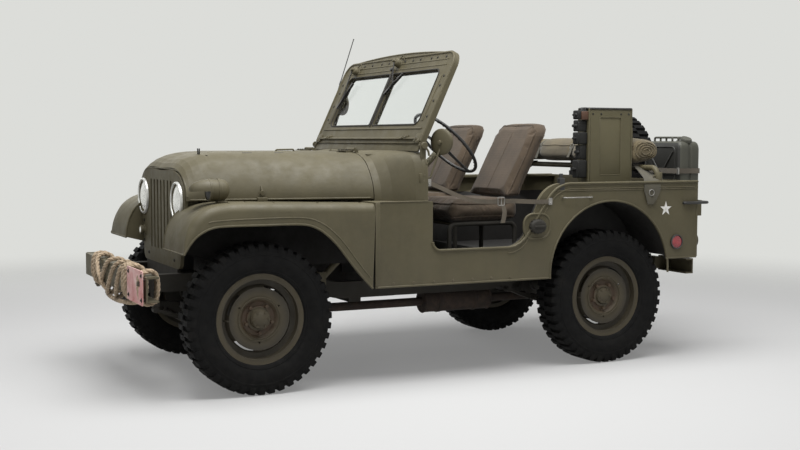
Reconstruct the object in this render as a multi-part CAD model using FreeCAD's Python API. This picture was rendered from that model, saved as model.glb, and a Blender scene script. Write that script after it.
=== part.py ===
import FreeCAD, Part
import math
import os

os.makedirs("parts", exist_ok=True)

# Open military 4x4 car, in millimetres. +X points forward, +Y to the car's left, +Z up.
# The origin is on the ground at the centre of the overall length and width.

# Main sizes of the car
wheelbase = 2057.0
track = 1248.0
body_width = 1524.0
front_reach = 565.0
body_rear_back = 1.2825 * wheelbase
spare_gap = 45.0

# Wheels and tyres
tyre_radius = 375.0
tyre_width = 190.0
tread_width = 160.0
lug_depth = 14.0
lug_count = 30
lug_share = 0.55
rim_radius = 203.0
rim_flange = 223.0
rim_width = 128.0
rim_well = 172.0
sheet = 5.0
disc_bulge = 42.0
disc_seat = 22.0
slot_ring = 160.0
slot_depth = 4.5
disc_slot_count = 4
disc_slot_share = 0.45
disc_hole_count = 3
disc_hole_ring = 118.0
disc_hole_radius = 5.0
hub_radius = 48.0
hub_front_nose = 72.0
hub_rear_nose = 46.0
drum_radius = 140.0
drum_inner_face = 60.0
drum_outer_face = 12.0
spindle_radius = 30.0
running_clearance = 0.05
seat_gap = 0.3
moving_gap = 6.0

# Front and rear axles, springs and shafts
axle_tube = 32.0
pivot_y = 520.0
ball_radius = 52.0
cup_wall = 14.0
cup_back = 15.0
pivot_cap_radius = 24.0
pivot_cap_height = 18.0
backing_plate = 146.0
backing_thickness = 6.0
diff_offset = 170.0
diff_radius = 118.0
arm_length = 150.0
arm_radius = 12.0
tie_rod_radius = 13.0
tie_pin_radius = 9.0
spring_width = 45.0
spring_half = 430.0
spring_pack = 38.0
spring_rise = 70.0
spring_pad = 40.0
shaft_radius = 26.0

# Ladder frame
rail_half = 355.0
rail_width = 50.0
rail_height = 88.0
rail_wall = 6.0
rail_front_rise = 162.0
rail_middle_rise = 75.0
rail_rear_rise = 147.0
member_width = 70.0
hanger_half = 18.0
tow_hole_radius = 6.5
tow_hole_spread = 86.0
tow_hole_rise = 44.0

# Front bumper, rope and rear bumperettes
bumper_half = 0.4528 * body_width
bumper_bottom_rise = 112.0
bumper_height = 121.0
bumper_depth = 62.0
bumper_wall = 8.0
rope_diameter = 26.0
rope_far_y = -0.2887 * body_width
rope_near_y = 0.4199 * body_width
rope_sag = 62.0
bumperette_out = 60.0
bumperette_width = 258.0
bumperette_bottom_rise = 99.0
bumperette_height = 88.0
bumperette_reach = 52.0

# Engine, gearbox, radiator and exhaust
engine_front_ahead = 120.0
engine_length = 640.0
engine_half = 170.0
engine_bottom_rise = 135.0
engine_top_rise = 685.0
gearbox_length = 620.0
gearbox_half = 120.0
gearbox_height = 200.0
gearbox_bottom_rise = 45.0
transfer_bottom_rise = -30.0
transfer_height = 165.0
transfer_length = 310.0
manifold_height = 80.0
radiator_side_gap = 7.0
radiator_thickness = 60.0
radiator_gap = 30.0
exhaust_radius = 24.0
exhaust_rise = -35.0
muffler_radius = 62.0
muffler_length = 430.0

# Body tub
body_front_back = 0.2859 * wheelbase
door_front_back = 0.4434 * wheelbase
door_sill_end = 0.7000 * wheelbase
arch_back = 0.9883 * wheelbase
arch_centre_rise = 145.0
arch_room = 20.0
rocker_rise = 128.0
sill_rise = 312.0
deck_rise = 647.0
tail_rise = 203.0
waist_rise = 565.0
wall = 25.0
panel = 12.0
door_front_radius = 45.0
door_low_radius = 148.0
door_high_radius = 168.0
deck_lip = 62.0
wheelhouse_inner = 0.2920 * body_width
floor_rise = 145.0
load_floor_rise = 225.0
riser_ahead = 26.0
toe_height = 240.0
toe_length = 150.0

# Cowl, hood and windshield
hood_rear_back = 0.3160 * wheelbase
hood_front_ahead = 302.0
hood_gap = 6.0
hood_rear_half = 0.3950 * body_width
hood_front_half = 0.3051 * body_width
hood_top_rise = 812.0
nose_fall = 79.0
hood_edge_rise = 577.0
hood_skin = 8.0
hood_hinge_y = 0.1969 * body_width
hood_hinge_lift = 16.0
hood_hinge_length = 80.0
hood_barrel = 9.0
hood_pin = 5.0
hood_shoulder_shares = ((1.0, 0.0), (0.99, 0.22), (0.95, 0.44), (0.885, 0.65), (0.80, 0.83), (0.675, 0.95))
cowl_shoulder_shares = ((1.0, 0.0), (1.0, 0.33), (0.995, 0.62), (0.975, 0.82), (0.93, 0.94), (0.85, 0.985))
nose_shares = ((0.0, 0.0), (0.02, 0.27), (0.05, 0.52), (0.09, 0.72), (0.14, 0.87), (0.20, 0.95), (0.30, 1.0), (1.0, 1.0))
cowl_step_shares = (0.0, 0.15, 0.35, 0.55, 0.75, 0.9, 1.0)
cowl_rear_back = 0.4302 * wheelbase
cowl_lift = 9.0
windshield_back = 0.4239 * wheelbase
windshield_pivot_lift = 30.0
windshield_rake = 25.0
windshield_half = 0.4692 * body_width
windshield_height = 545.0
windshield_thickness = 28.0
windshield_corner = 90.0
pane_half_gap = 22.0
pane_outer = 0.3871 * body_width
pane_bottom = 118.0
pane_top = 436.0
pane_corner = 38.0
glass_thickness = 6.0
hinge_pin = 7.0
hinge_ear = 16.0
wiper_spread = 0.4068 * body_width
wiper_right_y = -0.3675 * body_width
wiper_motor_radius = 24.0
wiper_motor_depth = 34.0
wiper_arm = 235.0

# Front fenders and grille panel
fender_front_ahead = 402.0
fender_nose_ahead = 391.0
fender_top_front_rise = 576.0
fender_top_rear_rise = 559.0
fender_tip_rise = 336.0
fender_inner = 0.2592 * body_width
fender_skin = 10.0
fender_side = 14.0
apron_bottom_rise = 235.0
apron_front_ahead = 200.0
fender_front_radius = 105.0
arch_front_ahead = 375.0
arch_rise_ahead = 235.0
arch_top_front_rise = 463.0
arch_fall_back = 250.0
arch_edge = 16.0
grille_front_ahead = 308.0
grille_thickness = 18.0
grille_bottom_rise = 225.0
grille_low_half = 0.2375 * body_width
grille_waist_half = 0.2480 * body_width
grille_waist_rise = 425.0
grille_shoulder_rise = 495.0
grille_corner = 50.0
slot_count = 7
slot_pitch = 0.0433 * body_width
slot_width = 0.0184 * body_width
slot_bottom_rise = 297.0
slot_top_rise = 671.0
lamp_y = 0.2198 * body_width
lamp_rise = 570.0
lamp_radius = 89.0
lamp_ring = 14.0
lamp_depth = 70.0
marker_y = 0.2264 * body_width
marker_rise = 382.0
marker_radius = 24.0
blackout_ahead = 165.0
blackout_y = 0.3937 * body_width
blackout_rise = 635.0
blackout_radius = 52.0

# Cab fittings
steering_box_back = 0.2088 * wheelbase
wheel_centre_back = 0.5795 * wheelbase
wheel_centre_rise = 861.0
steering_rim = 216.0
steering_grip = 10.0
steering_hub = 30.0
steering_shaft = 10.0
column_radius = 17.5
steering_box_middle_rise = 124.6
steering_box_length = 84.0
steering_box_height = 86.0
steering_box_top_rise = 181.0
tunnel_half = 140.0
tunnel_top_rise = 275.0
dash_drop = 215.0
seat_tuck = 20.0
seat_rear_room = 40.0
seat_length = 0.2139 * wheelbase
seat_half = 0.1476 * body_width
seat_top_half = 0.1102 * body_width
seat_cushion_rise = 437.0
seat_cushion_height = 120.0
seat_back_height = 420.0
seat_back_depth = 105.0
seat_lean = 28.0
seat_tube = 13.0

# Load, spare wheel, can, mirrors and antenna
cabinet_front_back = 0.9674 * wheelbase
cabinet_length = 0.1434 * wheelbase
cabinet_outer = 0.3937 * body_width
cabinet_depth = 0.1969 * body_width
cabinet_height = 522.0
rack_length = 0.0428 * wheelbase
rack_height = 385.0
roll_room = 9.0
bow_tube = 16.0
bow_top_rise = 723.0
roll_half = 0.3675 * body_width
roll_radius = 78.0
can_outer = 0.3773 * body_width
can_width = 0.2264 * body_width
can_depth = 165.0
can_bottom_rise = 437.0
can_height = 468.0
can_gap = 14.0
tray_height = 82.0
tray_wall = 6.0
spare_y = -0.1772 * body_width
spare_rise = 685.0
mirror_back = 0.4789 * wheelbase
mirror_y = 0.4777 * body_width
mirror_rise = 870.0
mirror_radius = 66.0
mirror_right_lift = 230.0
mirror_right_shift = 70.0
mirror_right_turn = -9.0
mirror_turn = 25.0
antenna_back = 0.4171 * wheelbase
antenna_foot_rise = 655.0
antenna_length = 907.0
antenna_lean = 18.5
antenna_radius = 3.0
antenna_tuck = 3.4

# Heights, all carried by the axle line
rail_front_z = tyre_radius + rail_front_rise
rail_middle_z = tyre_radius + rail_middle_rise
rail_rear_z = tyre_radius + rail_rear_rise
bumper_bottom = tyre_radius + bumper_bottom_rise
bumperette_bottom = tyre_radius + bumperette_bottom_rise
engine_bottom = tyre_radius + engine_bottom_rise
engine_top = tyre_radius + engine_top_rise
gearbox_bottom = tyre_radius + gearbox_bottom_rise
transfer_bottom = tyre_radius + transfer_bottom_rise
exhaust_z = tyre_radius + exhaust_rise
arch_centre_z = tyre_radius + arch_centre_rise
rocker_z = tyre_radius + rocker_rise
sill_z = tyre_radius + sill_rise
deck_z = tyre_radius + deck_rise
tail_z = tyre_radius + tail_rise
waist_z = tyre_radius + waist_rise
floor_z = tyre_radius + floor_rise
load_floor_z = tyre_radius + load_floor_rise
hood_top_z = tyre_radius + hood_top_rise
hood_nose_z = hood_top_z - nose_fall
hood_edge_z = tyre_radius + hood_edge_rise
hood_hinge_z = hood_top_z + hood_hinge_lift
cowl_top_z = hood_top_z + cowl_lift
windshield_pivot_z = cowl_top_z + windshield_pivot_lift
fender_top_front_z = tyre_radius + fender_top_front_rise
fender_top_rear_z = tyre_radius + fender_top_rear_rise
fender_tip_z = tyre_radius + fender_tip_rise
apron_bottom = tyre_radius + apron_bottom_rise
arch_top_front_z = tyre_radius + arch_top_front_rise
grille_bottom_z = tyre_radius + grille_bottom_rise
grille_waist_z = tyre_radius + grille_waist_rise
grille_shoulder_z = tyre_radius + grille_shoulder_rise
slot_bottom_z = tyre_radius + slot_bottom_rise
slot_top_z = tyre_radius + slot_top_rise
lamp_z = tyre_radius + lamp_rise
marker_z = tyre_radius + marker_rise
blackout_z = tyre_radius + blackout_rise
wheel_centre_z = tyre_radius + wheel_centre_rise
steering_box_top = tyre_radius + steering_box_top_rise
tunnel_top = tyre_radius + tunnel_top_rise
seat_cushion_z = tyre_radius + seat_cushion_rise
bow_top_z = tyre_radius + bow_top_rise
can_bottom_z = tyre_radius + can_bottom_rise
spare_z = tyre_radius + spare_rise
mirror_z = tyre_radius + mirror_rise
antenna_foot_z = tyre_radius + antenna_foot_rise
steering_box_middle = tyre_radius + steering_box_middle_rise

# Places that follow from the sizes
half_track = track / 2
body_half = body_width / 2
spring_y = rail_half - rail_width / 2
wheel_centre_y = rail_half + column_radius + seat_gap
seat_y = tunnel_half + seat_half - seat_tuck
radiator_half = lamp_y - lamp_radius - lamp_ring - radiator_side_gap
bumperette_inner = rail_half + bumperette_out
bumperette_outer = bumperette_inner + bumperette_width
arch_radius = tyre_radius + arch_room
riser_back = arch_back - arch_radius - panel - riser_ahead
door_top_back = riser_back
arch_low_back = body_front_back - arch_edge
seat_front_back = riser_back - seat_rear_room - seat_length
bow_back = cabinet_front_back + cabinet_length + roll_radius + roll_room
overall_length = front_reach + body_rear_back + spare_gap + tyre_width
front_axle_x = overall_length / 2 - front_reach
rear_axle_x = front_axle_x - wheelbase
body_rear_x = front_axle_x - body_rear_back
body_front_x = front_axle_x - body_front_back
door_front_x = front_axle_x - door_front_back
arch_x = front_axle_x - arch_back
hood_rear_x = front_axle_x - hood_rear_back
hood_front_x = front_axle_x + hood_front_ahead
cowl_front_x = hood_rear_x - hood_gap
cowl_rear_x = front_axle_x - cowl_rear_back
grille_x = front_axle_x + grille_front_ahead
inner_half = body_half - wall
tread_root = tyre_radius - lug_depth
overrun = sheet
origin = FreeCAD.Vector(0, 0, 0)
along_x = FreeCAD.Vector(1, 0, 0)
along_y = FreeCAD.Vector(0, 1, 0)
along_z = FreeCAD.Vector(0, 0, 1)


def vec(x, y, z):
    return FreeCAD.Vector(x, y, z)


def block(x0, x1, y0, y1, z0, z1):
    """A box between two corners."""
    return Part.makeBox(x1 - x0, y1 - y0, z1 - z0, vec(x0, y0, z0))


def rod(start, end, radius):
    """A round bar from one point to another."""
    run = end - start
    return Part.makeCylinder(radius, run.Length, start, run)


def ring(start, end, outer, inner):
    """A round tube from one point to another."""
    run = end - start
    return rod(start, end, outer).cut(rod(start - run, end + run, inner))


def mirrored(shape):
    """The same shape on the other side of the car."""
    return shape.mirror(origin, along_y)


def on_side(shape, side):
    return shape if side > 0 else mirrored(shape)


def fused(shapes):
    """One solid from shapes that touch or overlap."""
    first, rest = shapes[0], shapes[1:]
    whole = first.multiFuse(rest) if rest else first
    return whole.removeSplitter()


def rounded_wire(points, radii, closed):
    """Straight runs joined by tangent arcs, with one radius for each corner."""
    count = len(points)
    starts = []
    ends = []
    edges = []
    for i in range(count):
        point = points[i]
        open_end = not closed and i in (0, count - 1)
        if radii[i] == 0 or open_end:
            starts.append(point)
            ends.append(point)
            continue
        back = (points[i - 1] - point).normalize()
        ahead = (points[(i + 1) % count] - point).normalize()
        half = back.getAngle(ahead) / 2
        reach = radii[i] / math.tan(half)
        middle = point + (back + ahead).normalize() * (radii[i] / math.sin(half) - radii[i])
        starts.append(point + back * reach)
        ends.append(point + ahead * reach)
        edges.append((i, Part.Arc(starts[i], middle, ends[i]).toShape()))
    arcs = dict(edges)
    chain = []
    for i in range(count):
        if i in arcs:
            chain.append(arcs[i])
        following = (i + 1) % count
        if following == 0 and not closed:
            break
        if (starts[following] - ends[i]).Length > running_clearance:
            chain.append(Part.makeLine(ends[i], starts[following]))
    return Part.Wire(chain)


def side_plate(points, radii, y0, y1):
    """A plate with its outline in X and Z, as seen from the side, between two widths."""
    wire = rounded_wire([vec(x, y0, z) for x, z in points], radii, True)
    return Part.Face(wire).extrude(vec(0, y1 - y0, 0))


def front_plate(points, radii, x0, x1):
    """A plate with its outline in Y and Z, as seen from the front, between two stations."""
    wire = rounded_wire([vec(x0, y, z) for y, z in points], radii, True)
    return Part.Face(wire).extrude(vec(x1 - x0, 0, 0))


def top_plate(points, radii, z0, z1):
    """A plate with its outline in X and Y, as seen from above, between two heights."""
    wire = rounded_wire([vec(x, y, z0) for x, y in points], radii, True)
    return Part.Face(wire).extrude(vec(0, 0, z1 - z0))


def turned(profile):
    """A shape turned about the Y axis, from radius and place along the axle."""
    wire = Part.makePolygon([vec(r, t, 0) for r, t in profile] + [vec(profile[0][0], profile[0][1], 0)])
    return Part.Face(wire).revolve(origin, along_y, 360)


def bent_tube(points, radii, radius):
    """A round bar along straight runs and tangent arcs."""
    path = rounded_wire(points, radii, False)
    start = points[0]
    circle = Part.Wire(Part.makeCircle(radius, start, points[1] - start))
    sweep = Part.BRepOffsetAPI.MakePipeShell(path)
    sweep.setFrenetMode(True)
    sweep.add(circle)
    sweep.build()
    sweep.makeSolid()
    return sweep.shape()


def save(name, solids):
    """One file for a node, which may hold several like solids."""
    shape = solids[0] if len(solids) == 1 else Part.makeCompound(solids)
    shape.exportStep("parts/" + name + ".step")


# Wheels


def lug_ring(offset, y0, y1):
    """Half of the tread: blocks all round, cut straight across the tyre."""
    points = []
    for i in range(lug_count):
        for share, radius in (
            (0.0, tread_root),
            (1 - lug_share, tread_root),
            (1 - lug_share, tyre_radius),
            (1.0, tyre_radius),
        ):
            angle = 2 * math.pi * (i + offset + share) / lug_count
            points.append((radius * math.sin(angle), -radius * math.cos(angle)))
    band = side_plate(points, [0] * len(points), y0, y1)
    return band.cut(rod(vec(0, y0 - overrun, 0), vec(0, y1 + overrun, 0), rim_flange + 2 * lug_depth))


def tyre():
    """A tyre about the Y axis: round walls, two bead edges and two rows of lugs."""
    half = tread_width / 2
    shoulder = half + sheet / 2
    belly = tyre_width / 2
    bead = rim_width / 2 - sheet
    bore = rim_radius + seat_gap
    right = Part.Arc(vec(rim_flange, -bead, 0), vec((rim_flange + tread_root) / 2, -belly, 0), vec(tread_root - lug_depth, -shoulder, 0))
    left = Part.Arc(vec(tread_root - lug_depth, shoulder, 0), vec((rim_flange + tread_root) / 2, belly, 0), vec(rim_flange, bead, 0))
    wall_wire = Part.Wire([
        Part.makeLine(vec(bore, bead, 0), vec(bore, -bead, 0)),
        Part.makeLine(vec(bore, -bead, 0), vec(rim_flange, -bead, 0)),
        right.toShape(),
        Part.makeLine(vec(tread_root - lug_depth, -shoulder, 0), vec(tread_root - lug_depth, shoulder, 0)),
        left.toShape(),
        Part.makeLine(vec(rim_flange, bead, 0), vec(bore, bead, 0)),
    ])
    carcass = Part.Face(wall_wire).revolve(origin, along_y, 360)
    lowest = lug_share / 2
    outer = lug_ring(lowest, 0, half)
    inner = lug_ring(lowest + 1 / 2, -half, 0)
    return fused([carcass, outer, inner])


def rim_and_disc():
    """The steel rim with its well, and the dished disc."""
    edge = rim_width / 2
    well = edge / 3
    rim = turned([
        (rim_flange, -edge), (rim_flange, -edge + sheet), (rim_radius, -edge + sheet),
        (rim_radius, -well - sheet), (rim_well, -well), (rim_well, well),
        (rim_radius, well + sheet), (rim_radius, edge - sheet), (rim_flange, edge - sheet),
        (rim_flange, edge), (rim_radius - sheet, edge), (rim_radius - sheet, well + sheet),
        (rim_well - sheet, well), (rim_well - sheet, -well), (rim_radius - sheet, -well - sheet),
        (rim_radius - sheet, -edge),
    ])
    ridge = (rim_well + drum_radius) / 2
    shoulder = 0.7 * drum_radius
    disc = turned([
        (hub_radius - sheet, disc_seat), (shoulder - 2 * sheet, disc_seat), (shoulder + sheet, disc_bulge - sheet),
        (ridge - sheet, disc_bulge), (rim_well - sheet, well - sheet), (rim_well - sheet / 2, well + sheet / 2),
        (ridge, disc_bulge + sheet), (shoulder, disc_bulge), (shoulder - 3 * sheet, disc_seat + sheet),
        (hub_radius - sheet, disc_seat + sheet),
    ])
    return fused([rim, disc.cut(disc_slots())])


def disc_slots():
    """Four curved slots at the disc's edge and three small round holes nearer the hub."""
    far = along_y * (disc_bulge + rim_flange)
    band = ring(origin, far, slot_ring + slot_depth, slot_ring - slot_depth)
    cuts = []
    for i in range(disc_slot_count):
        middle = 2 * math.pi * (i + 1 / 3) / disc_slot_count
        spread = math.pi * disc_slot_share / disc_slot_count
        corners = [vec(0, 0, 0)] + [
            vec(2 * rim_flange * math.cos(middle + turn), 0, 2 * rim_flange * math.sin(middle + turn))
            for turn in (-spread, spread)
        ]
        wedge = Part.Face(Part.makePolygon(corners + corners[:1])).extrude(far)
        cuts.append(band.common(wedge))
    for i in range(disc_hole_count):
        turn = 2 * math.pi * (i + 1 / 4) / disc_hole_count
        place = vec(disc_hole_ring * math.cos(turn), 0, disc_hole_ring * math.sin(turn))
        cuts.append(rod(place, place + far, disc_hole_radius))
    return Part.makeCompound(cuts)


def hub_and_drum(nose):
    """The brake drum, open inboard, with a hub bored for the spindle."""
    bore = spindle_radius + running_clearance
    skin = 2 * sheet
    drum = turned([
        (drum_radius, -drum_inner_face), (drum_radius, -drum_outer_face), (bore, -drum_outer_face),
        (bore, -drum_outer_face - skin), (drum_radius - skin, -drum_outer_face - skin),
        (drum_radius - skin, -drum_inner_face),
    ])
    hub = turned([
        (bore, -drum_outer_face - skin), (hub_radius, -drum_outer_face - skin), (hub_radius, nose - skin),
        (hub_radius - sheet, nose), (0, nose), (0, disc_seat + skin), (bore, disc_seat + skin),
    ])
    return fused([drum, hub])


def wheel(nose):
    return fused([rim_and_disc(), hub_and_drum(nose)])


def placed(shape, x, y, z):
    moved = shape.copy()
    moved.translate(vec(x, y, z))
    return moved


def build_wheels():
    """Four road wheels, and the spare outside the rear panel."""
    rubber = tyre()
    for place, x, nose in (("front", front_axle_x, hub_front_nose), ("rear", rear_axle_x, hub_rear_nose)):
        steel = wheel(nose)
        for name, side in (("left", 1), ("right", -1)):
            save("tyre_" + place + "_" + name, [on_side(placed(rubber, x, half_track, tyre_radius), side)])
            save("wheel_" + place + "_" + name, [on_side(placed(steel, x, half_track, tyre_radius), side)])
    x = body_rear_x - spare_gap - tyre_width / 2
    for name, shape in (("spare_tyre", rubber), ("spare_wheel", rim_and_disc())):
        spare = shape.copy()
        spare.rotate(origin, along_z, 90)
        save(name, [placed(spare, x, spare_y, spare_z)])


# Axles, steering knuckles and springs


def spring_pads(x, tube):
    """Blocks under an axle tube that sit on the two leaf packs."""
    seat = spring_top(tube) + spring_rise * (spring_pad / spring_half) ** 2
    return [
        on_side(block(
            x - spring_pad, x + spring_pad, spring_y - spring_width / 2, spring_y + spring_width / 2,
            seat, tyre_radius,
        ), side)
        for side in (1, -1)
    ]


def spring_top(tube):
    """Height of the middle of a leaf pack below an axle tube."""
    return tyre_radius - tube - sheet


def build_front_axle():
    """The tube with its offset gear housing and a ball at each end."""
    centre = vec(front_axle_x, 0, tyre_radius)
    tube = rod(centre - along_y * pivot_y, centre + along_y * pivot_y, axle_tube)
    balls = [Part.makeSphere(ball_radius, centre + along_y * pivot_y * side) for side in (1, -1)]
    save("front_axle", [fused([tube, gear_housing(front_axle_x, 1)] + balls + spring_pads(front_axle_x, axle_tube))])


def gear_housing(x, nose_side):
    """The round gear housing beside the centre, with its cover and pinion nose."""
    centre = vec(x, -diff_offset, tyre_radius)
    bowl = Part.makeSphere(diff_radius, centre)
    keep = block(
        x - diff_radius, x + diff_radius, -diff_offset - diff_radius, -diff_offset + diff_radius,
        tyre_radius - diff_radius, tyre_radius + diff_radius,
    )
    slim = keep.common(rod(centre - along_x * 0.62 * diff_radius, centre + along_x * 0.62 * diff_radius, diff_radius))
    nose_end = centre - along_x * nose_side * 1.6 * diff_radius
    nose = rod(centre, nose_end, 0.42 * diff_radius)
    return fused([bowl.common(slim), nose])


def knuckle():
    """The left steering knuckle: a cup round the ball, pivot caps, plate, spindle and tie-rod arm."""
    centre = vec(front_axle_x, pivot_y, tyre_radius)
    outer = ball_radius + seat_gap + cup_wall
    shell = Part.makeSphere(outer, centre).cut(Part.makeSphere(ball_radius + seat_gap, centre))
    inboard = block(
        front_axle_x - outer, front_axle_x + outer, pivot_y - outer, pivot_y - cup_back,
        tyre_radius - outer, tyre_radius + outer,
    )
    cup = shell.cut(inboard)
    cap_start = ball_radius + seat_gap + cup_wall / 2
    cap_end = outer + pivot_cap_height
    caps = [
        rod(centre + along_z * cap_start * way, centre + along_z * cap_end * way, pivot_cap_radius)
        for way in (1, -1)
    ]
    plate_y = half_track - drum_inner_face - moving_gap - backing_thickness
    plate_start = vec(front_axle_x, plate_y, tyre_radius)
    plate = rod(plate_start, plate_start + along_y * backing_thickness, backing_plate)
    plate = plate.cut(Part.makeSphere(outer - cup_wall / 2, centre))
    spindle_start = vec(front_axle_x, pivot_y + ball_radius + seat_gap + cup_wall / 3, tyre_radius)
    spindle_end = vec(front_axle_x, half_track + disc_seat, tyre_radius)
    spindle = rod(spindle_start, spindle_end, spindle_radius)
    arm_foot = vec(front_axle_x, pivot_y, arm_z())
    arm_tip = arm_foot + along_x * arm_length
    arm = rod(arm_foot, arm_tip, arm_radius)
    pin_end = vec(arm_tip.x, pivot_y, tie_rod_z() - tie_rod_radius - sheet)
    pin = rod(arm_tip + along_z * arm_radius, pin_end, tie_pin_radius)
    return fused([cup, plate, spindle, arm, pin] + caps)


def arm_z():
    """Height of the arms under the lower pivot caps."""
    return tyre_radius - ball_radius - seat_gap - cup_wall - pivot_cap_height / 2


def tie_rod_z():
    return arm_z() - arm_radius - moving_gap - tie_rod_radius


def build_steering():
    """Both knuckles, and the tie rod that hangs on their pins ahead of the axle."""
    left = knuckle()
    save("knuckle_left", [left])
    save("knuckle_right", [mirrored(left)])
    x = front_axle_x + arm_length
    z = tie_rod_z()
    eye = tie_pin_radius + running_clearance
    bar_end = pivot_y - 1.5 * tie_pin_radius
    bar = rod(vec(x, -bar_end, z), vec(x, bar_end, z), tie_rod_radius)
    eyes = []
    holes = []
    for side in (1, -1):
        centre = vec(x, pivot_y * side, z)
        rise = along_z * (0.9 * tie_rod_radius)
        eyes.append(rod(centre - rise, centre + rise, 2 * tie_pin_radius))
        holes.append(rod(centre - along_z * 2 * tie_rod_radius, centre + along_z * 2 * tie_rod_radius, eye))
    whole = fused([bar] + eyes)
    save("tie_rod", [whole.cut(Part.makeCompound(holes))])


def build_rear_axle():
    """The tube with its gear housing, backing plates and spindles."""
    centre = vec(rear_axle_x, 0, tyre_radius)
    reach = half_track - drum_inner_face - moving_gap
    tube = axle_tube + sheet
    pieces = [rod(centre - along_y * reach, centre + along_y * reach, tube), gear_housing(rear_axle_x, -1)]
    pieces += spring_pads(rear_axle_x, tube)
    for side in (1, -1):
        start = centre + along_y * (reach - backing_thickness) * side
        pieces.append(rod(start, centre + along_y * reach * side, backing_plate))
        pieces.append(rod(start, centre + along_y * (half_track + disc_seat) * side, spindle_radius))
    save("rear_axle", [fused(pieces)])


def spring(x, y, tube):
    """One curved leaf pack, with eyes, that holds the axle from below."""
    seat_top = spring_top(tube)
    high = seat_top + spring_rise
    ends = (vec(x - spring_half, y, high), vec(x + spring_half, y, high))
    top = Part.Arc(ends[0], vec(x, y, seat_top), ends[1]).toShape()
    lower_ends = (ends[0] - along_z * sheet * 2, ends[1] - along_z * sheet * 2)
    bottom = Part.Arc(lower_ends[1], vec(x, y, seat_top - spring_pack), lower_ends[0]).toShape()
    outline = Part.Wire([
        top, Part.makeLine(ends[1], lower_ends[1]), bottom, Part.makeLine(lower_ends[0], ends[0]),
    ])
    leaf = placed(Part.Face(outline).extrude(along_y * spring_width), 0, -spring_width / 2, 0)
    pieces = [leaf]
    for end in ends:
        eye = end - along_z * sheet
        pieces.append(rod(eye - along_y * spring_width / 2, eye + along_y * spring_width / 2, 3 * sheet))
    return fused(pieces)


def build_springs():
    springs = []
    for side in (1, -1):
        springs.append(spring(front_axle_x, spring_y * side, axle_tube))
        springs.append(spring(rear_axle_x, spring_y * side, axle_tube + sheet))
    save("leaf_springs", springs)


def transfer_front_x():
    return gearbox_rear_x() + gearbox_length / 12 + transfer_length


def build_shafts():
    """Propeller shafts from the transfer case to both axles."""
    nose = 1.6 * diff_radius
    y = -diff_offset
    z = tyre_radius
    front = rod(vec(transfer_front_x(), y, z), vec(front_axle_x - nose, y, z), shaft_radius)
    rear = rod(vec(transfer_front_x() - transfer_length, y, z), vec(rear_axle_x + nose, y, z), shaft_radius)
    save("propeller_shafts", [front, rear])


# Frame and running gear


def rail_line():
    """The middle line of a side rail, from the bumper to the tail."""
    return (
        (front_axle_x + front_reach - bumper_wall, rail_front_z),
        (front_axle_x - 0.08 * wheelbase, rail_front_z),
        (front_axle_x - 0.27 * wheelbase, rail_middle_z),
        (rear_axle_x + 0.27 * wheelbase, rail_middle_z),
        (rear_axle_x + 0.08 * wheelbase, rail_rear_z),
        (body_rear_x + rail_wall, rail_rear_z),
    )


def rail_height_at(x):
    """Height of the rail's middle line at a station."""
    line = rail_line()
    for (xa, za), (xb, zb) in zip(line, line[1:]):
        if xb <= x <= xa:
            return za + (zb - za) * (xa - x) / (xa - xb)
    return rail_front_z


def rail(side):
    """One side rail: a channel that rises over both axles, with its spring hangers."""
    centre = rail_line()
    upper = [(x, z + rail_height / 2) for x, z in centre]
    lower = [(x, z - rail_height / 2) for x, z in reversed(centre)]
    bend = 2 * rail_height
    radii = [0, bend, bend, bend, bend, 0, 0, bend, bend, bend, bend, 0]
    outer = side_plate(upper + lower, radii, rail_half - rail_width, rail_half)
    upper = [(x, z + rail_height / 2 - rail_wall) for x, z in centre]
    lower = [(x, z - rail_height / 2 + rail_wall) for x, z in reversed(centre)]
    hollow = side_plate(upper + lower, radii, rail_half - 2 * rail_width, rail_half - rail_wall)
    hangers = []
    for axle_x, tube in ((front_axle_x, axle_tube), (rear_axle_x, axle_tube + sheet)):
        eye_z = spring_top(tube) + spring_rise - sheet
        for way in (1, -1):
            x = axle_x + spring_half * way
            low = eye_z + 3 * sheet + seat_gap
            high = rail_height_at(x) - rail_height / 2 + 2 * rail_wall
            hangers.append(block(
                x - hanger_half, x + hanger_half, spring_y - spring_width / 2, spring_y + spring_width / 2, low, high,
            ))
    for x, floor in body_mounts():
        hangers.append(block(
            x - member_width / 2, x + member_width / 2, rail_half - rail_width, rail_half,
            rail_height_at(x) + rail_height / 2, floor,
        ))
    return on_side(fused([outer.cut(hollow)] + hangers), side)


def body_mounts():
    """Stations of the blocks between a rail and the floor above it, with the floor's underside."""
    span = rail_half - rail_width
    return (
        (door_front_x - span / 3, floor_z), (front_axle_x - riser_back + span / 2, floor_z),
        (rear_axle_x - member_width, load_floor_z), (body_rear_x + span / 3, load_floor_z),
    )


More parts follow.
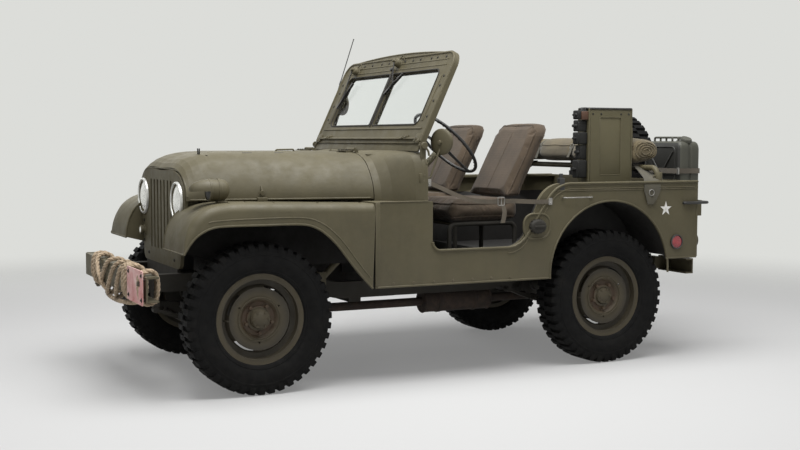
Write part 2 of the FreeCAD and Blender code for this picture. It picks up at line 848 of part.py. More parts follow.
def build_frame():
    """Side rails, and the cross members between them."""
    save("frame_rails", [rail(1), rail(-1)])
    inner = rail_half - rail_width
    half = rail_height / 2
    quarter = rail_height / 4
    members = []
    for x, low, high in (
        (front_axle_x + front_reach - bumper_depth - member_width, rail_front_z - half, rail_front_z + half),
        (gearbox_rear_x() + 0.75 * gearbox_length, gearbox_bottom - half, gearbox_bottom),
        (body_rear_x + rail_wall + member_width / 2, rail_rear_z - quarter, rail_rear_z + half),
    ):
        members.append(block(x - member_width / 2, x + member_width / 2, -inner, inner, low, high))
    shaft_start = vec(rear_axle_x, -diff_offset, tyre_radius)
    shaft_end = vec(front_axle_x, -diff_offset, tyre_radius)
    members[1] = members[1].cut(rod(shaft_start, shaft_end, shaft_radius + moving_gap))
    for y in (tow_hole_spread / 2, -tow_hole_spread / 2):
        for z in (tow_hole_rise / 2, -tow_hole_rise / 2):
            start = vec(body_rear_x, y, rail_rear_z + rail_height / 8 + z)
            members[2] = members[2].cut(rod(start, start + along_x * 2 * member_width, tow_hole_radius))
    cradle_rear = radiator_x() - member_width / 2
    shelf = block(cradle_rear, grille_x, -inner, inner, rail_front_z, rail_front_z + half)
    lip = block(grille_x - grille_thickness, grille_x, -inner, inner, rail_front_z + half, grille_bottom_z)
    members.append(fused([shelf, lip]))
    save("frame_members", members)


def radiator_x():
    return grille_x - grille_thickness - radiator_gap - radiator_thickness / 2


def rail_notch(x0, x1):
    """The room that both rail ends take between two stations."""
    half = rail_height / 2
    left = block(x0, x1, rail_half - rail_width, rail_half, rail_front_z - half, rail_front_z + half)
    return Part.makeCompound([left, mirrored(left)])


def build_rope():
    """The tow rope wound round the front bumper, as one solid of its outer shape."""
    x1 = front_axle_x + front_reach
    x0 = x1 - bumper_depth
    top = bumper_bottom + bumper_height
    thick = rope_diameter
    low = bumper_bottom - rope_sag
    outline = [
        (x0 - thick, bumper_bottom), (x0 - thick, top + thick), (x1 + thick, top + thick),
        (x1 + 1.3 * thick, low), (x1 - bumper_depth / 2, low),
    ]
    wound = side_plate(outline, [thick] * 5, rope_far_y, rope_near_y)
    bar = block(x0 - seat_gap, x1 + seat_gap, -bumper_half, bumper_half, bumper_bottom - seat_gap, top + seat_gap)
    rail_room = block(
        x0 - 2 * thick, x0, -rail_half - seat_gap, rail_half + seat_gap,
        bumper_bottom - rope_sag, rail_front_z + rail_height / 2 + seat_gap,
    )
    save("tow_rope", [wound.cut(bar).cut(rail_room)])


def build_bumpers():
    """The front channel on the rail ends, and the two short rear ones."""
    x1 = front_axle_x + front_reach
    x0 = x1 - bumper_depth
    top = bumper_bottom + bumper_height
    outer = block(x0, x1, -bumper_half, bumper_half, bumper_bottom, top)
    hollow = block(
        x0 - bumper_wall, x1 - bumper_wall, -bumper_half - bumper_wall, bumper_half + bumper_wall,
        bumper_bottom + bumper_wall, top - bumper_wall,
    )
    channel = outer.cut(hollow)
    notch = rail_notch(x0 - overrun, x1 - bumper_wall)
    save("front_bumper", [channel.cut(notch)])
    rears = []
    for side in (1, -1):
        x1 = body_rear_x
        piece = block(
            x1 - bumperette_reach, x1, bumperette_inner, bumperette_outer,
            bumperette_bottom, bumperette_bottom + bumperette_height,
        )
        foot = block(
            x1 - bumper_wall, x1 + 4 * bumper_wall, rail_half, bumperette_inner + bumper_wall,
            bumperette_bottom + bumper_wall, bumperette_bottom + bumperette_height - bumper_wall,
        )
        inside = block(
            x1 - bumperette_reach + bumper_wall, x1 + overrun, bumperette_inner + bumper_wall, bumperette_outer + overrun,
            bumperette_bottom + bumper_wall, bumperette_bottom + bumperette_height - bumper_wall,
        )
        rears.append(on_side(fused([piece.cut(inside), foot]), side))
    save("rear_bumperettes", rears)


def gearbox_rear_x():
    return front_axle_x + engine_front_ahead - engine_length - gearbox_length


def build_engine():
    """The engine and gearbox as plain blocks, and the radiator behind the grille."""
    x1 = front_axle_x + engine_front_ahead
    x0 = x1 - engine_length
    engine = block(x0, x1, -engine_half, engine_half, engine_bottom, engine_top)
    mount_x = x1 - engine_length / 4
    mounts = block(
        mount_x - member_width / 2, mount_x + member_width / 2, rail_width - rail_half, rail_half - rail_width,
        rail_front_z - rail_height / 4, rail_front_z + rail_height / 4,
    )
    manifold = block(
        x1 - 0.65 * engine_length, x1 - 0.2 * engine_length, engine_half, engine_half + manifold_height,
        engine_bottom + 2 * manifold_height, engine_bottom + 3 * manifold_height,
    )
    save("engine_block", [fused([engine, mounts, manifold])])
    case = block(
        gearbox_rear_x(), x0, -gearbox_half, gearbox_half, gearbox_bottom, gearbox_bottom + gearbox_height,
    )
    transfer = block(
        transfer_front_x() - transfer_length, transfer_front_x(), -diff_offset - gearbox_half / 2,
        -gearbox_half / 2, transfer_bottom, transfer_bottom + transfer_height,
    )
    save("gearbox", [fused([case, transfer])])
    save("radiator", [block(
        radiator_x() - radiator_thickness / 2, radiator_x() + radiator_thickness / 2, -radiator_half, radiator_half,
        rail_front_z + rail_height / 2, slot_top_z + radiator_gap / 2,
    )])


def build_exhaust():
    """The pipe and its muffler, lengthwise under the left side."""
    y = engine_half + manifold_height / 2
    z = exhaust_z
    x_front = front_axle_x + engine_front_ahead - engine_length / 2
    x_muffler = door_front_x - muffler_length / 2
    down = [
        vec(x_front, y, engine_bottom + 2 * manifold_height),
        vec(x_front, y, z),
        vec(x_muffler, y, z),
    ]
    pipe = bent_tube(down, [0, 3 * exhaust_radius, 0], exhaust_radius)
    muffler = rod(vec(x_muffler, y, z), vec(x_muffler - muffler_length, y, z), muffler_radius)
    tail = rod(vec(x_muffler - muffler_length, y, z), vec(x_muffler - 1.6 * muffler_length, y, z), exhaust_radius)
    save("exhaust", [fused([pipe, muffler, tail])])


# Body


def body_side():
    """The left side: rocker, door cut-out, wheel arch, deck lip and wheelhouse."""
    door_back = front_axle_x - door_sill_end
    deck_start = front_axle_x - door_top_back
    outline = [
        (body_front_x, rocker_z), (body_front_x, waist_z), (door_front_x, waist_z), (door_front_x, sill_z),
        (door_back, sill_z), (deck_start, deck_z), (body_rear_x, deck_z), (body_rear_x, tail_z),
        (arch_x, tail_z), (arch_x, rocker_z),
    ]
    radii = [0, 0, 0, door_front_radius, door_low_radius, door_high_radius, 0, 0, 0, 0]
    plate = side_plate(outline, radii, inner_half, body_half)
    lip_start = deck_start - door_high_radius
    lip = block(body_rear_x + panel, lip_start, body_half - deck_lip, body_half, deck_z - panel, deck_z)
    centre = vec(arch_x, wheelhouse_inner, arch_centre_z)
    outer_arc = rod(centre, vec(arch_x, body_half, arch_centre_z), arch_radius + panel)
    inner_arc = rod(centre + along_y * panel, vec(arch_x, body_half + overrun, arch_centre_z), arch_radius)
    above = block(
        arch_x - 2 * arch_radius, arch_x + 2 * arch_radius, wheelhouse_inner - overrun, body_half + overrun,
        load_floor_z, deck_z,
    )
    house = outer_arc.common(above)
    return fused([plate, lip, house]).cut(inner_arc)


def build_body():
    left = body_side()
    save("body_side_left", [left])
    save("body_side_right", [mirrored(left)])
    riser_x = front_axle_x - riser_back
    toe_x = cowl_front_x - panel
    front_floor = block(riser_x, toe_x - toe_length, -inner_half, inner_half, floor_z, floor_z + panel)
    riser = block(riser_x - panel, riser_x, -inner_half, inner_half, floor_z, load_floor_z + panel)
    house_front = arch_x + arch_radius + panel
    shelf = block(house_front, riser_x, -inner_half, inner_half, load_floor_z, load_floor_z + panel)
    middle = block(body_rear_x + panel, riser_x, -wheelhouse_inner, wheelhouse_inner, load_floor_z, load_floor_z + panel)
    tail = block(
        body_rear_x + panel, arch_x - arch_radius - panel, -inner_half, inner_half, load_floor_z, load_floor_z + panel,
    )
    slope = [
        (toe_x - toe_length, floor_z), (toe_x, floor_z + toe_height), (toe_x, floor_z + toe_height + panel),
        (toe_x - panel, floor_z + toe_height + panel), (toe_x - toe_length - panel, floor_z + panel),
        (toe_x - toe_length - panel, floor_z),
    ]
    toe = side_plate(slope, [0] * len(slope), -inner_half, inner_half)
    tunnel_rear = gearbox_rear_x() - 2 * panel
    tunnel = block(tunnel_rear, toe_x, -tunnel_half, tunnel_half, floor_z, tunnel_top)
    room = block(
        tunnel_rear + panel, toe_x + panel, -tunnel_half + panel, tunnel_half - panel, 0, tunnel_top - panel,
    )
    floor = fused([front_floor, riser, shelf, middle, tail, toe, tunnel])
    top, low = column_ends()
    save("body_floor", [floor.cut(room).cut(rod(top, low, column_radius + sheet))])
    save("rear_panel", [block(body_rear_x, body_rear_x + panel, -inner_half, inner_half, tail_z, deck_z)])


def hood_section(x, half, low_z, top_z, inset, shares=hood_shoulder_shares):
    """One cross-section of the hood or cowl, closed straight across below."""
    width = half - inset
    rise = top_z - low_z - inset
    right = [vec(x, width * share, low_z + rise * height) for share, height in shares]
    crown = vec(x, 0, low_z + rise)
    left = [vec(x, -p.y, p.z) for p in reversed(right)]
    curve = Part.BSplineCurve()
    curve.interpolate(right + [crown] + left)
    return Part.Wire([curve.toShape(), Part.makeLine(left[-1], right[0])])


def hood_body(inset, extra):
    """The hood's full form, from the nose back to the cowl, carried `extra` past its open sides."""
    length = hood_front_x - hood_rear_x
    sections = []
    for share, height in nose_shares:
        x = hood_front_x - length * share
        half = hood_front_half + (hood_rear_half - hood_front_half) * share
        top = hood_nose_z + (hood_top_z - hood_nose_z) * height
        if share == 0:
            x += extra
        if share == 1:
            x -= extra
        sections.append(hood_section(x, half, hood_edge_z, top, inset))
    form = Part.makeLoft(sections, True, True)
    if extra == 0:
        return form
    return form.fuse(Part.Face(hood_edge(inset, extra)).extrude(vec(0, 0, -extra)))


def hood_edge(inset, extra):
    """The hood's lower edge, seen from above."""
    front = hood_front_half - inset
    rear = hood_rear_half - inset
    x0 = hood_rear_x - extra
    x1 = hood_front_x + extra
    corners = [(x1, front), (x1, -front), (x0, -rear), (x0, rear), (x1, front)]
    return Part.makePolygon([vec(x, y, hood_edge_z) for x, y in corners])


def build_hood():
    """The hood skin, open below, with its hinge barrels."""
    outer = hood_body(0, 0)
    inner = hood_body(hood_skin, overrun)
    skin = outer.cut(inner)
    pieces = [skin]
    bores = []
    half = hood_hinge_length / 2
    for side in (1, -1):
        middle = hood_hinge(side)
        pieces.append(rod(middle - along_y * half, middle + along_y * half, hood_barrel))
        pieces.append(block(
            hood_rear_x, hood_rear_x + hood_hinge_length / 2, middle.y - 0.9 * half, middle.y + 0.9 * half,
            hood_hinge_z - 2.3 * hood_barrel, hood_hinge_z - 0.7 * hood_barrel,
        ))
        bore = hood_pin + running_clearance
        bores.append(rod(middle - along_y * 2 * half, middle + along_y * 2 * half, bore))
    save("hood", [fused(pieces).cut(Part.makeCompound(bores))])


def hood_hinge(side):
    """The middle of one hood hinge, on the line the hood turns about."""
    return vec((hood_rear_x + cowl_front_x) / 2, hood_hinge_y * side, hood_hinge_z)


def cowl_form(inset, extra):
    """The cowl's form, which swells from the hood's shape to the full width of the body."""
    sections = []
    for share in cowl_step_shares:
        ease = share * share * (3 - 2 * share)
        x = cowl_front_x + (cowl_rear_x - cowl_front_x) * share
        x += extra if share == 0 else 0
        x -= extra if share == 1 else 0
        shares = [
            (a + (c - a) * ease, b + (d - b) * ease)
            for (a, b), (c, d) in zip(hood_shoulder_shares, cowl_shoulder_shares)
        ]
        half = hood_rear_half + (body_half - hood_rear_half) * ease
        top = hood_top_z + (cowl_top_z - hood_top_z) * share
        sections.append(hood_section(x, half, waist_z, top, inset, shares))
    return Part.makeLoft(sections, True, True)


def build_cowl():
    """The cowl over the firewall, with shelves at the waist and ears for the windshield."""
    shell = cowl_form(0, 0).cut(cowl_form(panel, overrun))
    fire_low = floor_z + toe_height + panel
    firewall = block(cowl_front_x - panel, cowl_front_x, panel - hood_rear_half, hood_rear_half - panel, fire_low, waist_z)
    bulkhead = hood_section(cowl_front_x - panel, hood_rear_half, waist_z, hood_top_z, panel / 2)
    bulkhead = Part.Face(bulkhead).extrude(vec(panel, 0, 0))
    pieces = [shell, firewall, bulkhead]
    for side in (1, -1):
        middle = hood_hinge(side)
        half = hood_hinge_length / 2 + moving_gap
        pieces.append(rod(middle - along_y * half, middle + along_y * half, hood_pin))
        for way in (1, -1):
            start = middle + along_y * half * way
            end = start + along_y * hood_barrel * way
            pieces.append(rod(start, end, hood_barrel))
            pieces.append(block(
                cowl_front_x - 2 * hood_barrel, cowl_front_x, min(start.y, end.y), max(start.y, end.y),
                hood_hinge_z - 3 * hood_barrel, hood_hinge_z,
            ))
        shelf = block(cowl_rear_x, body_front_x, hood_rear_half - 2 * panel, inner_half, waist_z - panel, waist_z)
        pieces.append(on_side(shelf, side))
        pivot = vec(front_axle_x - windshield_back, windshield_half + hinge_ear / 8, windshield_pivot_z)
        ear = block(
            pivot.x - 2 * hinge_pin, pivot.x + 2 * hinge_pin, pivot.y, pivot.y + hinge_ear,
            waist_z + 0.72 * (cowl_top_z - waist_z), pivot.z + 2 * hinge_pin,
        )
        pin = rod(pivot - along_y * hinge_ear, pivot + along_y * hinge_ear / 2, hinge_pin)
        pieces += [on_side(ear, side), on_side(pin, side)]
    save("cowl", [fused(pieces)])


def fender_top_at(x):
    """Height of the fender's flat top at a station."""
    front = front_axle_x + fender_nose_ahead - 0.8 * fender_front_radius
    share = (front - x) / (front - body_front_x)
    return fender_top_front_z + (fender_top_rear_z - fender_top_front_z) * share


def build_fenders():
    """Each front fender: a thin skin over the wheel, open below, with a shallow side."""
    rear_x = body_front_x
    outline = [
        (front_axle_x + fender_front_ahead, fender_tip_z),
        (front_axle_x + fender_nose_ahead, fender_top_front_z - 0.9 * fender_front_radius),
        (front_axle_x + fender_nose_ahead - 0.8 * fender_front_radius, fender_top_front_z),
        (rear_x, fender_top_rear_z),
        (rear_x, rocker_z),
    ]
    radii = [0, fender_front_radius / 2, fender_front_radius, 0, 0]
    whole = side_plate(outline, radii, fender_inner, body_half)
    skin = fender_skin
    inner = [
        (front_axle_x + fender_front_ahead - skin, fender_tip_z - skin),
        (front_axle_x + fender_nose_ahead - skin, fender_top_front_z - 0.9 * fender_front_radius - skin / 2),
        (front_axle_x + fender_nose_ahead - 0.8 * fender_front_radius - skin / 2, fender_top_front_z - skin),
        (rear_x + skin, fender_top_rear_z - skin),
        (rear_x + skin, rocker_z - skin),
    ]
    hollow = side_plate(inner, radii, fender_inner - overrun, body_half - fender_side)
    arch = [
        (front_axle_x + arch_front_ahead, fender_tip_z), (front_axle_x + arch_rise_ahead, arch_top_front_z),
        (front_axle_x - arch_fall_back, arch_top_front_z), (front_axle_x - arch_low_back, rocker_z),
        (front_axle_x - arch_low_back, rocker_z - skin), (front_axle_x + 2 * fender_front_ahead, rocker_z - skin),
        (front_axle_x + 2 * fender_front_ahead, fender_tip_z),
    ]
    arch_radii = [0, fender_front_radius, 1.5 * fender_front_radius, 0, 0, 0, 0]
    opening = side_plate(arch, arch_radii, fender_inner - overrun, body_half + overrun)
    apron = block(
        rear_x, front_axle_x + apron_front_ahead, fender_inner, fender_inner + skin,
        apron_bottom, fender_top_rear_z,
    )
    skirt = whole.cut(hollow).cut(opening)
    left = fused([skirt, apron.common(whole)]).cut(grille_plate()).cut(lamp_holes(lamp_depth))
    save("fender_left", [left])
    save("fender_right", [mirrored(left)])


def grille_plate():
    """The front panel's outline: narrow below, wide at the lamps, and domed under the hood."""
    half = hood_front_half - hood_skin - moving_gap
    points = [
        (grille_low_half, grille_bottom_z), (grille_waist_half, grille_waist_z), (half, grille_shoulder_z),
        (half, hood_edge_z), (-half, hood_edge_z), (-half, grille_shoulder_z),
        (-grille_waist_half, grille_waist_z), (-grille_low_half, grille_bottom_z),
    ]
    radii = [grille_corner, grille_corner, grille_corner, 0, 0, grille_corner, grille_corner, grille_corner]
    x0 = grille_x - grille_thickness
    lower = front_plate(points, radii, x0, grille_x)
    dome = hood_section(x0, hood_front_half, hood_edge_z, hood_nose_z, hood_skin + moving_gap)
    return fused([lower, Part.Face(dome).extrude(vec(grille_thickness, 0, 0))])


def lamp_holes(depth):
    """The round holes of the headlamps, from behind the panel to its face."""
    holes = []
    for side in (1, -1):
        centre = vec(grille_x, lamp_y * side, lamp_z)
        holes.append(rod(centre - along_x * depth, centre + along_x * overrun, lamp_radius + lamp_ring + seat_gap))
    return Part.makeCompound(holes)


def build_grille():
    """The slotted front panel, with round holes for the lamps."""
    x0 = grille_x - grille_thickness
    cuts = [lamp_holes(lamp_depth)]
    for i in range(slot_count):
        y = (i - (slot_count - 1) / 2) * slot_pitch
        low, high = y - slot_width / 2, y + slot_width / 2
        corners = [(low, slot_bottom_z), (high, slot_bottom_z), (high, slot_top_z), (low, slot_top_z)]
        cuts.append(front_plate(corners, [0.4 * slot_width] * 4, x0 - overrun, grille_x + overrun))
    plate = grille_plate()
    for cut in cuts:
        plate = plate.cut(cut)
    save("grille", [plate])


def build_lamps():
    """Headlamp cups with their lenses, markers, tail lamps and the hooded blackout lamp."""
    cups = []
    lenses = []
    for side in (1, -1):
        back = vec(grille_x - lamp_depth, lamp_y * side, lamp_z)
        front = vec(grille_x, lamp_y * side, lamp_z)
        cup = rod(back, front, lamp_radius + lamp_ring)
        pocket = rod(front - along_x * lamp_ring, front + along_x * overrun, lamp_radius)
        cups.append(cup.cut(pocket))
        lens_back = front - along_x * lamp_ring
        bow = 3 * lamp_radius
        ball = Part.makeSphere(bow, lens_back + along_x * (lamp_ring - bow))
        lenses.append(rod(lens_back, front + along_x * overrun, lamp_radius - seat_gap).common(ball))
    save("headlamps", cups)
    save("headlamp_lenses", lenses)
    small = []
    for side in (1, -1):
        foot = vec(grille_x, marker_y * side, marker_z)
        small.append(rod(foot, foot + along_x * marker_radius, marker_radius))
        tail = vec(body_rear_x, (body_half - 3 * marker_radius) * side, tail_z + 4 * marker_radius)
        small.append(rod(tail, tail - along_x * 1.4 * marker_radius, 1.8 * marker_radius))
    save("marker_lamps", small)
    centre = vec(front_axle_x + blackout_ahead, blackout_y, blackout_z)
    body = rod(centre, centre + along_x * 1.5 * blackout_radius, blackout_radius)
    dome = Part.makeSphere(blackout_radius, centre)
    hood_ring = ring(centre, centre + along_x * 2.6 * blackout_radius, blackout_radius, blackout_radius - sheet)
    upper = block(
        centre.x, centre.x + 3 * blackout_radius, blackout_y - blackout_radius, blackout_y + blackout_radius,
        blackout_z, blackout_z + blackout_radius,
    )
    stem = rod(centre, vec(centre.x, blackout_y, fender_top_at(centre.x) + seat_gap), 0.25 * blackout_radius)
    save("blackout_lamp", [fused([body, dome, hood_ring.common(upper), stem])])


# Windshield


def windshield_place(shape):
    """Leans a shape made upright above the pivot line back to the real rake."""
    leaned = shape.copy()
    leaned.rotate(origin, along_y, -windshield_rake)
    leaned.translate(vec(front_axle_x - windshield_back, 0, windshield_pivot_z))
    return leaned


def pane_outline(side):
    low, high = pane_half_gap, pane_outer
    points = [(low * side, pane_bottom), (high * side, pane_bottom), (high * side, pane_top), (low * side, pane_top)]
    return points, [pane_corner / 3, pane_corner, pane_corner, pane_corner / 3]


def build_windshield():
    """The folding frame with two panes, wiper motors, arms and blades."""
    half = windshield_thickness / 2
    points = [
        (-windshield_half, moving_gap), (windshield_half, moving_gap),
        (windshield_half, windshield_height), (-windshield_half, windshield_height),
    ]
    frame = front_plate(points, [0, 0, windshield_corner, windshield_corner], -half, half)
    ears = []
    panes = []
    cuts = []
    for side in (1, -1):
        outline, radii = pane_outline(side)
        cuts.append(front_plate(outline, radii, -half - overrun, half + overrun))
        panes.append(windshield_place(front_plate(outline, radii, -glass_thickness / 2, glass_thickness / 2)))
    for side in (1, -1):
        outer = vec(0, windshield_half * side, 0)
        ears.append(rod(outer, outer - along_y * hinge_ear * side, 2 * hinge_pin))
        cuts.append(rod(outer + along_y * overrun * side, outer - along_y * 2 * hinge_ear * side, hinge_pin + running_clearance))
    whole = fused([frame] + ears)
    for cut in cuts:
        whole = whole.cut(cut)
    save("windshield_frame", [windshield_place(whole)])
    save("windshield_glass", panes)
    wipers = []
    for y in (wiper_right_y, wiper_right_y + wiper_spread):
        top = windshield_height - 0.6 * (windshield_height - pane_top)
        foot = vec(half, y, top)
        motor = rod(foot, foot + along_x * wiper_motor_depth, wiper_motor_radius)
        tip = vec(half + wiper_motor_depth / 2, y - 0.64 * wiper_arm, top - 0.77 * wiper_arm)
        arm = rod(foot + along_x * wiper_motor_depth / 2, tip, sheet)
        wipers.append(windshield_place(fused([motor, arm])))
    save("wipers", wipers)


# Cab


def wheel_centre():
    return vec(front_axle_x - wheel_centre_back, wheel_centre_y, wheel_centre_z)


def column_foot():
    """The column's lower end, in the steering box beside the left rail."""
    return vec(front_axle_x - steering_box_back, wheel_centre_y, steering_box_middle)


def column_axis():
    return (wheel_centre() - column_foot()).normalize()


def column_ends():
    """The column's upper end below the wheel's hub, and its lower end in the steering box."""
    return wheel_centre() - column_axis() * (2 * steering_hub), column_foot()


def build_controls():
    """The steering column and box, the wheel and the dashboard."""
    centre = wheel_centre()
    axis = column_axis()
    top, low = column_ends()
    box = block(
        low.x - steering_box_length / 2, low.x + steering_box_length / 2, rail_half, rail_half + column_radius * 2,
        steering_box_top - steering_box_height, steering_box_top,
    )
    shaft = rod(top, centre - axis * (steering_hub / 2 + seat_gap), steering_shaft)
    save("steering_column", [fused([rod(top, low, column_radius), box, shaft])])
    rim = Part.makeTorus(steering_rim, steering_grip, centre, axis)
    hub_low = centre - axis * (2 * steering_hub - moving_gap)
    hub = rod(hub_low, centre, steering_hub)
    spokes = []
    for i in range(3):
        turn = FreeCAD.Rotation(axis, 120 * i + 90)
        out = turn.multVec(along_y)
        spokes.append(rod(centre - axis * steering_hub / 2, centre + out * steering_rim, steering_grip / 2))
    whole = fused([rim, hub] + spokes)
    bore = rod(hub_low - axis * steering_hub, centre - axis * steering_hub / 2, steering_shaft + running_clearance)
    save("steering_wheel", [whole.cut(bore)])
    dash_x = cowl_rear_x + panel
    dash_half = windshield_half - moving_gap
    keep = block(dash_x, dash_x + panel, -dash_half, dash_half, cowl_top_z - dash_drop, cowl_top_z)
    save("dashboard", [cowl_form(panel + seat_gap, 0).common(keep)])


def build_seats():
    """Two seats: tube frames, and plain soft pads for the covers."""
    pads = []
    frames = []
    x1 = front_axle_x - seat_front_back
    x0 = x1 - seat_length
    lean = math.tan(math.radians(seat_lean))
    for side in (1, -1):
        y = seat_y * side
        corner = seat_cushion_height / 3
        pads.append(top_plate(
            [(x0, y - seat_half), (x1, y - seat_half), (x1, y + seat_half), (x0, y + seat_half)],
            [corner] * 4, seat_cushion_z, seat_cushion_z + seat_cushion_height,
        ))
        low = seat_cushion_z + seat_cushion_height + seat_gap
        back = front_plate(
            [
                (y - seat_half, low), (y + seat_half, low), (y + seat_top_half, low + seat_back_height),
                (y - seat_top_half, low + seat_back_height),
            ],
            [0, 0, corner, corner], 0, seat_back_depth,
        )
        shear = FreeCAD.Matrix()
        shear.A13 = -lean
        back = back.transformGeometry(shear)
        back = placed(back, x0 + lean * low + seat_back_depth / 2, 0, 0)
        pads.append(back)
        for dy in (seat_half - 3 * seat_tube, -seat_half + 3 * seat_tube):
            tube_z = seat_cushion_z - seat_gap - seat_tube
            run = [
                vec(x1 - seat_tube, y + dy, floor_z + panel), vec(x1 - seat_tube, y + dy, tube_z),
                vec(x0 + seat_tube, y + dy, tube_z), vec(x0 + seat_tube, y + dy, floor_z + panel),
            ]
            frames.append(bent_tube(run, [0, 3 * seat_tube, 3 * seat_tube, 0], seat_tube))
    save("seat_pads", pads)
    save("seat_frames", frames)


# Load and outside fittings


def build_load():
    """The radio cabinet with its equipment rack, the stowed canvas and its bow."""
    x1 = front_axle_x - cabinet_front_back
    x0 = x1 - cabinet_length
    base = arch_centre_z + arch_radius + panel
    inner = cabinet_outer - cabinet_depth
    save("radio_cabinet", [block(x0, x1, inner, cabinet_outer, base, base + cabinet_height)])
    rack_base = base + cabinet_height - rack_height - 2 * panel
    save("equipment_rack", [block(x1, x1 + rack_length, inner, cabinet_outer - panel, rack_base, rack_base + rack_height)])
    x = front_axle_x - bow_back
    foot_z = deck_z
    y = body_half - deck_lip / 2
    run = [vec(x, y, foot_z), vec(x, y, bow_top_z), vec(x, -y, bow_top_z), vec(x, -y, foot_z)]
    save("top_bow", [bent_tube(run, [0, 3 * bow_tube, 3 * bow_tube, 0], bow_tube)])
    z = bow_top_z + bow_tube + seat_gap + roll_radius
    save("canvas_roll", [rod(vec(x, -roll_half, z), vec(x, roll_half, z), roll_radius)])


def build_rear():
    """The fuel can in its tray and the bracket of the spare wheel."""
    x1 = body_rear_x - can_gap
    x0 = x1 - can_depth
    y1 = can_outer
    y0 = y1 - can_width
    can = top_plate([(x0, y0), (x1, y0), (x1, y1), (x0, y1)], [can_depth / 5] * 4, can_bottom_z, can_bottom_z + can_height)
    save("fuel_can", [can])
    w = tray_wall
    tray = block(x0 - w, body_rear_x, y0 - w, y1 + w, can_bottom_z - w, can_bottom_z + tray_height)
    pocket = block(x0, x1, y0, y1, can_bottom_z, can_bottom_z + tray_height + overrun)
    bracket_x = body_rear_x - spare_gap - tyre_width / 2 - disc_seat
    bracket = rod(vec(body_rear_x, spare_y, spare_z), vec(bracket_x, spare_y, spare_z), 1.3 * hub_radius)
    foot = block(
        body_rear_x - panel, body_rear_x, spare_y - 3 * hub_radius, spare_y + 3 * hub_radius,
        deck_z - 6 * hub_radius, spare_z + hub_radius,
    )
    save("rear_carriers", [tray.cut(pocket), fused([bracket, foot])])


def build_outside():
    """Round mirrors on thin arms, and the whip antenna."""
    mirrors = []
    for side, shift, lift, angle in (
        (1, 0, 0, mirror_turn), (-1, mirror_right_shift, mirror_right_lift, mirror_right_turn),
    ):
        turn = math.radians(angle)
        centre = vec(front_axle_x - mirror_back - shift, mirror_y * side, mirror_z + lift)
        facing = vec(-math.cos(turn), -math.sin(turn) * side, 0)
        disc = rod(centre, centre - facing * 3 * sheet, mirror_radius)
        foot = vec(cowl_rear_x + 2 * panel, (body_half - 2 * panel) * side, waist_z + 10 * panel)
        arm = bent_tube([foot, foot - along_x * 4 * panel, centre - facing * sheet], [0, 3 * sheet, 0], sheet)
        mirrors.append(fused([disc, arm]))
    save("mirrors", mirrors)
    lean = math.radians(antenna_lean)
    foot = vec(front_axle_x - antenna_back, -body_half - 4 * antenna_radius + antenna_tuck, antenna_foot_z)
    tip = foot + vec(-math.sin(lean), 0, math.cos(lean)) * antenna_length
    socket = rod(foot, foot + (tip - foot) / 16, 4 * antenna_radius)
    save("antenna", [fused([rod(foot, tip, antenna_radius), socket])])


build_wheels()
build_front_axle()
build_steering()
build_rear_axle()
build_springs()
build_shafts()
build_frame()
build_bumpers()
build_rope()
build_engine()
build_exhaust()
build_body()
build_hood()
build_cowl()
build_fenders()
build_grille()
build_lamps()
build_windshield()
build_controls()
build_seats()
build_load()
build_rear()
build_outside()
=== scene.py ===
import random
from math import copysign, cos, exp, hypot, pi, radians, sin, tan

import bmesh
import bpy
import numpy as np
from mathutils import Matrix, Vector


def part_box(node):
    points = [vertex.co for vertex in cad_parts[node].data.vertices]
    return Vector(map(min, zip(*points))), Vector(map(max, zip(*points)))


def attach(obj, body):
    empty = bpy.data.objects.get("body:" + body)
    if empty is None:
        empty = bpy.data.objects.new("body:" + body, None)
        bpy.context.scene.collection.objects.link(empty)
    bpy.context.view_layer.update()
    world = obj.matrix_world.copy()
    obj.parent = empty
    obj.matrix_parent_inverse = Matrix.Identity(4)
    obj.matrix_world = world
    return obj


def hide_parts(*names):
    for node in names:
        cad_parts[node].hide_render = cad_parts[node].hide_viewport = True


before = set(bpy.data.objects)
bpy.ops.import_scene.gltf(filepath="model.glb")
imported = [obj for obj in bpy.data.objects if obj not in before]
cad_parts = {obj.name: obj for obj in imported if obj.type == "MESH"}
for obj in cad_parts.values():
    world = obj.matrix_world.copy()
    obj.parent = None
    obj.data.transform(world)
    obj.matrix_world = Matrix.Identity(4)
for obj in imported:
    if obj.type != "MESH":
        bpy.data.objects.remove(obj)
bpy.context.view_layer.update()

bl_info = {
    "name": "Open military 4x4 car",
    "version": (1, 0, 0),
    "blender": (4, 5, 0),
    "location": "View3D > Sidebar > Field car",
    "description": "Dresses the packed solids of an open military 4x4 car with its finer pieces and finishes",
    "category": "Object",
}

# Stations of the car, in metres: X forward, Y to its left, Z up, with the ground at zero.
FRONT_AXLE = 1.154
REAR_AXLE = FRONT_AXLE - 2.057
HALF_TRACK = 0.624
AXLE_Z = 0.375
BODY_HALF = 0.762
BODY_REAR = FRONT_AXLE - 2.638
COWL_REAR = FRONT_AXLE - 0.885
DECK_Z = 1.022
TAU = 2 * pi
X_AXIS = Vector((1, 0, 0))
Y_AXIS = Vector((0, 1, 0))
Z_AXIS = Vector((0, 0, 1))

# A slot name for each finish, where a call names no other; placed() looks it up but keeps it nowhere
SLOTS = {
    "body_paint": ("olive_paint", "wheel_paint_and_shade", "chassis_paint", "can_paint_and_shadow", "cabinet_paint"),
    "black_steel": ("rubber_trim", "black_steel"),
    "tan_canvas": ("webbing", "strap_olive", "tan_canvas"),
    "lamp_glass": ("lens_glass", "red_lens"),
    "grey_green": ("rack_paint", "red_brown_panel"),
    "iron": ("cast_iron",),
    "rusty_steel": ("rusted_steel",),
    "seat_canvas": ("seat_canvas",),
    "rope_fibre": ("rope_fibre",),
    "tyre_rubber": ("tyre_rubber",),
    "grip_black": ("dial_face",),
}
SLOT_OF = {paint: slot for slot, paints in SLOTS.items() for paint in paints}


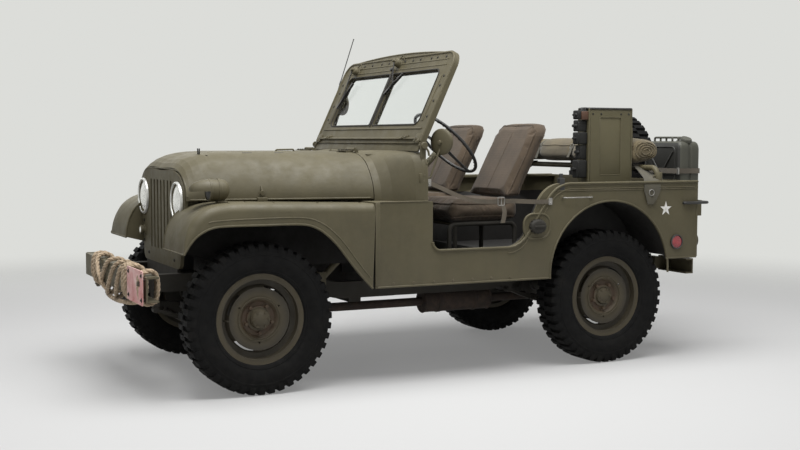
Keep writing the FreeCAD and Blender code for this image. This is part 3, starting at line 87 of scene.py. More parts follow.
def vec(x, y, z):
    """A place or a direction."""
    return Vector((x, y, z))


def settings():
    """The look that the sidebar panel shows."""
    return bpy.context.scene.field_car


# Mesh helpers


def finished(name, bm, materials, body="car", replaces=(), angle=38, slot="", flat=False):
    """Turns a bmesh into a piece of the car that rides on a body."""
    mesh = bpy.data.meshes.new(name)
    bmesh.ops.remove_doubles(bm, verts=bm.verts, dist=1e-6)
    bmesh.ops.recalc_face_normals(bm, faces=bm.faces)
    bm.to_mesh(mesh)
    bm.free()
    return placed(name, mesh, materials, body, replaces, angle, slot, flat)


def placed(name, mesh, materials, body="car", replaces=(), angle=38, slot="", flat=False):
    """Turns a mesh into a piece. With no body it is only a help for another piece."""
    if not isinstance(materials, (list, tuple)):
        materials = [materials]
    piece = bpy.data.objects.new(name, mesh)
    bpy.context.scene.collection.objects.link(piece)
    for material in materials:
        if material.name not in mesh.materials:
            mesh.materials.append(material)
    mesh.polygons.foreach_set("use_smooth", [not flat] * len(mesh.polygons))
    if not flat:
        mesh.set_sharp_from_angle(angle=radians(angle))
    if body is not None:
        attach(piece, body)
        slot = slot or SLOT_OF.get(materials[0].name.split(".")[0], "")
    if replaces:
        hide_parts(*replaces)
    return piece


def add_thickness(bm, thickness):
    """Turns an open skin into a shell, with its points and faces in an order that each run repeats."""
    def rank(place):
        return place.x + pi * place.y + 10 * place.z

    bmesh.ops.solidify(bm, geom=bm.faces[:], thickness=thickness)
    bm.verts.sort(key=lambda vert: rank(vert.co))
    bm.faces.sort(key=lambda face: rank(face.calc_center_median()))


def add_box(bm, low, high, bevel=0.0, turn=None, steps=2):
    """A block between two corners with softened edges."""
    low, high = Vector(low), Vector(high)
    made = bmesh.ops.create_cube(bm, size=1)
    verts = made["verts"]
    middle = (low + high) / 2
    for vert in verts:
        vert.co = vec(vert.co.x * (high.x - low.x), vert.co.y * (high.y - low.y), vert.co.z * (high.z - low.z))
        if turn is not None:
            vert.co = turn @ vert.co
        vert.co += middle
    if bevel > 0:
        edges = list(dict.fromkeys(edge for vert in verts for edge in vert.link_edges))
        bmesh.ops.bevel(bm, geom=edges, offset=bevel, segments=steps, profile=0.5, affect="EDGES")
    return verts


def side_frame(direction):
    """Two directions square to one another and to the given one."""
    direction = Vector(direction).normalized()
    helper = Z_AXIS if abs(direction.z) < 0.9 else X_AXIS
    side = direction.cross(helper).normalized()
    return side, direction.cross(side).normalized()


def add_lathe(bm, profile, foot, axis, segments=32, start=0.0):
    """A shape turned about an axis, from pairs of radius and distance along it."""
    axis = Vector(axis).normalized()
    foot = Vector(foot)
    side, up = side_frame(axis)
    rings = []
    for radius, along in profile:
        if radius < 1e-7:
            rings.append([bm.verts.new(foot + axis * along)])
            continue
        rings.append([
            bm.verts.new(
                foot + axis * along
                + (side * cos(start + TAU * i / segments) + up * sin(start + TAU * i / segments)) * radius
            )
            for i in range(segments)
        ])
    for a, b in zip(rings, rings[1:]):
        for i in range(segments):
            j = (i + 1) % segments
            if len(a) == 1 and len(b) == 1:
                continue
            if len(a) == 1:
                bm.faces.new((a[0], b[i], b[j]))
            elif len(b) == 1:
                bm.faces.new((a[i], b[0], a[j]))
            else:
                bm.faces.new((a[i], b[i], b[j], a[j]))
    return rings


def add_rod(bm, start, end, radius, segments=16, bevel=0.0):
    """A round bar with closed, softened ends."""
    start, end = Vector(start), Vector(end)
    length = (end - start).length
    bevel = min(bevel, radius * 0.9, length * 0.45)
    profile = [(0, 0), (radius - bevel, 0)]
    if bevel > 0:
        profile += [(radius, bevel), (radius, length - bevel)]
    else:
        profile = [(0, 0), (radius, 0), (radius, length)]
    profile += [(radius - bevel, length)] if bevel > 0 else []
    profile += [(0, length)]
    add_lathe(bm, profile, start, end - start, segments)


def join_rings(bm, rings, closed=False, capped=False):
    """Faces from each ring of points to the next, and over the two ends."""
    pairs = list(zip(rings, rings[1:]))
    if closed:
        pairs.append((rings[-1], rings[0]))
    for a, b in pairs:
        for k in range(len(a)):
            m = (k + 1) % len(a)
            bm.faces.new((a[k], b[k], b[m], a[m]))
    if capped:
        bm.faces.new(list(reversed(rings[0])))
        bm.faces.new(rings[-1])


def add_ring(bm, centre, axis, major, minor, segments=48, around=12):
    """A closed round ring."""
    axis = Vector(axis).normalized()
    side, up = side_frame(axis)
    rings = []
    for i in range(segments):
        a = TAU * i / segments
        out = side * cos(a) + up * sin(a)
        rings.append([
            bm.verts.new(
                Vector(centre) + out * (major + minor * cos(TAU * k / around)) + axis * minor * sin(TAU * k / around)
            )
            for k in range(around)
        ])
    join_rings(bm, rings, closed=True)


def carried_frames(points, closed=False):
    """Directions that are carried along a path without twisting."""
    count = len(points)
    tangents = []
    for i in range(count):
        if closed:
            run = points[(i + 1) % count] - points[i - 1]
        else:
            run = points[min(i + 1, count - 1)] - points[max(i - 1, 0)]
        tangents.append(run.normalized())
    side, up = side_frame(tangents[0])
    frames = []
    for i in range(count):
        if i:
            turn = tangents[i - 1].rotation_difference(tangents[i])
            side = (turn @ side).normalized()
            up = (turn @ up).normalized()
        frames.append((tangents[i], side.copy(), up.copy()))
    return frames


def add_tube(bm, points, radius, around=12, closed=False, section=None):
    """A tube along a path. The section is a list of pairs that replaces the round one."""
    points = [Vector(p) for p in points]
    frames = carried_frames(points, closed)
    shape = section or [(cos(TAU * k / around), sin(TAU * k / around)) for k in range(around)]
    around = len(shape)
    rings = []
    for i, (point, (_, side, up)) in enumerate(zip(points, frames)):
        r = radius(i / (len(points) - 1)) if callable(radius) else radius
        rings.append([bm.verts.new(point + side * r * a + up * r * b) for a, b in shape])
    join_rings(bm, rings, closed, capped=not closed)


def add_strap(bm, points, across, width, thickness, closed=False):
    """A flat band along a path, `width` wide in the direction `across`."""
    points = [Vector(p) for p in points]
    across = Vector(across).normalized()
    rings = []
    count = len(points)
    for i in range(count):
        ahead = points[(i + 1) % count] if closed else points[min(i + 1, count - 1)]
        behind = points[i - 1] if closed or i else points[0]
        run = (ahead - behind).normalized()
        out = run.cross(across).normalized() * thickness / 2
        side = across * width / 2
        rings.append([bm.verts.new(points[i] + a) for a in (side + out, side - out, -side - out, -side + out)])
    join_rings(bm, rings, closed, capped=not closed)


def rounded(points, radii, steps=6):
    """Outline points in two dimensions with each corner rounded."""
    out = []
    count = len(points)
    for i in range(count):
        p = Vector(points[i])
        r = radii[i] if isinstance(radii, (list, tuple)) else radii
        if r <= 0:
            out.append(p)
            continue
        back = (Vector(points[i - 1]) - p)
        ahead = (Vector(points[(i + 1) % count]) - p)
        half = back.angle(ahead) / 2
        reach = min(r / tan(half), back.length * 0.49, ahead.length * 0.49)
        r = reach * tan(half)
        a = p + back.normalized() * reach
        b = p + ahead.normalized() * reach
        centre = p + (back.normalized() + ahead.normalized()).normalized() * (r / sin(half))
        va, vb = a - centre, b - centre
        sweep = va.angle_signed(vb)
        for k in range(steps + 1):
            turn = Matrix.Rotation(-sweep * k / steps, 2)
            out.append(centre + turn @ va)
    return out


PLANES = {
    "x": (vec(0, 1, 0), vec(0, 0, 1), vec(1, 0, 0)),
    "y": (vec(1, 0, 0), vec(0, 0, 1), vec(0, 1, 0)),
    "z": (vec(1, 0, 0), vec(0, 1, 0), vec(0, 0, 1)),
}


def add_plate(bm, outline, plane, low, high, bevel=0.0, steps=2):
    """A plate with a flat outline, between two places along the plane's normal."""
    u, v, n = PLANES[plane]
    base = [bm.verts.new(u * p[0] + v * p[1] + n * low) for p in outline]
    top = [bm.verts.new(u * p[0] + v * p[1] + n * high) for p in outline]
    count = len(outline)
    faces = [bm.faces.new(list(reversed(base))), bm.faces.new(top)]
    for i in range(count):
        j = (i + 1) % count
        faces.append(bm.faces.new((base[i], base[j], top[j], top[i])))
    if bevel > 0:
        edges = list(faces[0].edges) + list(faces[1].edges)
        bmesh.ops.bevel(bm, geom=edges, offset=bevel, segments=steps, profile=0.5, affect="EDGES", clamp_overlap=True)
    return faces


def add_hoop_plate(bm, outer, inner, plane, low, high):
    """A plate with one hole; both outlines have the same number of points."""
    u, v, n = PLANES[plane]
    count = len(outer)
    rings = []
    for outline, place in ((outer, low), (outer, high), (inner, high), (inner, low)):
        rings.append([bm.verts.new(u * p[0] + v * p[1] + n * place) for p in outline])
    for a, b in zip(rings, rings[1:] + rings[:1]):
        for i in range(count):
            j = (i + 1) % count
            bm.faces.new((a[i], a[j], b[j], b[i]))


def smooth_path(points, per_run=8, closed=False):
    """A soft line through a few points."""
    points = [Vector(p) for p in points]
    out = []
    count = len(points)
    runs = count if closed else count - 1
    for i in range(runs):
        p1 = points[i]
        p2 = points[(i + 1) % count]
        p0 = points[i - 1] if closed or i else p1
        p3 = points[(i + 2) % count] if closed or i + 2 < count else p2
        bend = 2 * p0 - 5 * p1 + 4 * p2 - p3
        rise = 3 * p1 - p0 - 3 * p2 + p3
        for k in range(per_run):
            t = k / per_run
            out.append(0.5 * (2 * p1 + (p2 - p0) * t + bend * t * t + rise * t ** 3))
    if not closed:
        out.append(points[-1])
    return out


def corner_path(points, radius, steps=6):
    """Straight runs with round corners between them."""
    points = [Vector(p) for p in points]
    out = [points[0]]
    for i in range(1, len(points) - 1):
        p = points[i]
        back = (points[i - 1] - p)
        ahead = (points[i + 1] - p)
        half = back.angle(ahead) / 2
        if half > pi / 2 - 0.01:
            out.append(p)
            continue
        reach = min(radius / tan(half), back.length * 0.49, ahead.length * 0.49)
        a = p + back.normalized() * reach
        b = p + ahead.normalized() * reach
        for k in range(steps + 1):
            t = k / steps
            out.append(a.lerp(p, t).lerp(p.lerp(b, t), t))
    out.append(points[-1])
    return out


# Repeated fastenings, made with Geometry Nodes


def socket_id(tree, name):
    for item in tree.interface.items_tree:
        if item.item_type == "SOCKET" and item.in_out == "INPUT" and item.name == name:
            return item.identifier
    raise RuntimeError("no input named " + name)


def fastening_tree():
    """Puts a many-sided head on each point, facing the way its `facing` attribute says."""
    tree = bpy.data.node_groups.get("fastenings")
    if tree:
        return tree
    tree = bpy.data.node_groups.new("fastenings", "GeometryNodeTree")
    face = tree.interface
    face.new_socket("Geometry", in_out="INPUT", socket_type="NodeSocketGeometry")
    face.new_socket("Geometry", in_out="OUTPUT", socket_type="NodeSocketGeometry")
    for name, kind, value in (
        ("Radius", "NodeSocketFloat", 0.008), ("Height", "NodeSocketFloat", 0.006),
        ("Sides", "NodeSocketInt", 6), ("Dome", "NodeSocketFloat", 0.5),
    ):
        item = face.new_socket(name, in_out="INPUT", socket_type=kind)
        item.default_value = value
    face.new_socket("Material", in_out="INPUT", socket_type="NodeSocketMaterial")
    nodes, links = tree.nodes, tree.links
    start = nodes.new("NodeGroupInput")
    end = nodes.new("NodeGroupOutput")
    head = nodes.new("GeometryNodeMeshCone")
    head.fill_type = "NGON"
    links.new(start.outputs["Sides"], head.inputs["Vertices"])
    links.new(start.outputs["Radius"], head.inputs["Radius Bottom"])
    links.new(start.outputs["Height"], head.inputs["Depth"])
    narrow = nodes.new("ShaderNodeMath")
    narrow.operation = "MULTIPLY"
    links.new(start.outputs["Radius"], narrow.inputs[0])
    links.new(start.outputs["Dome"], narrow.inputs[1])
    links.new(narrow.outputs[0], head.inputs["Radius Top"])
    washer = nodes.new("GeometryNodeMeshCylinder")
    washer.inputs["Vertices"].default_value = 14
    wide = nodes.new("ShaderNodeMath")
    wide.operation = "MULTIPLY"
    wide.inputs[1].default_value = 1.35
    links.new(start.outputs["Radius"], wide.inputs[0])
    links.new(wide.outputs[0], washer.inputs["Radius"])
    thin = nodes.new("ShaderNodeMath")
    thin.operation = "MULTIPLY"
    thin.inputs[1].default_value = 0.3
    links.new(start.outputs["Height"], thin.inputs[0])
    links.new(thin.outputs[0], washer.inputs["Depth"])
    join = nodes.new("GeometryNodeJoinGeometry")
    links.new(head.outputs["Mesh"], join.inputs[0])
    links.new(washer.outputs["Mesh"], join.inputs[0])
    points = nodes.new("GeometryNodeInstanceOnPoints")
    links.new(start.outputs["Geometry"], points.inputs["Points"])
    links.new(join.outputs[0], points.inputs["Instance"])
    facing = nodes.new("GeometryNodeInputNamedAttribute")
    facing.data_type = "FLOAT_VECTOR"
    facing.inputs["Name"].default_value = "facing"
    align = nodes.new("FunctionNodeAlignRotationToVector")
    align.axis = "Z"
    links.new(facing.outputs["Attribute"], align.inputs["Vector"])
    links.new(align.outputs["Rotation"], points.inputs["Rotation"])
    real = nodes.new("GeometryNodeRealizeInstances")
    links.new(points.outputs["Instances"], real.inputs["Geometry"])
    paint = nodes.new("GeometryNodeSetMaterial")
    links.new(real.outputs["Geometry"], paint.inputs["Geometry"])
    links.new(start.outputs["Material"], paint.inputs["Material"])
    links.new(paint.outputs["Geometry"], end.inputs["Geometry"])
    return tree


def baked(name, source, tree, values, material, body, angle=30, slot=""):
    """Runs a node tree on a mesh and keeps its result as a plain mesh."""
    carrier = bpy.data.objects.new(name + "_source", source)
    bpy.context.scene.collection.objects.link(carrier)
    modifier = carrier.modifiers.new("nodes", "NODES")
    modifier.node_group = tree
    for key, value in values.items():
        modifier[socket_id(tree, key)] = value
    modifier[socket_id(tree, "Material")] = material
    depsgraph = bpy.context.evaluated_depsgraph_get()
    depsgraph.update()
    mesh = bpy.data.meshes.new_from_object(carrier.evaluated_get(depsgraph))
    mesh.name = name
    carrier.modifiers.remove(modifier)
    bpy.data.objects.remove(carrier)
    if not len(mesh.polygons):
        raise RuntimeError(name + " came out empty")
    bm = bmesh.new()
    bm.from_mesh(mesh)
    bmesh.ops.recalc_face_normals(bm, faces=bm.faces)
    bm.to_mesh(mesh)
    bm.free()
    return placed(name, mesh, material, body, angle=angle, slot=slot)


def fastenings(name, spots, radius, height, material, body="car", sides=6, dome=0.85, slot=""):
    """Bolt heads or rivets at a list of pairs of place and facing."""
    source = bpy.data.meshes.new(name + "_points")
    source.from_pydata([tuple(place) for place, _ in spots], [], [])
    facing = source.attributes.new("facing", "FLOAT_VECTOR", "POINT")
    facing.data.foreach_set("vector", [c for _, way in spots for c in Vector(way).normalized()])
    values = {"Radius": radius, "Height": height, "Sides": sides, "Dome": dome}
    return baked(name, source, fastening_tree(), values, material, body, slot=slot)


def repeat_tree():
    """Repeats a mesh in a circle about the Y axis through a centre."""
    tree = bpy.data.node_groups.get("repeat_in_circle")
    if tree:
        return tree
    tree = bpy.data.node_groups.new("repeat_in_circle", "GeometryNodeTree")
    face = tree.interface
    face.new_socket("Geometry", in_out="INPUT", socket_type="NodeSocketGeometry")
    face.new_socket("Geometry", in_out="OUTPUT", socket_type="NodeSocketGeometry")
    count = face.new_socket("Count", in_out="INPUT", socket_type="NodeSocketInt")
    count.default_value = 30
    face.new_socket("Centre", in_out="INPUT", socket_type="NodeSocketVector")
    face.new_socket("Material", in_out="INPUT", socket_type="NodeSocketMaterial")
    nodes, links = tree.nodes, tree.links
    start = nodes.new("NodeGroupInput")
    end = nodes.new("NodeGroupOutput")
    line = nodes.new("GeometryNodeMeshLine")
    line.inputs["Offset"].default_value = (0, 0, 0)
    links.new(start.outputs["Count"], line.inputs["Count"])
    links.new(start.outputs["Centre"], line.inputs["Start Location"])
    index = nodes.new("GeometryNodeInputIndex")
    part = nodes.new("ShaderNodeMath")
    part.operation = "DIVIDE"
    links.new(index.outputs[0], part.inputs[0])
    links.new(start.outputs["Count"], part.inputs[1])
    turn = nodes.new("ShaderNodeMath")
    turn.operation = "MULTIPLY"
    turn.inputs[1].default_value = TAU
    links.new(part.outputs[0], turn.inputs[0])
    axis = nodes.new("ShaderNodeCombineXYZ")
    links.new(turn.outputs[0], axis.inputs["Y"])
    back = nodes.new("ShaderNodeVectorMath")
    back.operation = "SCALE"
    back.inputs["Scale"].default_value = -1
    links.new(start.outputs["Centre"], back.inputs[0])
    move = nodes.new("GeometryNodeTransform")
    links.new(start.outputs["Geometry"], move.inputs["Geometry"])
    links.new(back.outputs[0], move.inputs["Translation"])
    points = nodes.new("GeometryNodeInstanceOnPoints")
    links.new(line.outputs["Mesh"], points.inputs["Points"])
    links.new(move.outputs[0], points.inputs["Instance"])
    links.new(axis.outputs[0], points.inputs["Rotation"])
    real = nodes.new("GeometryNodeRealizeInstances")
    links.new(points.outputs["Instances"], real.inputs["Geometry"])
    paint = nodes.new("GeometryNodeSetMaterial")
    links.new(real.outputs["Geometry"], paint.inputs["Geometry"])
    links.new(start.outputs["Material"], paint.inputs["Material"])
    links.new(paint.outputs["Geometry"], end.inputs["Geometry"])
    return tree


# Finishes


class Finish:
    """A short way to wire one procedural material."""

    def __init__(self, name):
        self.material = bpy.data.materials.new(name)
        self.material.use_nodes = True
        self.tree = self.material.node_tree
        self.tree.nodes.clear()
        self.out = self.tree.nodes.new("ShaderNodeOutputMaterial")
        self.shader = self.tree.nodes.new("ShaderNodeBsdfPrincipled")
        self.link(self.shader.outputs[0], self.out.inputs["Surface"])
        coord = self.tree.nodes.new("ShaderNodeTexCoord")
        self.place = coord.outputs["Object"]
        self.height = None

    def link(self, a, b):
        self.tree.links.new(a, b)

    def node(self, kind, **values):
        made = self.tree.nodes.new(kind)
        for key, value in values.items():
            setattr(made, key, value)
        return made

    def stretched(self, scale):
        mapping = self.node("ShaderNodeMapping")
        mapping.inputs["Scale"].default_value = scale
        self.link(self.place, mapping.inputs["Vector"])
        return mapping.outputs[0]

    def noise(self, scale, detail=4.0, rough=0.55, place=None, distortion=0.0):
        made = self.node("ShaderNodeTexNoise")
        made.inputs["Scale"].default_value = scale
        made.inputs["Detail"].default_value = detail
        made.inputs["Roughness"].default_value = rough
        made.inputs["Distortion"].default_value = distortion
        self.link(place or self.place, made.inputs["Vector"])
        return made.outputs["Fac"]

    def ramp(self, value, stops):
        made = self.node("ShaderNodeValToRGB")
        ramp = made.color_ramp
        while len(ramp.elements) > len(stops):
            ramp.elements.remove(ramp.elements[-1])
        while len(ramp.elements) < len(stops):
            ramp.elements.new(0.5)
        for element, (at, colour) in zip(ramp.elements, stops):
            element.position = at
            element.color = (*colour, 1) if len(colour) == 3 else colour
        self.link(value, made.inputs[0])
        return made.outputs[0]

    def fade(self, value, low, high, out_low=0.0, out_high=1.0):
        made = self.node("ShaderNodeMapRange")
        made.clamp = True
        for key, number in (("From Min", low), ("From Max", high), ("To Min", out_low), ("To Max", out_high)):
            made.inputs[key].default_value = number
        self.link(value, made.inputs["Value"])
        return made.outputs[0]

    def math(self, kind, a, b):
        made = self.node("ShaderNodeMath", operation=kind)
        for i, value in enumerate((a, b)):
            if isinstance(value, (int, float)):
                made.inputs[i].default_value = value
            else:
                self.link(value, made.inputs[i])
        return made.outputs[0]

    def mix(self, share, a, b, kind="MIX"):
        made = self.node("ShaderNodeMix", data_type="RGBA", blend_type=kind)
        for key, value in ((0, share), (6, a), (7, b)):
            if isinstance(value, (int, float)):
                made.inputs[key].default_value = value
            elif isinstance(value, (tuple, list)):
                made.inputs[key].default_value = (*value, 1) if len(value) == 3 else value
            else:
                self.link(value, made.inputs[key])
        return made.outputs[2]

    def up(self):
        parts = self.node("ShaderNodeSeparateXYZ")
        self.link(self.place, parts.inputs[0])
        return parts.outputs

    def colour(self, value):
        if isinstance(value, (tuple, list)):
            self.shader.inputs["Base Color"].default_value = (*value, 1)
        else:
            self.link(value, self.shader.inputs["Base Color"])

    def rough(self, value):
        if isinstance(value, (int, float)):
            self.shader.inputs["Roughness"].default_value = value
        else:
            self.link(value, self.shader.inputs["Roughness"])

    def set(self, **values):
        for key, value in values.items():
            self.shader.inputs[key.replace("_", " ")].default_value = value

    def bump(self, value, strength, distance=0.001):
        made = self.node("ShaderNodeBump")
        made.inputs["Strength"].default_value = strength
        made.inputs["Distance"].default_value = distance
        self.link(value, made.inputs["Height"])
        if self.height is not None:
            self.link(self.height, made.inputs["Normal"])
        self.height = made.outputs[0]
        self.link(self.height, self.shader.inputs["Normal"])

    def edges(self, radius, low=0.02, high=0.25):
        """Where the surface turns sharply, found by rounding the corners a little."""
        soft = self.node("ShaderNodeBevel")
        soft.samples = 4
        soft.inputs["Radius"].default_value = radius
        sharp = self.node("ShaderNodeNewGeometry")
        dot = self.node("ShaderNodeVectorMath", operation="DOT_PRODUCT")
        self.link(soft.outputs[0], dot.inputs[0])
        self.link(sharp.outputs["Normal"], dot.inputs[1])
        away = self.math("SUBTRACT", 1.0, dot.outputs["Value"])
        return self.fade(away, low, high)


FINISHES = {}


def finish(name, maker):
    if name not in FINISHES:
        FINISHES[name] = maker(Finish(name))
    return FINISHES[name]


def aged_paint(base, worn=(0.19, 0.165, 0.12), dust=(0.11, 0.094, 0.068), rough=0.62, wear=0.6, dents=0.25, last=None):
    """Hand-brushed matt paint with cloudy tone, rubbed edges, spots and dust low down."""

    def make(f):
        deep = tuple(c * 0.78 for c in base)
        pale = tuple(min(1, c * 1.18) for c in base)
        cloud = f.noise(2.6, 6, 0.62, distortion=0.3)
        tone = f.ramp(cloud, [(0.3, deep), (0.5, base), (0.72, pale)])
        mottle = f.noise(38, 5, 0.7)
        tone = f.mix(f.fade(mottle, 0.45, 0.8, 0, 0.35), tone, pale)
        streaks = f.noise(9, 4, 0.6, place=f.stretched((1.0, 1.0, 0.12)))
        tone = f.mix(f.fade(streaks, 0.56, 0.8, 0, 0.35), tone, tuple(c * 0.62 for c in base))
        height = f.up()["Z"]
        patch = f.noise(7, 6, 0.7)
        low = f.math("MULTIPLY", f.fade(height, 0.8, 0.3), f.fade(patch, 0.35, 0.7))
        tone = f.mix(f.math("MULTIPLY", low, 0.55), tone, dust)
        spots = f.noise(90, 3, 0.8)
        chips = f.math("MULTIPLY", f.fade(spots, 0.7, 0.74), f.fade(patch, 0.52, 0.62))
        tone = f.mix(f.math("MULTIPLY", chips, 0.6), tone, (0.045, 0.04, 0.032))
        rubbed = f.math("MULTIPLY", f.edges(0.006), f.fade(f.noise(26, 4, 0.7), 0.38, 0.62))
        tone = f.mix(f.math("MULTIPLY", rubbed, wear), tone, worn)
        if last:
            tone = last(f, tone)
        f.colour(tone)
        f.rough(f.fade(f.noise(14, 5, 0.7), 0.3, 0.7, rough - 0.1, rough + 0.14))
        f.set(Specular_IOR_Level=0.42)
        f.bump(f.noise(5.5, 3, 0.5), dents, 0.004)
        f.bump(f.noise(520, 2, 0.5), 0.12, 0.0004)
        return f.material

    return make


def tyre_rubber(f):
    grime = f.noise(11, 6, 0.7)
    tone = f.ramp(grime, [
        (0.3, (0.0039, 0.0039, 0.00403)), (0.55, (0.006175, 0.006045, 0.00598)), (0.8, (0.0117, 0.01073, 0.009425)),
    ])
    dusty = f.math("MULTIPLY", f.fade(f.noise(45, 5, 0.75), 0.46, 0.72), f.fade(f.up()["Z"], 0.25, 0.0, 0.25, 1.0))
    tone = f.mix(f.math("MULTIPLY", dusty, 0.16), tone, (0.0455, 0.0403, 0.0325))
    f.colour(tone)
    f.rough(f.fade(f.noise(24, 4, 0.6), 0.3, 0.7, 0.62, 0.86))
    f.set(Specular_IOR_Level=0.12)
    f.bump(f.noise(160, 4, 0.6), 0.25, 0.0008)
    return f.material


def cast_iron(f):
    tone = f.ramp(f.noise(8, 6, 0.7), [
        (0.3, (0.012, 0.011, 0.01)), (0.55, (0.022, 0.019, 0.016)), (0.8, (0.042, 0.034, 0.026)),
    ])
    f.colour(tone)
    f.rough(f.fade(f.noise(30, 4, 0.6), 0.3, 0.7, 0.62, 0.9))
    f.bump(f.noise(130, 5, 0.7), 0.35, 0.0012)
    return f.material


def rusted_steel(f):
    tone = f.ramp(f.noise(17, 7, 0.75), [
        (0.25, (0.016, 0.012, 0.01)), (0.5, (0.034, 0.023, 0.017)), (0.75, (0.07, 0.044, 0.03)),
    ])
    tone = f.mix(f.fade(f.noise(60, 4, 0.7), 0.55, 0.7, 0, 0.6), tone, (0.022, 0.02, 0.019))
    f.colour(tone)
    f.rough(0.86)
    f.bump(f.noise(150, 5, 0.7), 0.5, 0.0012)
    return f.material


def worn_steel(f):
    tone = f.ramp(f.noise(22, 5, 0.7), [
        (0.3, (0.16, 0.15, 0.135)), (0.6, (0.34, 0.33, 0.31)), (0.8, (0.46, 0.45, 0.43)),
    ])
    f.colour(tone)
    f.set(Metallic=0.85)
    f.rough(f.fade(f.noise(50, 4, 0.6), 0.3, 0.7, 0.28, 0.55))
    f.bump(f.noise(240, 3, 0.6), 0.15, 0.0004)
    return f.material


def bright_chrome(f):
    f.colour(f.ramp(f.noise(12, 4, 0.6), [(0.3, (0.62, 0.62, 0.62)), (0.7, (0.8, 0.8, 0.79))]))
    f.set(Metallic=1.0)
    f.rough(f.fade(f.noise(40, 4, 0.7), 0.3, 0.7, 0.07, 0.2))
    return f.material


def black_steel(f):
    tone = f.ramp(f.noise(18, 5, 0.7), [(0.3, (0.012, 0.012, 0.012)), (0.7, (0.03, 0.029, 0.027))])
    tone = f.mix(f.math("MULTIPLY", f.edges(0.003), 0.5), tone, (0.12, 0.11, 0.1))
    f.colour(tone)
    f.rough(f.fade(f.noise(34, 4, 0.6), 0.3, 0.7, 0.38, 0.62))
    f.bump(f.noise(300, 3, 0.6), 0.12, 0.0004)
    return f.material


def soft_rubber(f):
    f.colour(f.ramp(f.noise(26, 5, 0.7), [(0.3, (0.011, 0.011, 0.011)), (0.75, (0.032, 0.031, 0.029))]))
    f.rough(f.fade(f.noise(40, 4, 0.6), 0.3, 0.7, 0.55, 0.82))
    f.bump(f.noise(260, 3, 0.6), 0.18, 0.0005)
    return f.material


def woven(dark, base, pale, scale=900, sheen=0.25, rough=0.92):
    """Plain canvas weave with rubbed places and darker random patches in its tone."""

    def make(f):
        tone = f.ramp(f.noise(4.5, 6, 0.65), [(0.28, dark), (0.52, base), (0.78, pale)])
        thread = f.node("ShaderNodeTexWave", wave_type="BANDS", bands_direction="X")
        thread.inputs["Scale"].default_value = scale / 20
        thread.inputs["Distortion"].default_value = 1.2
        f.link(f.stretched((1, 1, 1)), thread.inputs["Vector"])
        cross = f.node("ShaderNodeTexWave", wave_type="BANDS", bands_direction="Z")
        cross.inputs["Scale"].default_value = scale / 20
        cross.inputs["Distortion"].default_value = 1.2
        f.link(f.stretched((1, 1, 1)), cross.inputs["Vector"])
        weave = f.math("MULTIPLY", thread.outputs["Fac"], cross.outputs["Fac"])
        tone = f.mix(f.fade(weave, 0.0, 0.8, 0.0, 0.2), tone, pale)
        tone = f.mix(f.fade(f.noise(30, 6, 0.75), 0.56, 0.75, 0, 0.4), tone, dark)
        f.colour(tone)
        f.rough(rough)
        f.set(Sheen_Weight=sheen, Sheen_Roughness=0.6, Specular_IOR_Level=0.2)
        f.bump(f.noise(9, 4, 0.55), 0.28, 0.006)
        f.bump(f.noise(42, 4, 0.6), 0.22, 0.0015)
        f.bump(weave, 0.35, 0.0006)
        return f.material

    return make


def rope_fibre(f):
    tone = f.ramp(f.noise(60, 6, 0.75), [
        (0.25, (0.17, 0.125, 0.08)), (0.5, (0.43, 0.33, 0.225)), (0.78, (0.7, 0.57, 0.42)),
    ])
    tone = f.mix(f.fade(f.noise(8, 5, 0.7), 0.5, 0.72, 0, 0.55), tone, (0.07, 0.055, 0.04))
    f.colour(tone)
    f.rough(0.95)
    f.set(Sheen_Weight=0.2, Specular_IOR_Level=0.15)
    hair = f.node("ShaderNodeTexNoise")
    hair.inputs["Scale"].default_value = 700
    hair.inputs["Detail"].default_value = 5
    f.link(f.place, hair.inputs["Vector"])
    f.bump(hair.outputs["Fac"], 0.6, 0.0012)
    return f.material


def pane_glass(f):
    f.colour((0.93, 0.96, 0.95))
    f.set(Transmission_Weight=1.0, IOR=1.06, Specular_IOR_Level=0.55)
    f.rough(f.fade(f.noise(9, 5, 0.7), 0.4, 0.8, 0.0, 0.05))
    return f.material


def lens_glass(f):
    f.colour(f.ramp(f.noise(20, 3, 0.5), [(0.3, (0.9, 0.9, 0.87)), (0.7, (0.98, 0.98, 0.96))]))
    f.set(Metallic=0.9, IOR=1.45, Coat_Weight=0.7, Coat_Roughness=0.05)
    f.rough(0.14)
    flutes = f.node("ShaderNodeTexWave", wave_type="BANDS", bands_direction="Y")
    flutes.inputs["Scale"].default_value = 22
    f.link(f.stretched((1, 1, 1)), flutes.inputs["Vector"])
    f.bump(flutes.outputs["Fac"], 0.55, 0.003)
    return f.material


def pale_rim(f):
    f.colour(f.ramp(f.noise(30, 4, 0.6), [(0.3, (0.5, 0.5, 0.47)), (0.7, (0.74, 0.74, 0.71))]))
    f.set(Metallic=0.4)
    f.rough(0.3)
    return f.material


def red_lens(f):
    ring = f.noise(14, 3, 0.5)
    f.colour(f.ramp(ring, [(0.3, (0.2, 0.012, 0.018)), (0.7, (0.34, 0.024, 0.034))]))
    f.set(Coat_Weight=0.6, Coat_Roughness=0.12, Specular_IOR_Level=0.6)
    f.rough(f.fade(f.noise(50, 4, 0.7), 0.35, 0.7, 0.16, 0.4))
    cells = f.node("ShaderNodeTexVoronoi")
    cells.inputs["Scale"].default_value = 210
    f.link(f.place, cells.inputs["Vector"])
    f.bump(cells.outputs["Distance"], 0.35, 0.001)
    return f.material


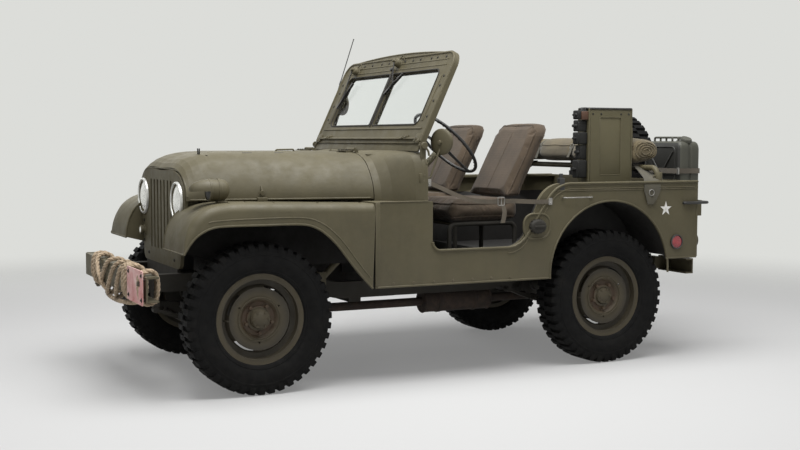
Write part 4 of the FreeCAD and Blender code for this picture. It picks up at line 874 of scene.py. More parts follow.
def faded_plate(f):
    """A blank red plate, bleached and scuffed pale across its middle."""
    cloud = f.noise(6.5, 6, 0.7, distortion=0.5)
    tone = f.ramp(cloud, [(0.3, (0.5, 0.13, 0.13)), (0.46, (0.66, 0.34, 0.32)), (0.62, (0.76, 0.56, 0.53))])
    tone = f.mix(f.fade(f.noise(55, 5, 0.75), 0.55, 0.75, 0, 0.5), tone, (0.74, 0.66, 0.62))
    tone = f.mix(f.math("MULTIPLY", f.edges(0.004), 0.6), tone, (0.4, 0.36, 0.31))
    f.colour(tone)
    f.rough(f.fade(f.noise(30, 4, 0.6), 0.3, 0.7, 0.42, 0.7))
    f.bump(f.noise(120, 4, 0.6), 0.12, 0.0005)
    return f.material


def white_marking(f):
    tone = f.ramp(f.noise(40, 6, 0.75), [
        (0.34, (0.44, 0.42, 0.36)), (0.5, (0.74, 0.73, 0.69)), (0.8, (0.82, 0.81, 0.78)),
    ])
    f.colour(tone)
    f.rough(0.6)
    f.bump(f.noise(300, 3, 0.6), 0.12, 0.0004)
    return f.material


def dial_face(f):
    f.colour(f.ramp(f.noise(50, 4, 0.6), [(0.3, (0.015, 0.015, 0.014)), (0.7, (0.028, 0.027, 0.025))]))
    f.set(Coat_Weight=0.5, Coat_Roughness=0.08)
    f.rough(0.35)
    return f.material


OLIVE = (0.082, 0.0705, 0.038)


def olive():
    return finish("olive_paint", aged_paint(tuple(settings().paint_colour)))


def in_shade(f, tone):
    """Painted shade: near-black on what lies behind the body's outer skin and under its deck, where shade falls."""
    parts = f.up()
    wide = f.math("ABSOLUTE", parts["Y"], 0)
    shade_mask = f.math("MULTIPLY", f.math("LESS_THAN", wide, 0.752), f.math("LESS_THAN", parts["Z"], 0.915))
    ahead = f.math("GREATER_THAN", parts["X"], BODY_REAR + 0.012)
    return f.mix(f.math("MULTIPLY", shade_mask, ahead), tone, (0.01, 0.009, 0.008))


# Olive paint with near-black painted shade behind the body's skin and under its deck.
def shaded_olive():
    return finish("olive_and_painted_shade", aged_paint(tuple(settings().paint_colour), last=in_shade))


# Near-black painted shade for the undersides of the fenders.
def undercoat():
    return finish("undercoat", aged_paint(
        (0.01, 0.009, 0.008), worn=(0.03, 0.027, 0.022), dust=(0.03, 0.026, 0.02), dents=0.12, rough=0.85,
    ))


def rust_ring_and_dish_shade(f, tone):
    """Brown rust round the hub, and painted shade darkening the recessed dish of each wheel."""
    parts = f.up()
    nearest = None
    for x in (FRONT_AXLE, REAR_AXLE):
        away = f.node("ShaderNodeCombineXYZ")
        f.link(f.math("SUBTRACT", parts["X"], x), away.inputs[0])
        f.link(f.math("SUBTRACT", parts["Z"], AXLE_Z), away.inputs[1])
        length = f.node("ShaderNodeVectorMath", operation="LENGTH")
        f.link(away.outputs[0], length.inputs[0])
        nearest = length.outputs["Value"] if nearest is None else f.math("MINIMUM", nearest, length.outputs["Value"])
    ring = f.math("MULTIPLY", f.fade(nearest, 0.055, 0.062), f.fade(nearest, 0.104, 0.08))
    tone = f.mix(f.math("MULTIPLY", ring, f.fade(f.noise(30, 5, 0.7), 0.3, 0.62, 0.2, 0.9)), tone, (0.06, 0.034, 0.02))
    # Painted shade: the recessed dish between hub and rim is darkened.
    dish_shade = f.math("MULTIPLY", f.fade(nearest, 0.118, 0.15), f.fade(nearest, 0.215, 0.19))
    return f.mix(f.math("MULTIPLY", dish_shade, 0.65), tone, (0.014, 0.012, 0.009))


def wheel_paint_and_shade():
    return finish("wheel_paint_and_shade", aged_paint(
        (0.052, 0.042, 0.023), worn=(0.12, 0.1, 0.065), dust=(0.066, 0.053, 0.032), last=rust_ring_and_dish_shade,
    ))


def dark_olive():
    return finish("chassis_paint", aged_paint(
        (0.018, 0.016, 0.012), worn=(0.05, 0.044, 0.034), dust=(0.045, 0.039, 0.03), dents=0.12, rough=0.75,
    ))


def can_front_shadow(f, tone):
    """Painted shadow: the can's front face near-black, as if shaded by the canvas roll above it."""
    return f.mix(f.math(
        "MULTIPLY", f.math("GREATER_THAN", f.up()["X"], FRONT_AXLE - 2.666), 0.88,
    ), tone, (0.009, 0.009, 0.008))


# The can's paint, with painted shadow on its front face.
def can_paint_and_shadow():
    return finish("can_paint_and_shadow", aged_paint(
        (0.056, 0.056, 0.043), worn=(0.13, 0.12, 0.1), rough=0.5, dents=0.15, last=can_front_shadow,
    ))


def rack_paint():
    return finish("rack_paint", aged_paint(
        (0.008, 0.008, 0.007), worn=(0.045, 0.043, 0.038), dust=(0.028, 0.025, 0.02), rough=0.75, dents=0.08,
    ))


def rubber():
    return finish("rubber_trim", soft_rubber)


def steel():
    return finish("worn_steel", worn_steel)


def black():
    return finish("black_steel", black_steel)


def chrome():
    return finish("bright_chrome", bright_chrome)


def seat_canvas():
    return finish("seat_canvas", woven((0.035, 0.025, 0.016), (0.066, 0.047, 0.03), (0.096, 0.069, 0.045), sheen=0.12))


def tan_canvas():
    return finish("tan_canvas", woven((0.068, 0.054, 0.028), (0.124, 0.098, 0.052), (0.18, 0.144, 0.08)))


def webbing():
    return finish("webbing", woven((0.06, 0.048, 0.033), (0.105, 0.086, 0.06), (0.16, 0.135, 0.1), scale=1500))


def strap_olive():
    return finish("strap_olive", woven((0.038, 0.034, 0.021), (0.07, 0.062, 0.038), (0.11, 0.098, 0.064), scale=1500))


def cabinet_paint():
    return finish("cabinet_paint", aged_paint((0.09, 0.079, 0.042), worn=(0.15, 0.13, 0.09), rough=0.55, dents=0.12))


# Front fenders

# The fender's top line, from its joint with the body to its drooping lip, ahead of the front axle.
FENDER_TOP = (
    (-0.588, 0.934), (-0.3, 0.94), (0.08, 0.948), (0.2, 0.945), (0.28, 0.926), (0.34, 0.886), (0.375, 0.835),
    (0.395, 0.775),
    (0.402, 0.713),
)
# The edge of its wheel arch, from the lip back to the rocker.
FENDER_ARCH = (
    (0.402, 0.711), (0.373, 0.757), (0.334, 0.798), (0.27, 0.831), (0.191, 0.84), (0.011, 0.84), (-0.19, 0.838),
    (-0.274, 0.815), (-0.333, 0.774), (-0.386, 0.722), (-0.445, 0.647), (-0.505, 0.575), (-0.572, 0.503),
)
FENDER_INNER = 0.395
SHOULDER = 0.042


def fender_line(pairs, per_run):
    return [(FRONT_AXLE + p.x, p.z) for p in smooth_path([(x, 0, z) for x, z in pairs], per_run)]


def fender_top_at(x):
    return run_of(list(FENDER_TOP[:5]), x - FRONT_AXLE)


def make_fenders():
    for name, side in (("left", 1), ("right", -1)):
        top = fender_line(FENDER_TOP, 6)
        arch = fender_line(FENDER_ARCH, 6)
        bm = bmesh.new()
        rows = []
        for i, (x, z) in enumerate(top):
            ahead = Vector(top[min(i + 1, len(top) - 1)]) - Vector(top[max(i - 1, 0)])
            inward = Vector((ahead.y, -ahead.x)).normalized()
            inward = inward if inward.y < 0 or abs(inward.y) < 1e-6 else -inward
            row = [bm.verts.new((x, FENDER_INNER * side, z))]
            radius = min(SHOULDER, 0.7 * min((Vector((x, z)) - Vector(p)).length for p in arch))
            row.append(bm.verts.new((x, 0.56 * side, z)))
            for k in range(7):
                a = pi / 2 * k / 6
                reach = radius * (1 - cos(a))
                y = BODY_HALF - radius + radius * sin(a)
                row.append(bm.verts.new((
                    min(x + inward.x * reach, FRONT_AXLE + 0.402), y * side, max(z + inward.y * reach, 0.711),
                )))
            rows.append(row)
        for a, b in zip(rows, rows[1:]):
            for k in range(8):
                bm.faces.new((a[k], a[k + 1], b[k + 1], b[k]))
        edge = [bm.verts.new((x, BODY_HALF * side, z)) for x, z in arch]
        bm.faces.new([row[-1] for row in rows] + edge)
        hem = [bm.verts.new((x, (BODY_HALF - 0.022) * side, z)) for x, z in arch]
        for k in range(len(edge) - 1):
            bm.faces.new((edge[k], edge[k + 1], hem[k + 1], hem[k]))
        apron = [(-0.588, 0.6), (0.06, 0.612), (0.215, 0.66), (0.308, 0.69), (0.4, 0.714)]
        apron += [(x - 0.001, z - 0.001) for x, z in reversed(FENDER_TOP[:-1])]
        bm.faces.new([bm.verts.new((FRONT_AXLE + x, (FENDER_INNER + 0.004) * side, z)) for x, z in apron])
        bmesh.ops.remove_doubles(bm, verts=bm.verts, dist=0.0006)
        bmesh.ops.recalc_face_normals(bm, faces=bm.faces)
        add_thickness(bm, 0.0022)
        bmesh.ops.recalc_face_normals(bm, faces=bm.faces)
        # Faces that look inward, under the fender, get the second material, near-black painted shade.
        heart = vec(FRONT_AXLE - 0.1, 0.58 * side, 0.52)
        for face in bm.faces:
            if face.normal.dot(face.calc_center_median() - heart) < 0:
                face.material_index = 1
        finished("curved_fender_" + name, bm, [olive(), undercoat()], replaces=("fender_" + name,))

    bm = bmesh.new()
    spots = []
    for side in (1, -1):
        line = [vec(x, (BODY_HALF - 0.001) * side, z + 0.003) for x, z in fender_line(FENDER_ARCH, 6)]
        add_tube(bm, line, 0.0058, 10)
        heart = vec(FRONT_AXLE - 0.08, (BODY_HALF - 0.0005) * side, 0.44)
        crease = [
            p + (vec(p.x, heart.y, p.z) - heart).normalized() * 0.033
            for p in line if FRONT_AXLE - 0.53 < p.x < FRONT_AXLE + 0.27
        ]
        add_tube(bm, [vec(p.x, heart.y, p.z) for p in crease], 0.0036, 8)
        lip = [vec(FRONT_AXLE + 0.4005, (BODY_HALF - 0.006 - 0.0355 * k) * side, 0.7135) for k in range(11)]
        add_tube(bm, lip, 0.0052, 10)
        inner = [vec(x, (FENDER_INNER + 0.002) * side, z) for x, z in fender_line(FENDER_TOP, 6)]
        add_tube(bm, inner, 0.004, 8)
        for k in range(7):
            x = FRONT_AXLE + 0.16 - 0.115 * k
            spots.append((vec(x, (0.6 if k % 2 else 0.69) * side, fender_top_at(x)), (0, 0, 1)))
    finished("fender_edges", bm, olive())
    fastenings("fender_bolts", spots, 0.0062, 0.004, olive())


class FIELDCAR_OT_fenders(bpy.types.Operator):
    """Makes the curved front fenders with their rolled arches, inner aprons and bolts"""
    bl_idname = "fieldcar.fenders"
    bl_label = "Front fenders"

    def execute(self, context):
        make_fenders()
        return {"FINISHED"}


# Windshield

# The windshield's own plane: its pivot line and its lean.
PIVOT = vec(FRONT_AXLE - 0.872, 0, 1.226)
RAKE = radians(25)
GLASS_UP = vec(-sin(RAKE), 0, cos(RAKE))
GLASS_OUT = vec(cos(RAKE), 0, sin(RAKE))
FRAME_FACE = 0.014


def on_glass(y, up, out=0.0):
    """A point of the windshield: across the car, up its frame, and out from its middle plane."""
    return PIVOT + vec(0, y, 0) + GLASS_UP * up + GLASS_OUT * out


def glass_plate(bm, outline, low, high, bevel=0.0):
    """A plate that lies in the windshield's plane."""
    before = set(bm.verts)
    add_plate(bm, outline, "x", low, high, bevel)
    fresh = [v for v in bm.verts if v not in before]
    for v in fresh:
        v.co = on_glass(v.co.y, v.co.z, v.co.x)


def pane_loop(side, grow=0.0):
    corners = [
        (side * (0.022 - grow), 0.118 - grow), (side * (0.59 + grow), 0.118 - grow),
        (side * (0.59 + grow), 0.436 + grow), (side * (0.022 - grow), 0.436 + grow),
    ]
    return rounded(corners, [0.013 + grow, 0.038 + grow, 0.038 + grow, 0.013 + grow], 6)


def make_windshield():
    bm = bmesh.new()
    for side in (1, -1):
        for face in (FRAME_FACE, -FRAME_FACE):
            loop = [on_glass(y, up, face) for y, up in pane_loop(side, 0.004)]
            add_tube(bm, loop, 0.0042, 10, True)
        inner = [on_glass(y, up, 0) for y, up in pane_loop(side, -0.004)]
        add_tube(bm, inner, 0.005, 8, True)
    for face in (1, -1):
        low, high = sorted((face * 0.01, face * 0.0205))
        glass_plate(bm, [(-0.0085, 0.106), (0.0085, 0.106), (0.0085, 0.452), (-0.0085, 0.452)], low, high, 0.003)
    finished("pane_seals", bm, dark_olive(), "windshield")

    bm = bmesh.new()
    for up in (0.092, 0.036):
        add_rod(bm, on_glass(-0.66, up, FRAME_FACE - 0.0015), on_glass(0.66, up, FRAME_FACE - 0.0015), 0.0062, 12)
    for up in (0.464, 0.497):
        add_rod(bm, on_glass(-0.64, up, FRAME_FACE - 0.002), on_glass(0.64, up, FRAME_FACE - 0.002), 0.0048, 12)
    crown = [(-0.64 + 0.064 * k, 0.5345 + 0.03 * (1 - ((k - 10) / 10) ** 2)) for k in range(21)]
    glass_plate(bm, [(0.64, 0.505), (-0.64, 0.505)] + crown, -FRAME_FACE, FRAME_FACE, 0.002)
    add_tube(bm, [on_glass(y, up - 0.002, FRAME_FACE - 0.001) for y, up in crown], 0.0052, 10)
    glass_plate(bm, [(-0.7, -0.034), (0.7, -0.034), (0.7, 0.03), (-0.7, 0.03)], -0.004, 0.006, 0.001)
    ledge = [on_glass(-0.66 + 0.066 * k, 0.03, FRAME_FACE + 0.004) for k in range(21)]
    add_strap(bm, ledge, GLASS_OUT, 0.016, 0.007)
    rim = [(-0.7065, 0.02), (-0.7065, 0.5365), (0.7065, 0.5365), (0.7065, 0.02)]
    edge = rounded(rim, [0, 0.083, 0.083, 0], 10)
    add_tube(bm, [on_glass(y, up, FRAME_FACE) for y, up in edge], 0.0062, 10)
    for side in (1, -1):
        glass_plate(bm, rounded([
            (side * 0.61, 0.135), (side * 0.64, 0.135), (side * 0.64, 0.405), (side * 0.61, 0.405),
        ], [0.008] * 4, 3), FRAME_FACE - 0.002, FRAME_FACE + 0.0025, 0.001)
        foot = on_glass(side * 0.668, 0.02, 0.0)
        for k, along in enumerate((-0.02, 0.02)):
            add_rod(
                bm, foot + GLASS_OUT * 0.012 + vec(0, along, 0), foot + GLASS_OUT * 0.024 + vec(0, along, 0), 0.0085,
                14, 0.001,
            )
        glass_plate(bm, rounded([
            (side * 0.64, 0.008), (side * 0.7, 0.008), (side * 0.7, 0.06), (side * 0.64, 0.06),
        ], [0.01] * 4, 4), FRAME_FACE, FRAME_FACE + 0.006, 0.0015)
        catch = on_glass(side * 0.52, 0.04, FRAME_FACE)
        add_box(bm, catch - vec(0.004, 0.03, 0.012), catch + vec(0.012, 0.03, 0.012), 0.003)
        add_tube(bm, corner_path([
            catch + vec(0.01, -0.02, 0.006), catch + vec(0.028, -0.02, -0.004), catch + vec(0.03, 0.02, -0.004),
            catch + vec(0.01, 0.02, 0.006),
        ], 0.008, 4), 0.0036, 10)
    finished("windshield_ribs", bm, olive(), "windshield")

    spots = []
    for y in (-0.6, -0.44, -0.33, -0.2, -0.1, 0.0, 0.11, 0.21, 0.3, 0.43, 0.5, 0.6):
        spots.append((on_glass(y, 0.512, FRAME_FACE), GLASS_OUT))
    for side in (1, -1):
        for up in (0.16, 0.25, 0.34, 0.395):
            spots.append((on_glass(side * 0.664, up, FRAME_FACE), GLASS_OUT))
    fastenings("windshield_screws", spots, 0.0062, 0.0045, dark_olive(), "windshield", sides=12, dome=0.6)

    bm = bmesh.new()
    for y, top in ((-0.515, 0.478), (0.05, 0.5)):
        foot = on_glass(y, top, FRAME_FACE)
        add_lathe(bm, [
            (0, 0.036), (0.016, 0.0355), (0.021, 0.033), (0.0245, 0.028), (0.0248, 0.004), (0.027, 0.002), (0.027, 0),
            (0, 0),
        ], foot, GLASS_OUT, 28)
        add_rod(bm, foot + GLASS_OUT * 0.034, foot + GLASS_OUT * 0.047, 0.0065, 14, 0.001)
        add_lathe(bm, [
            (0, 0.012), (0.008, 0.011), (0.0095, 0.007), (0.0095, 0), (0, 0),
        ], foot + GLASS_OUT * 0.04, GLASS_OUT, 20)
        hook = foot + GLASS_UP * 0.026 + vec(0, 0.016, 0) + GLASS_OUT * 0.018
        add_tube(bm, smooth_path([
            foot + GLASS_OUT * 0.028, hook, hook + GLASS_UP * 0.016 + vec(0, 0.03, 0),
            foot + vec(0, 0.052, 0) + GLASS_UP * 0.018 + GLASS_OUT * 0.006,
        ], 6), 0.0032, 8)
    finished("wiper_motors", bm, olive(), "windshield")

    bm = bmesh.new()
    for y, top, start_y, start_up, end_y, end_up in (
        (-0.515, 0.478, -0.508, 0.402, -0.594, 0.235), (0.05, 0.5, 0.154, 0.433, 0.016, 0.308),
    ):
        foot = on_glass(y, top, FRAME_FACE + 0.04)
        middle = on_glass((start_y + end_y) / 2, (start_up + end_up) / 2, FRAME_FACE + 0.012)
        add_strap(bm, [foot, foot.lerp(middle, 0.5) + GLASS_OUT * 0.003, middle], GLASS_OUT, 0.006, 0.005)
        start, end = on_glass(start_y, start_up, FRAME_FACE + 0.002), on_glass(end_y, end_up, FRAME_FACE + 0.002)
        for tip in (start, end):
            add_strap(bm, [
                middle, middle.lerp(tip, 0.55), middle.lerp(tip, 0.8) + GLASS_OUT * 0.003,
            ], GLASS_OUT, 0.007, 0.006)
        add_strap(bm, [start, start.lerp(end, 0.5), end], GLASS_OUT, 0.012, 0.0055)
        add_strap(bm, [p + GLASS_OUT * 0.007 for p in (start, start.lerp(end, 0.5), end)], GLASS_OUT, 0.003, 0.012)
    add_rod(bm, on_glass(0, 0.462, FRAME_FACE), on_glass(0, 0.462, FRAME_FACE + 0.022), 0.011, 16, 0.003)
    finished("wiper_blades", bm, black(), "windshield", replaces=("wipers",))


class FIELDCAR_OT_windshield(bpy.types.Operator):
    """Makes the panes' seals, the middle bar, creases, latches, bolts and wiper blades"""
    bl_idname = "fieldcar.windshield"
    bl_label = "Windshield trim"

    def execute(self, context):
        make_windshield()
        return {"FINISHED"}


# Hood, cowl and front

HOOD_FRONT = FRONT_AXLE + 0.302
HOOD_REAR = FRONT_AXLE - 0.65
HOOD_SHARES = ((1.0, 0.0), (0.99, 0.22), (0.95, 0.44), (0.885, 0.65), (0.8, 0.83), (0.675, 0.95), (0.0, 1.0))
NOSE_SHARES = ((0.0, 0.0), (0.02, 0.27), (0.05, 0.52), (0.09, 0.72), (0.14, 0.87), (0.2, 0.95), (0.3, 1.0), (1.0, 1.0))


def run_of(pairs, x):
    """Straight interpolation in a list of pairs."""
    for (x0, y0), (x1, y1) in zip(pairs, pairs[1:]):
        if x0 <= x <= x1:
            return y0 + (y1 - y0) * (x - x0) / (x1 - x0)
    return pairs[-1][1] if x > pairs[-1][0] else pairs[0][1]


def hood_point(share, around, lift=0.0):
    """A point on the hood: share 0 at its nose and 1 at the cowl; around runs 0 at the left edge to 1 at the right."""
    x = HOOD_FRONT - (HOOD_FRONT - HOOD_REAR) * share
    half = 0.465 + (0.602 - 0.465) * share
    top = 1.108 + (1.187 - 1.108) * run_of(NOSE_SHARES, share)
    place = abs(around - 0.5) * 2
    lengths = [0.0]
    line = list(reversed(HOOD_SHARES))
    for (w0, h0), (w1, h1) in zip(line, line[1:]):
        lengths.append(lengths[-1] + hypot((w1 - w0) * half, (h1 - h0) * (top - 0.952)))
    target = place * lengths[-1]
    w = run_of(list(zip(lengths, [p[0] for p in line])), target)
    h = run_of(list(zip(lengths, [p[1] for p in line])), target)
    side = 1 if around < 0.5 else -1
    point = vec(x, side * half * w, 0.952 + (top - 0.952) * h)
    outward = vec(0, side * w * 0.7, max(h - 0.25, 0.0)).normalized() if lift else Vector()
    return point + outward * lift


def make_hood_trim():
    bm = bmesh.new()
    for around in (0.252, 0.748):
        points = [hood_point(0.1 + 0.06 * k, around, 0.0) for k in range(16)]
        add_tube(
            bm, [p - vec(0, 0, 0.0035) for p in points], lambda t: 0.0062 * min(1, 6 * t, 8 * (1 - t)) + 0.0008, 10,
        )
    lip = [hood_point(0.0, 0.02 + 0.96 * k / 40) for k in range(41)]
    add_tube(bm, [p + vec(-0.004, 0, -0.003) for p in lip], 0.0058, 10)
    for side in (1, -1):
        edge = [
            vec(HOOD_FRONT - 0.02 - k * 0.0916, side * (0.464 + 0.1363 * (0.02 + k * 0.0916) / 0.952), 0.9555)
            for k in range(11)
        ]
        add_tube(bm, edge, 0.0055, 10)
    finished("hood_creases", bm, olive(), "hood")

    bm = bmesh.new()
    post = hood_point(0.135, 0.3)
    for dy in (-0.01, 0.01):
        add_rod(bm, post + vec(0, dy, -0.004), post + vec(0, dy * 1.5, 0.042), 0.0036, 12, 0.001)
    for share, around in ((0.39, 0.275), (0.39, 0.725), (0.57, 0.275), (0.57, 0.725)):
        at = hood_point(share, around)
        add_box(bm, at - vec(0.026, 0.011, 0.006), at + vec(0.026, 0.011, 0.011), 0.004, steps=3)
    finished("hood_rests", bm, rubber(), "hood")

    bm = bmesh.new()
    at = hood_point(0.655, 0.37)
    add_tube(bm, corner_path([
        at + vec(0.055, 0, 0), at + vec(0.05, 0, 0.02), at + vec(-0.05, 0, 0.022), at + vec(-0.055, 0, 0),
    ], 0.01, 4), 0.0045, 10)
    for side in (1, -1):
        hinge = vec(HOOD_REAR - 0.003, 0.3 * side, 1.203)
        add_plate(bm, rounded([
            (HOOD_REAR + 0.001, hinge.y - 0.038), (HOOD_REAR + 0.075, hinge.y - 0.03),
            (HOOD_REAR + 0.075, hinge.y + 0.03), (HOOD_REAR + 0.001, hinge.y + 0.038),
        ], [0, 0.012, 0.012, 0], 4), "z", 1.1935, 1.1975, 0.001)
    finished("hood_handle", bm, olive(), "hood")
    spots = []
    for side in (1, -1):
        for dx in (0.03, 0.058):
            for dy in (-0.018, 0.018):
                spots.append((vec(HOOD_REAR + dx, 0.3 * side + dy, 1.1975), (0, 0, 1)))
    for around in (0.252, 0.748):
        for share in (0.16, 0.9):
            spots.append((hood_point(share, around) + vec(0, 0, 0.002), (0, 0, 1)))
    fastenings("hood_hinge_bolts", spots, 0.0065, 0.0055, dark_olive(), "hood", dome=0.9)

    bm = bmesh.new()
    for side in (1, -1):
        foot = vec(FRONT_AXLE - 0.07, 0.52 * side, 0.948)
        add_box(bm, foot + vec(-0.026, -0.014, -0.003), foot + vec(0.026, 0.014, 0.018), 0.003)
        add_tube(bm, corner_path([
            foot + vec(0, 0, 0.012), foot + vec(0, 0.004 * side, 0.045), foot + vec(0, -0.012 * side, 0.072),
        ], 0.01, 4), 0.0055, 12)
        add_lathe(bm, [
            (0, 0), (0.0125, 0), (0.0135, 0.005), (0.0125, 0.01), (0, 0.011),
        ], foot + vec(0, 0.002 * side, 0.04), Y_AXIS * side, 18)
    finished("hood_latches", bm, olive())


class FIELDCAR_OT_hood_trim(bpy.types.Operator):
    """Makes the hood's creases, edge seals, latches, rests and grab handles"""
    bl_idname = "fieldcar.hood_trim"
    bl_label = "Hood trim"

    def execute(self, context):
        make_hood_trim()
        return {"FINISHED"}


def make_lamps(context):
    face = FRONT_AXLE + 0.308
    rims = bmesh.new()
    glass = bmesh.new()
    bowls = bmesh.new()
    bright = bmesh.new()
    for side in (1, -1):
        centre = vec(face, 0.335 * side, 0.945)
        add_lathe(rims, [
            (0.0845, 0.004), (0.0855, 0.0105), (0.0895, 0.0128), (0.0955, 0.0115), (0.099, 0.006), (0.0995, -0.002),
            (0.1035, -0.004), (0.1035, -0.012), (0.0845, -0.012), (0.0845, 0.004),
        ], centre, X_AXIS, 64)
        add_lathe(bright, [
            (0.0862, 0.004), (0.0866, 0.0125), (0.089, 0.0165), (0.0935, 0.0172), (0.0975, 0.0145), (0.0996, 0.008),
            (0.0996, 0.004), (0.0862, 0.004),
        ], centre, X_AXIS, 64)
        add_box(rims, centre + vec(0.001, -0.009, -0.106), centre + vec(0.01, 0.009, -0.094), 0.002)
        rings = []
        for i in range(13):
            r = 0.0858 * i / 12
            bulge = 0.0185 * (1 - (r / 0.0858) ** 2)
            ring = []
            for k in range(96):
                a = TAU * k / 96
                y, z = r * cos(a), r * sin(a)
                flute = 0.001 * cos(TAU * y / 0.0125) if i < 12 else 0.0
                ring.append(glass.verts.new(centre + vec(0.0015 + bulge + flute, y, z)))
            rings.append(ring)
        for i in range(1, 12):
            for k in range(96):
                m = (k + 1) % 96
                glass.faces.new((rings[i][k], rings[i + 1][k], rings[i + 1][m], rings[i][m]))
        core = glass.verts.new(centre + vec(0.0208, 0, 0))
        for k in range(96):
            glass.faces.new((rings[1][k], rings[1][(k + 1) % 96], core))
        add_lathe(bowls, [
            (0.0865, -0.0125), (0.086, -0.0105), (0.08, -0.0118), (0.06, -0.0132), (0.03, -0.0137), (0.012, -0.0134),
            (0.011, -0.006), (0.006, -0.003), (0, -0.0025),
        ], centre, X_AXIS, 48)
    finished("headlamp_rims", rims, olive())
    finished("headlamp_bowls", bowls, chrome())
    finished("headlamp_bright_rims", bright, finish("pale_rim", pale_rim))
    mesh = bpy.data.meshes.new("headlamp_lenses_fluted")
    bmesh.ops.remove_doubles(glass, verts=glass.verts, dist=1e-6)
    loose = [v for v in glass.verts if not v.link_faces]
    bmesh.ops.delete(glass, geom=loose, context="VERTS")
    bmesh.ops.recalc_face_normals(glass, faces=glass.faces)
    add_thickness(glass, 0.0022)
    glass.to_mesh(mesh)
    glass.free()
    placed("fluted_lenses", mesh, finish("lens_glass", lens_glass), replaces=("headlamp_lenses",), angle=30)

    bm = bmesh.new()
    for side in (1, -1):
        centre = vec(face, 0.345 * side, 0.757)
        add_lathe(bm, [
            (0.0245, 0.016), (0.0268, 0.018), (0.0268, 0.026), (0.0225, 0.029), (0.0215, 0.026), (0.0235, 0.016),
            (0.0245, 0.016),
        ], centre, X_AXIS, 40)
        add_lathe(bm, [(0.03, 0.0), (0.032, 0.003), (0.03, 0.006), (0.0242, 0.007), (0.0242, 0)], centre, X_AXIS, 40)
    finished("marker_rims", bm, olive())
    bm = bmesh.new()
    for side in (1, -1):
        centre = vec(face, 0.345 * side, 0.757)
        add_lathe(bm, [
            (0.0218, 0.0262), (0.019, 0.0295), (0.013, 0.0322), (0.006, 0.0334), (0, 0.0337), (0, 0.0245),
            (0.0218, 0.0245), (0.0218, 0.0262),
        ], centre, X_AXIS, 40)
    finished("marker_lenses", bm, finish("lens_glass", lens_glass))

    bm = bmesh.new()
    centre = vec(FRONT_AXLE + 0.165, 0.6, 1.01)
    add_lathe(bm, [
        (0, -0.037), (0.012, -0.036), (0.026, -0.032), (0.038, -0.0255), (0.0465, -0.016), (0.0512, -0.004),
        (0.0522, 0.008), (0.0522, 0.058),
        (0.0545, 0.0595), (0.0548, 0.0685), (0.0525, 0.071), (0.049, 0.0715), (0.048, 0.066), (0, 0.064),
    ], centre, X_AXIS, 48)
    shells = []
    for shrink in (0.0, 0.002):
        rows = []
        for i in range(11):
            reach = 0.062 + (0.101 - shrink) * sin(pi / 2 * i / 10)
            r = (0.0538 - shrink) * cos(pi / 2 * (i / 10) * 0.985) ** 0.75
            rows.append([
                bm.verts.new(centre + vec(reach, r * cos(a), r * sin(a) - 0.004 * (i / 10)))
                for a in (radians(-4 + 188 * k / 24) for k in range(25))
            ])
        shells.append(rows)
    for rows, way in zip(shells, (1, -1)):
        for a, b in zip(rows, rows[1:]):
            for k in range(24):
                quad = (a[k], b[k], b[k + 1], a[k + 1])
                bm.faces.new(quad if way > 0 else tuple(reversed(quad)))
    outer, inner = shells
    for k in (0, 24):
        for a, b, c, d in zip(outer, outer[1:], inner[1:], inner):
            bm.faces.new((a[k], b[k], c[k], d[k]))
    for k in range(24):
        bm.faces.new((outer[0][k], outer[0][k + 1], inner[0][k + 1], inner[0][k]))
        bm.faces.new((outer[-1][k], outer[-1][k + 1], inner[-1][k + 1], inner[-1][k]))
    foot = vec(centre.x, centre.y, 0.9485)
    add_lathe(bm, [
        (0, 0), (0.03, 0), (0.0315, 0.003), (0.03, 0.007), (0.02, 0.01), (0.0175, 0.016), (0.0175, 0.022), (0, 0.024),
    ], foot, Z_AXIS, 28)
    ring = [centre + vec(0.018, 0.0535 * cos(a), 0.0535 * sin(a)) for a in (TAU * k / 40 for k in range(40))]
    add_strap(bm, ring, X_AXIS, 0.012, 0.003, True)
    finished("blackout_lamp_dressed", bm, olive(), replaces=("blackout_lamp",))
    bm = bmesh.new()
    add_lathe(bm, [
        (0.0485, 0.065), (0.044, 0.07), (0.03, 0.075), (0.015, 0.078), (0, 0.079), (0, 0.062), (0.0485, 0.062),
        (0.0485, 0.065),
    ], centre, X_AXIS, 40)
    finished("blackout_lens", bm, black(), slot="lamp_glass")

    bm = bmesh.new()
    lenses = bmesh.new()
    for side in (1, -1):
        tail = vec(BODY_REAR, (BODY_HALF - 0.072) * side, 0.674)
        add_lathe(bm, [
            (0.0435, 0.02), (0.0462, 0.024), (0.0462, 0.036), (0.041, 0.0385), (0.04, 0.034), (0.0425, 0.02),
            (0.0435, 0.02),
        ], tail, -X_AXIS, 40)
        add_lathe(lenses, [
            (0.0405, 0.0345), (0.036, 0.0385), (0.022, 0.0415), (0, 0.0425), (0, 0.033), (0.0405, 0.033),
            (0.0405, 0.0345),
        ], tail, -X_AXIS, 36)
    finished("tail_lamp_rims", bm, olive())
    finished("tail_lamp_lenses", lenses, finish("red_lens", red_lens))


class FIELDCAR_OT_lamps(bpy.types.Operator):
    """Makes the lamps' rims, bowls, fluted lenses and the hooded blackout lamp"""
    bl_idname = "fieldcar.lamps"
    bl_label = "Lamps"

    def execute(self, context):
        make_lamps(context)
        return {"FINISHED"}


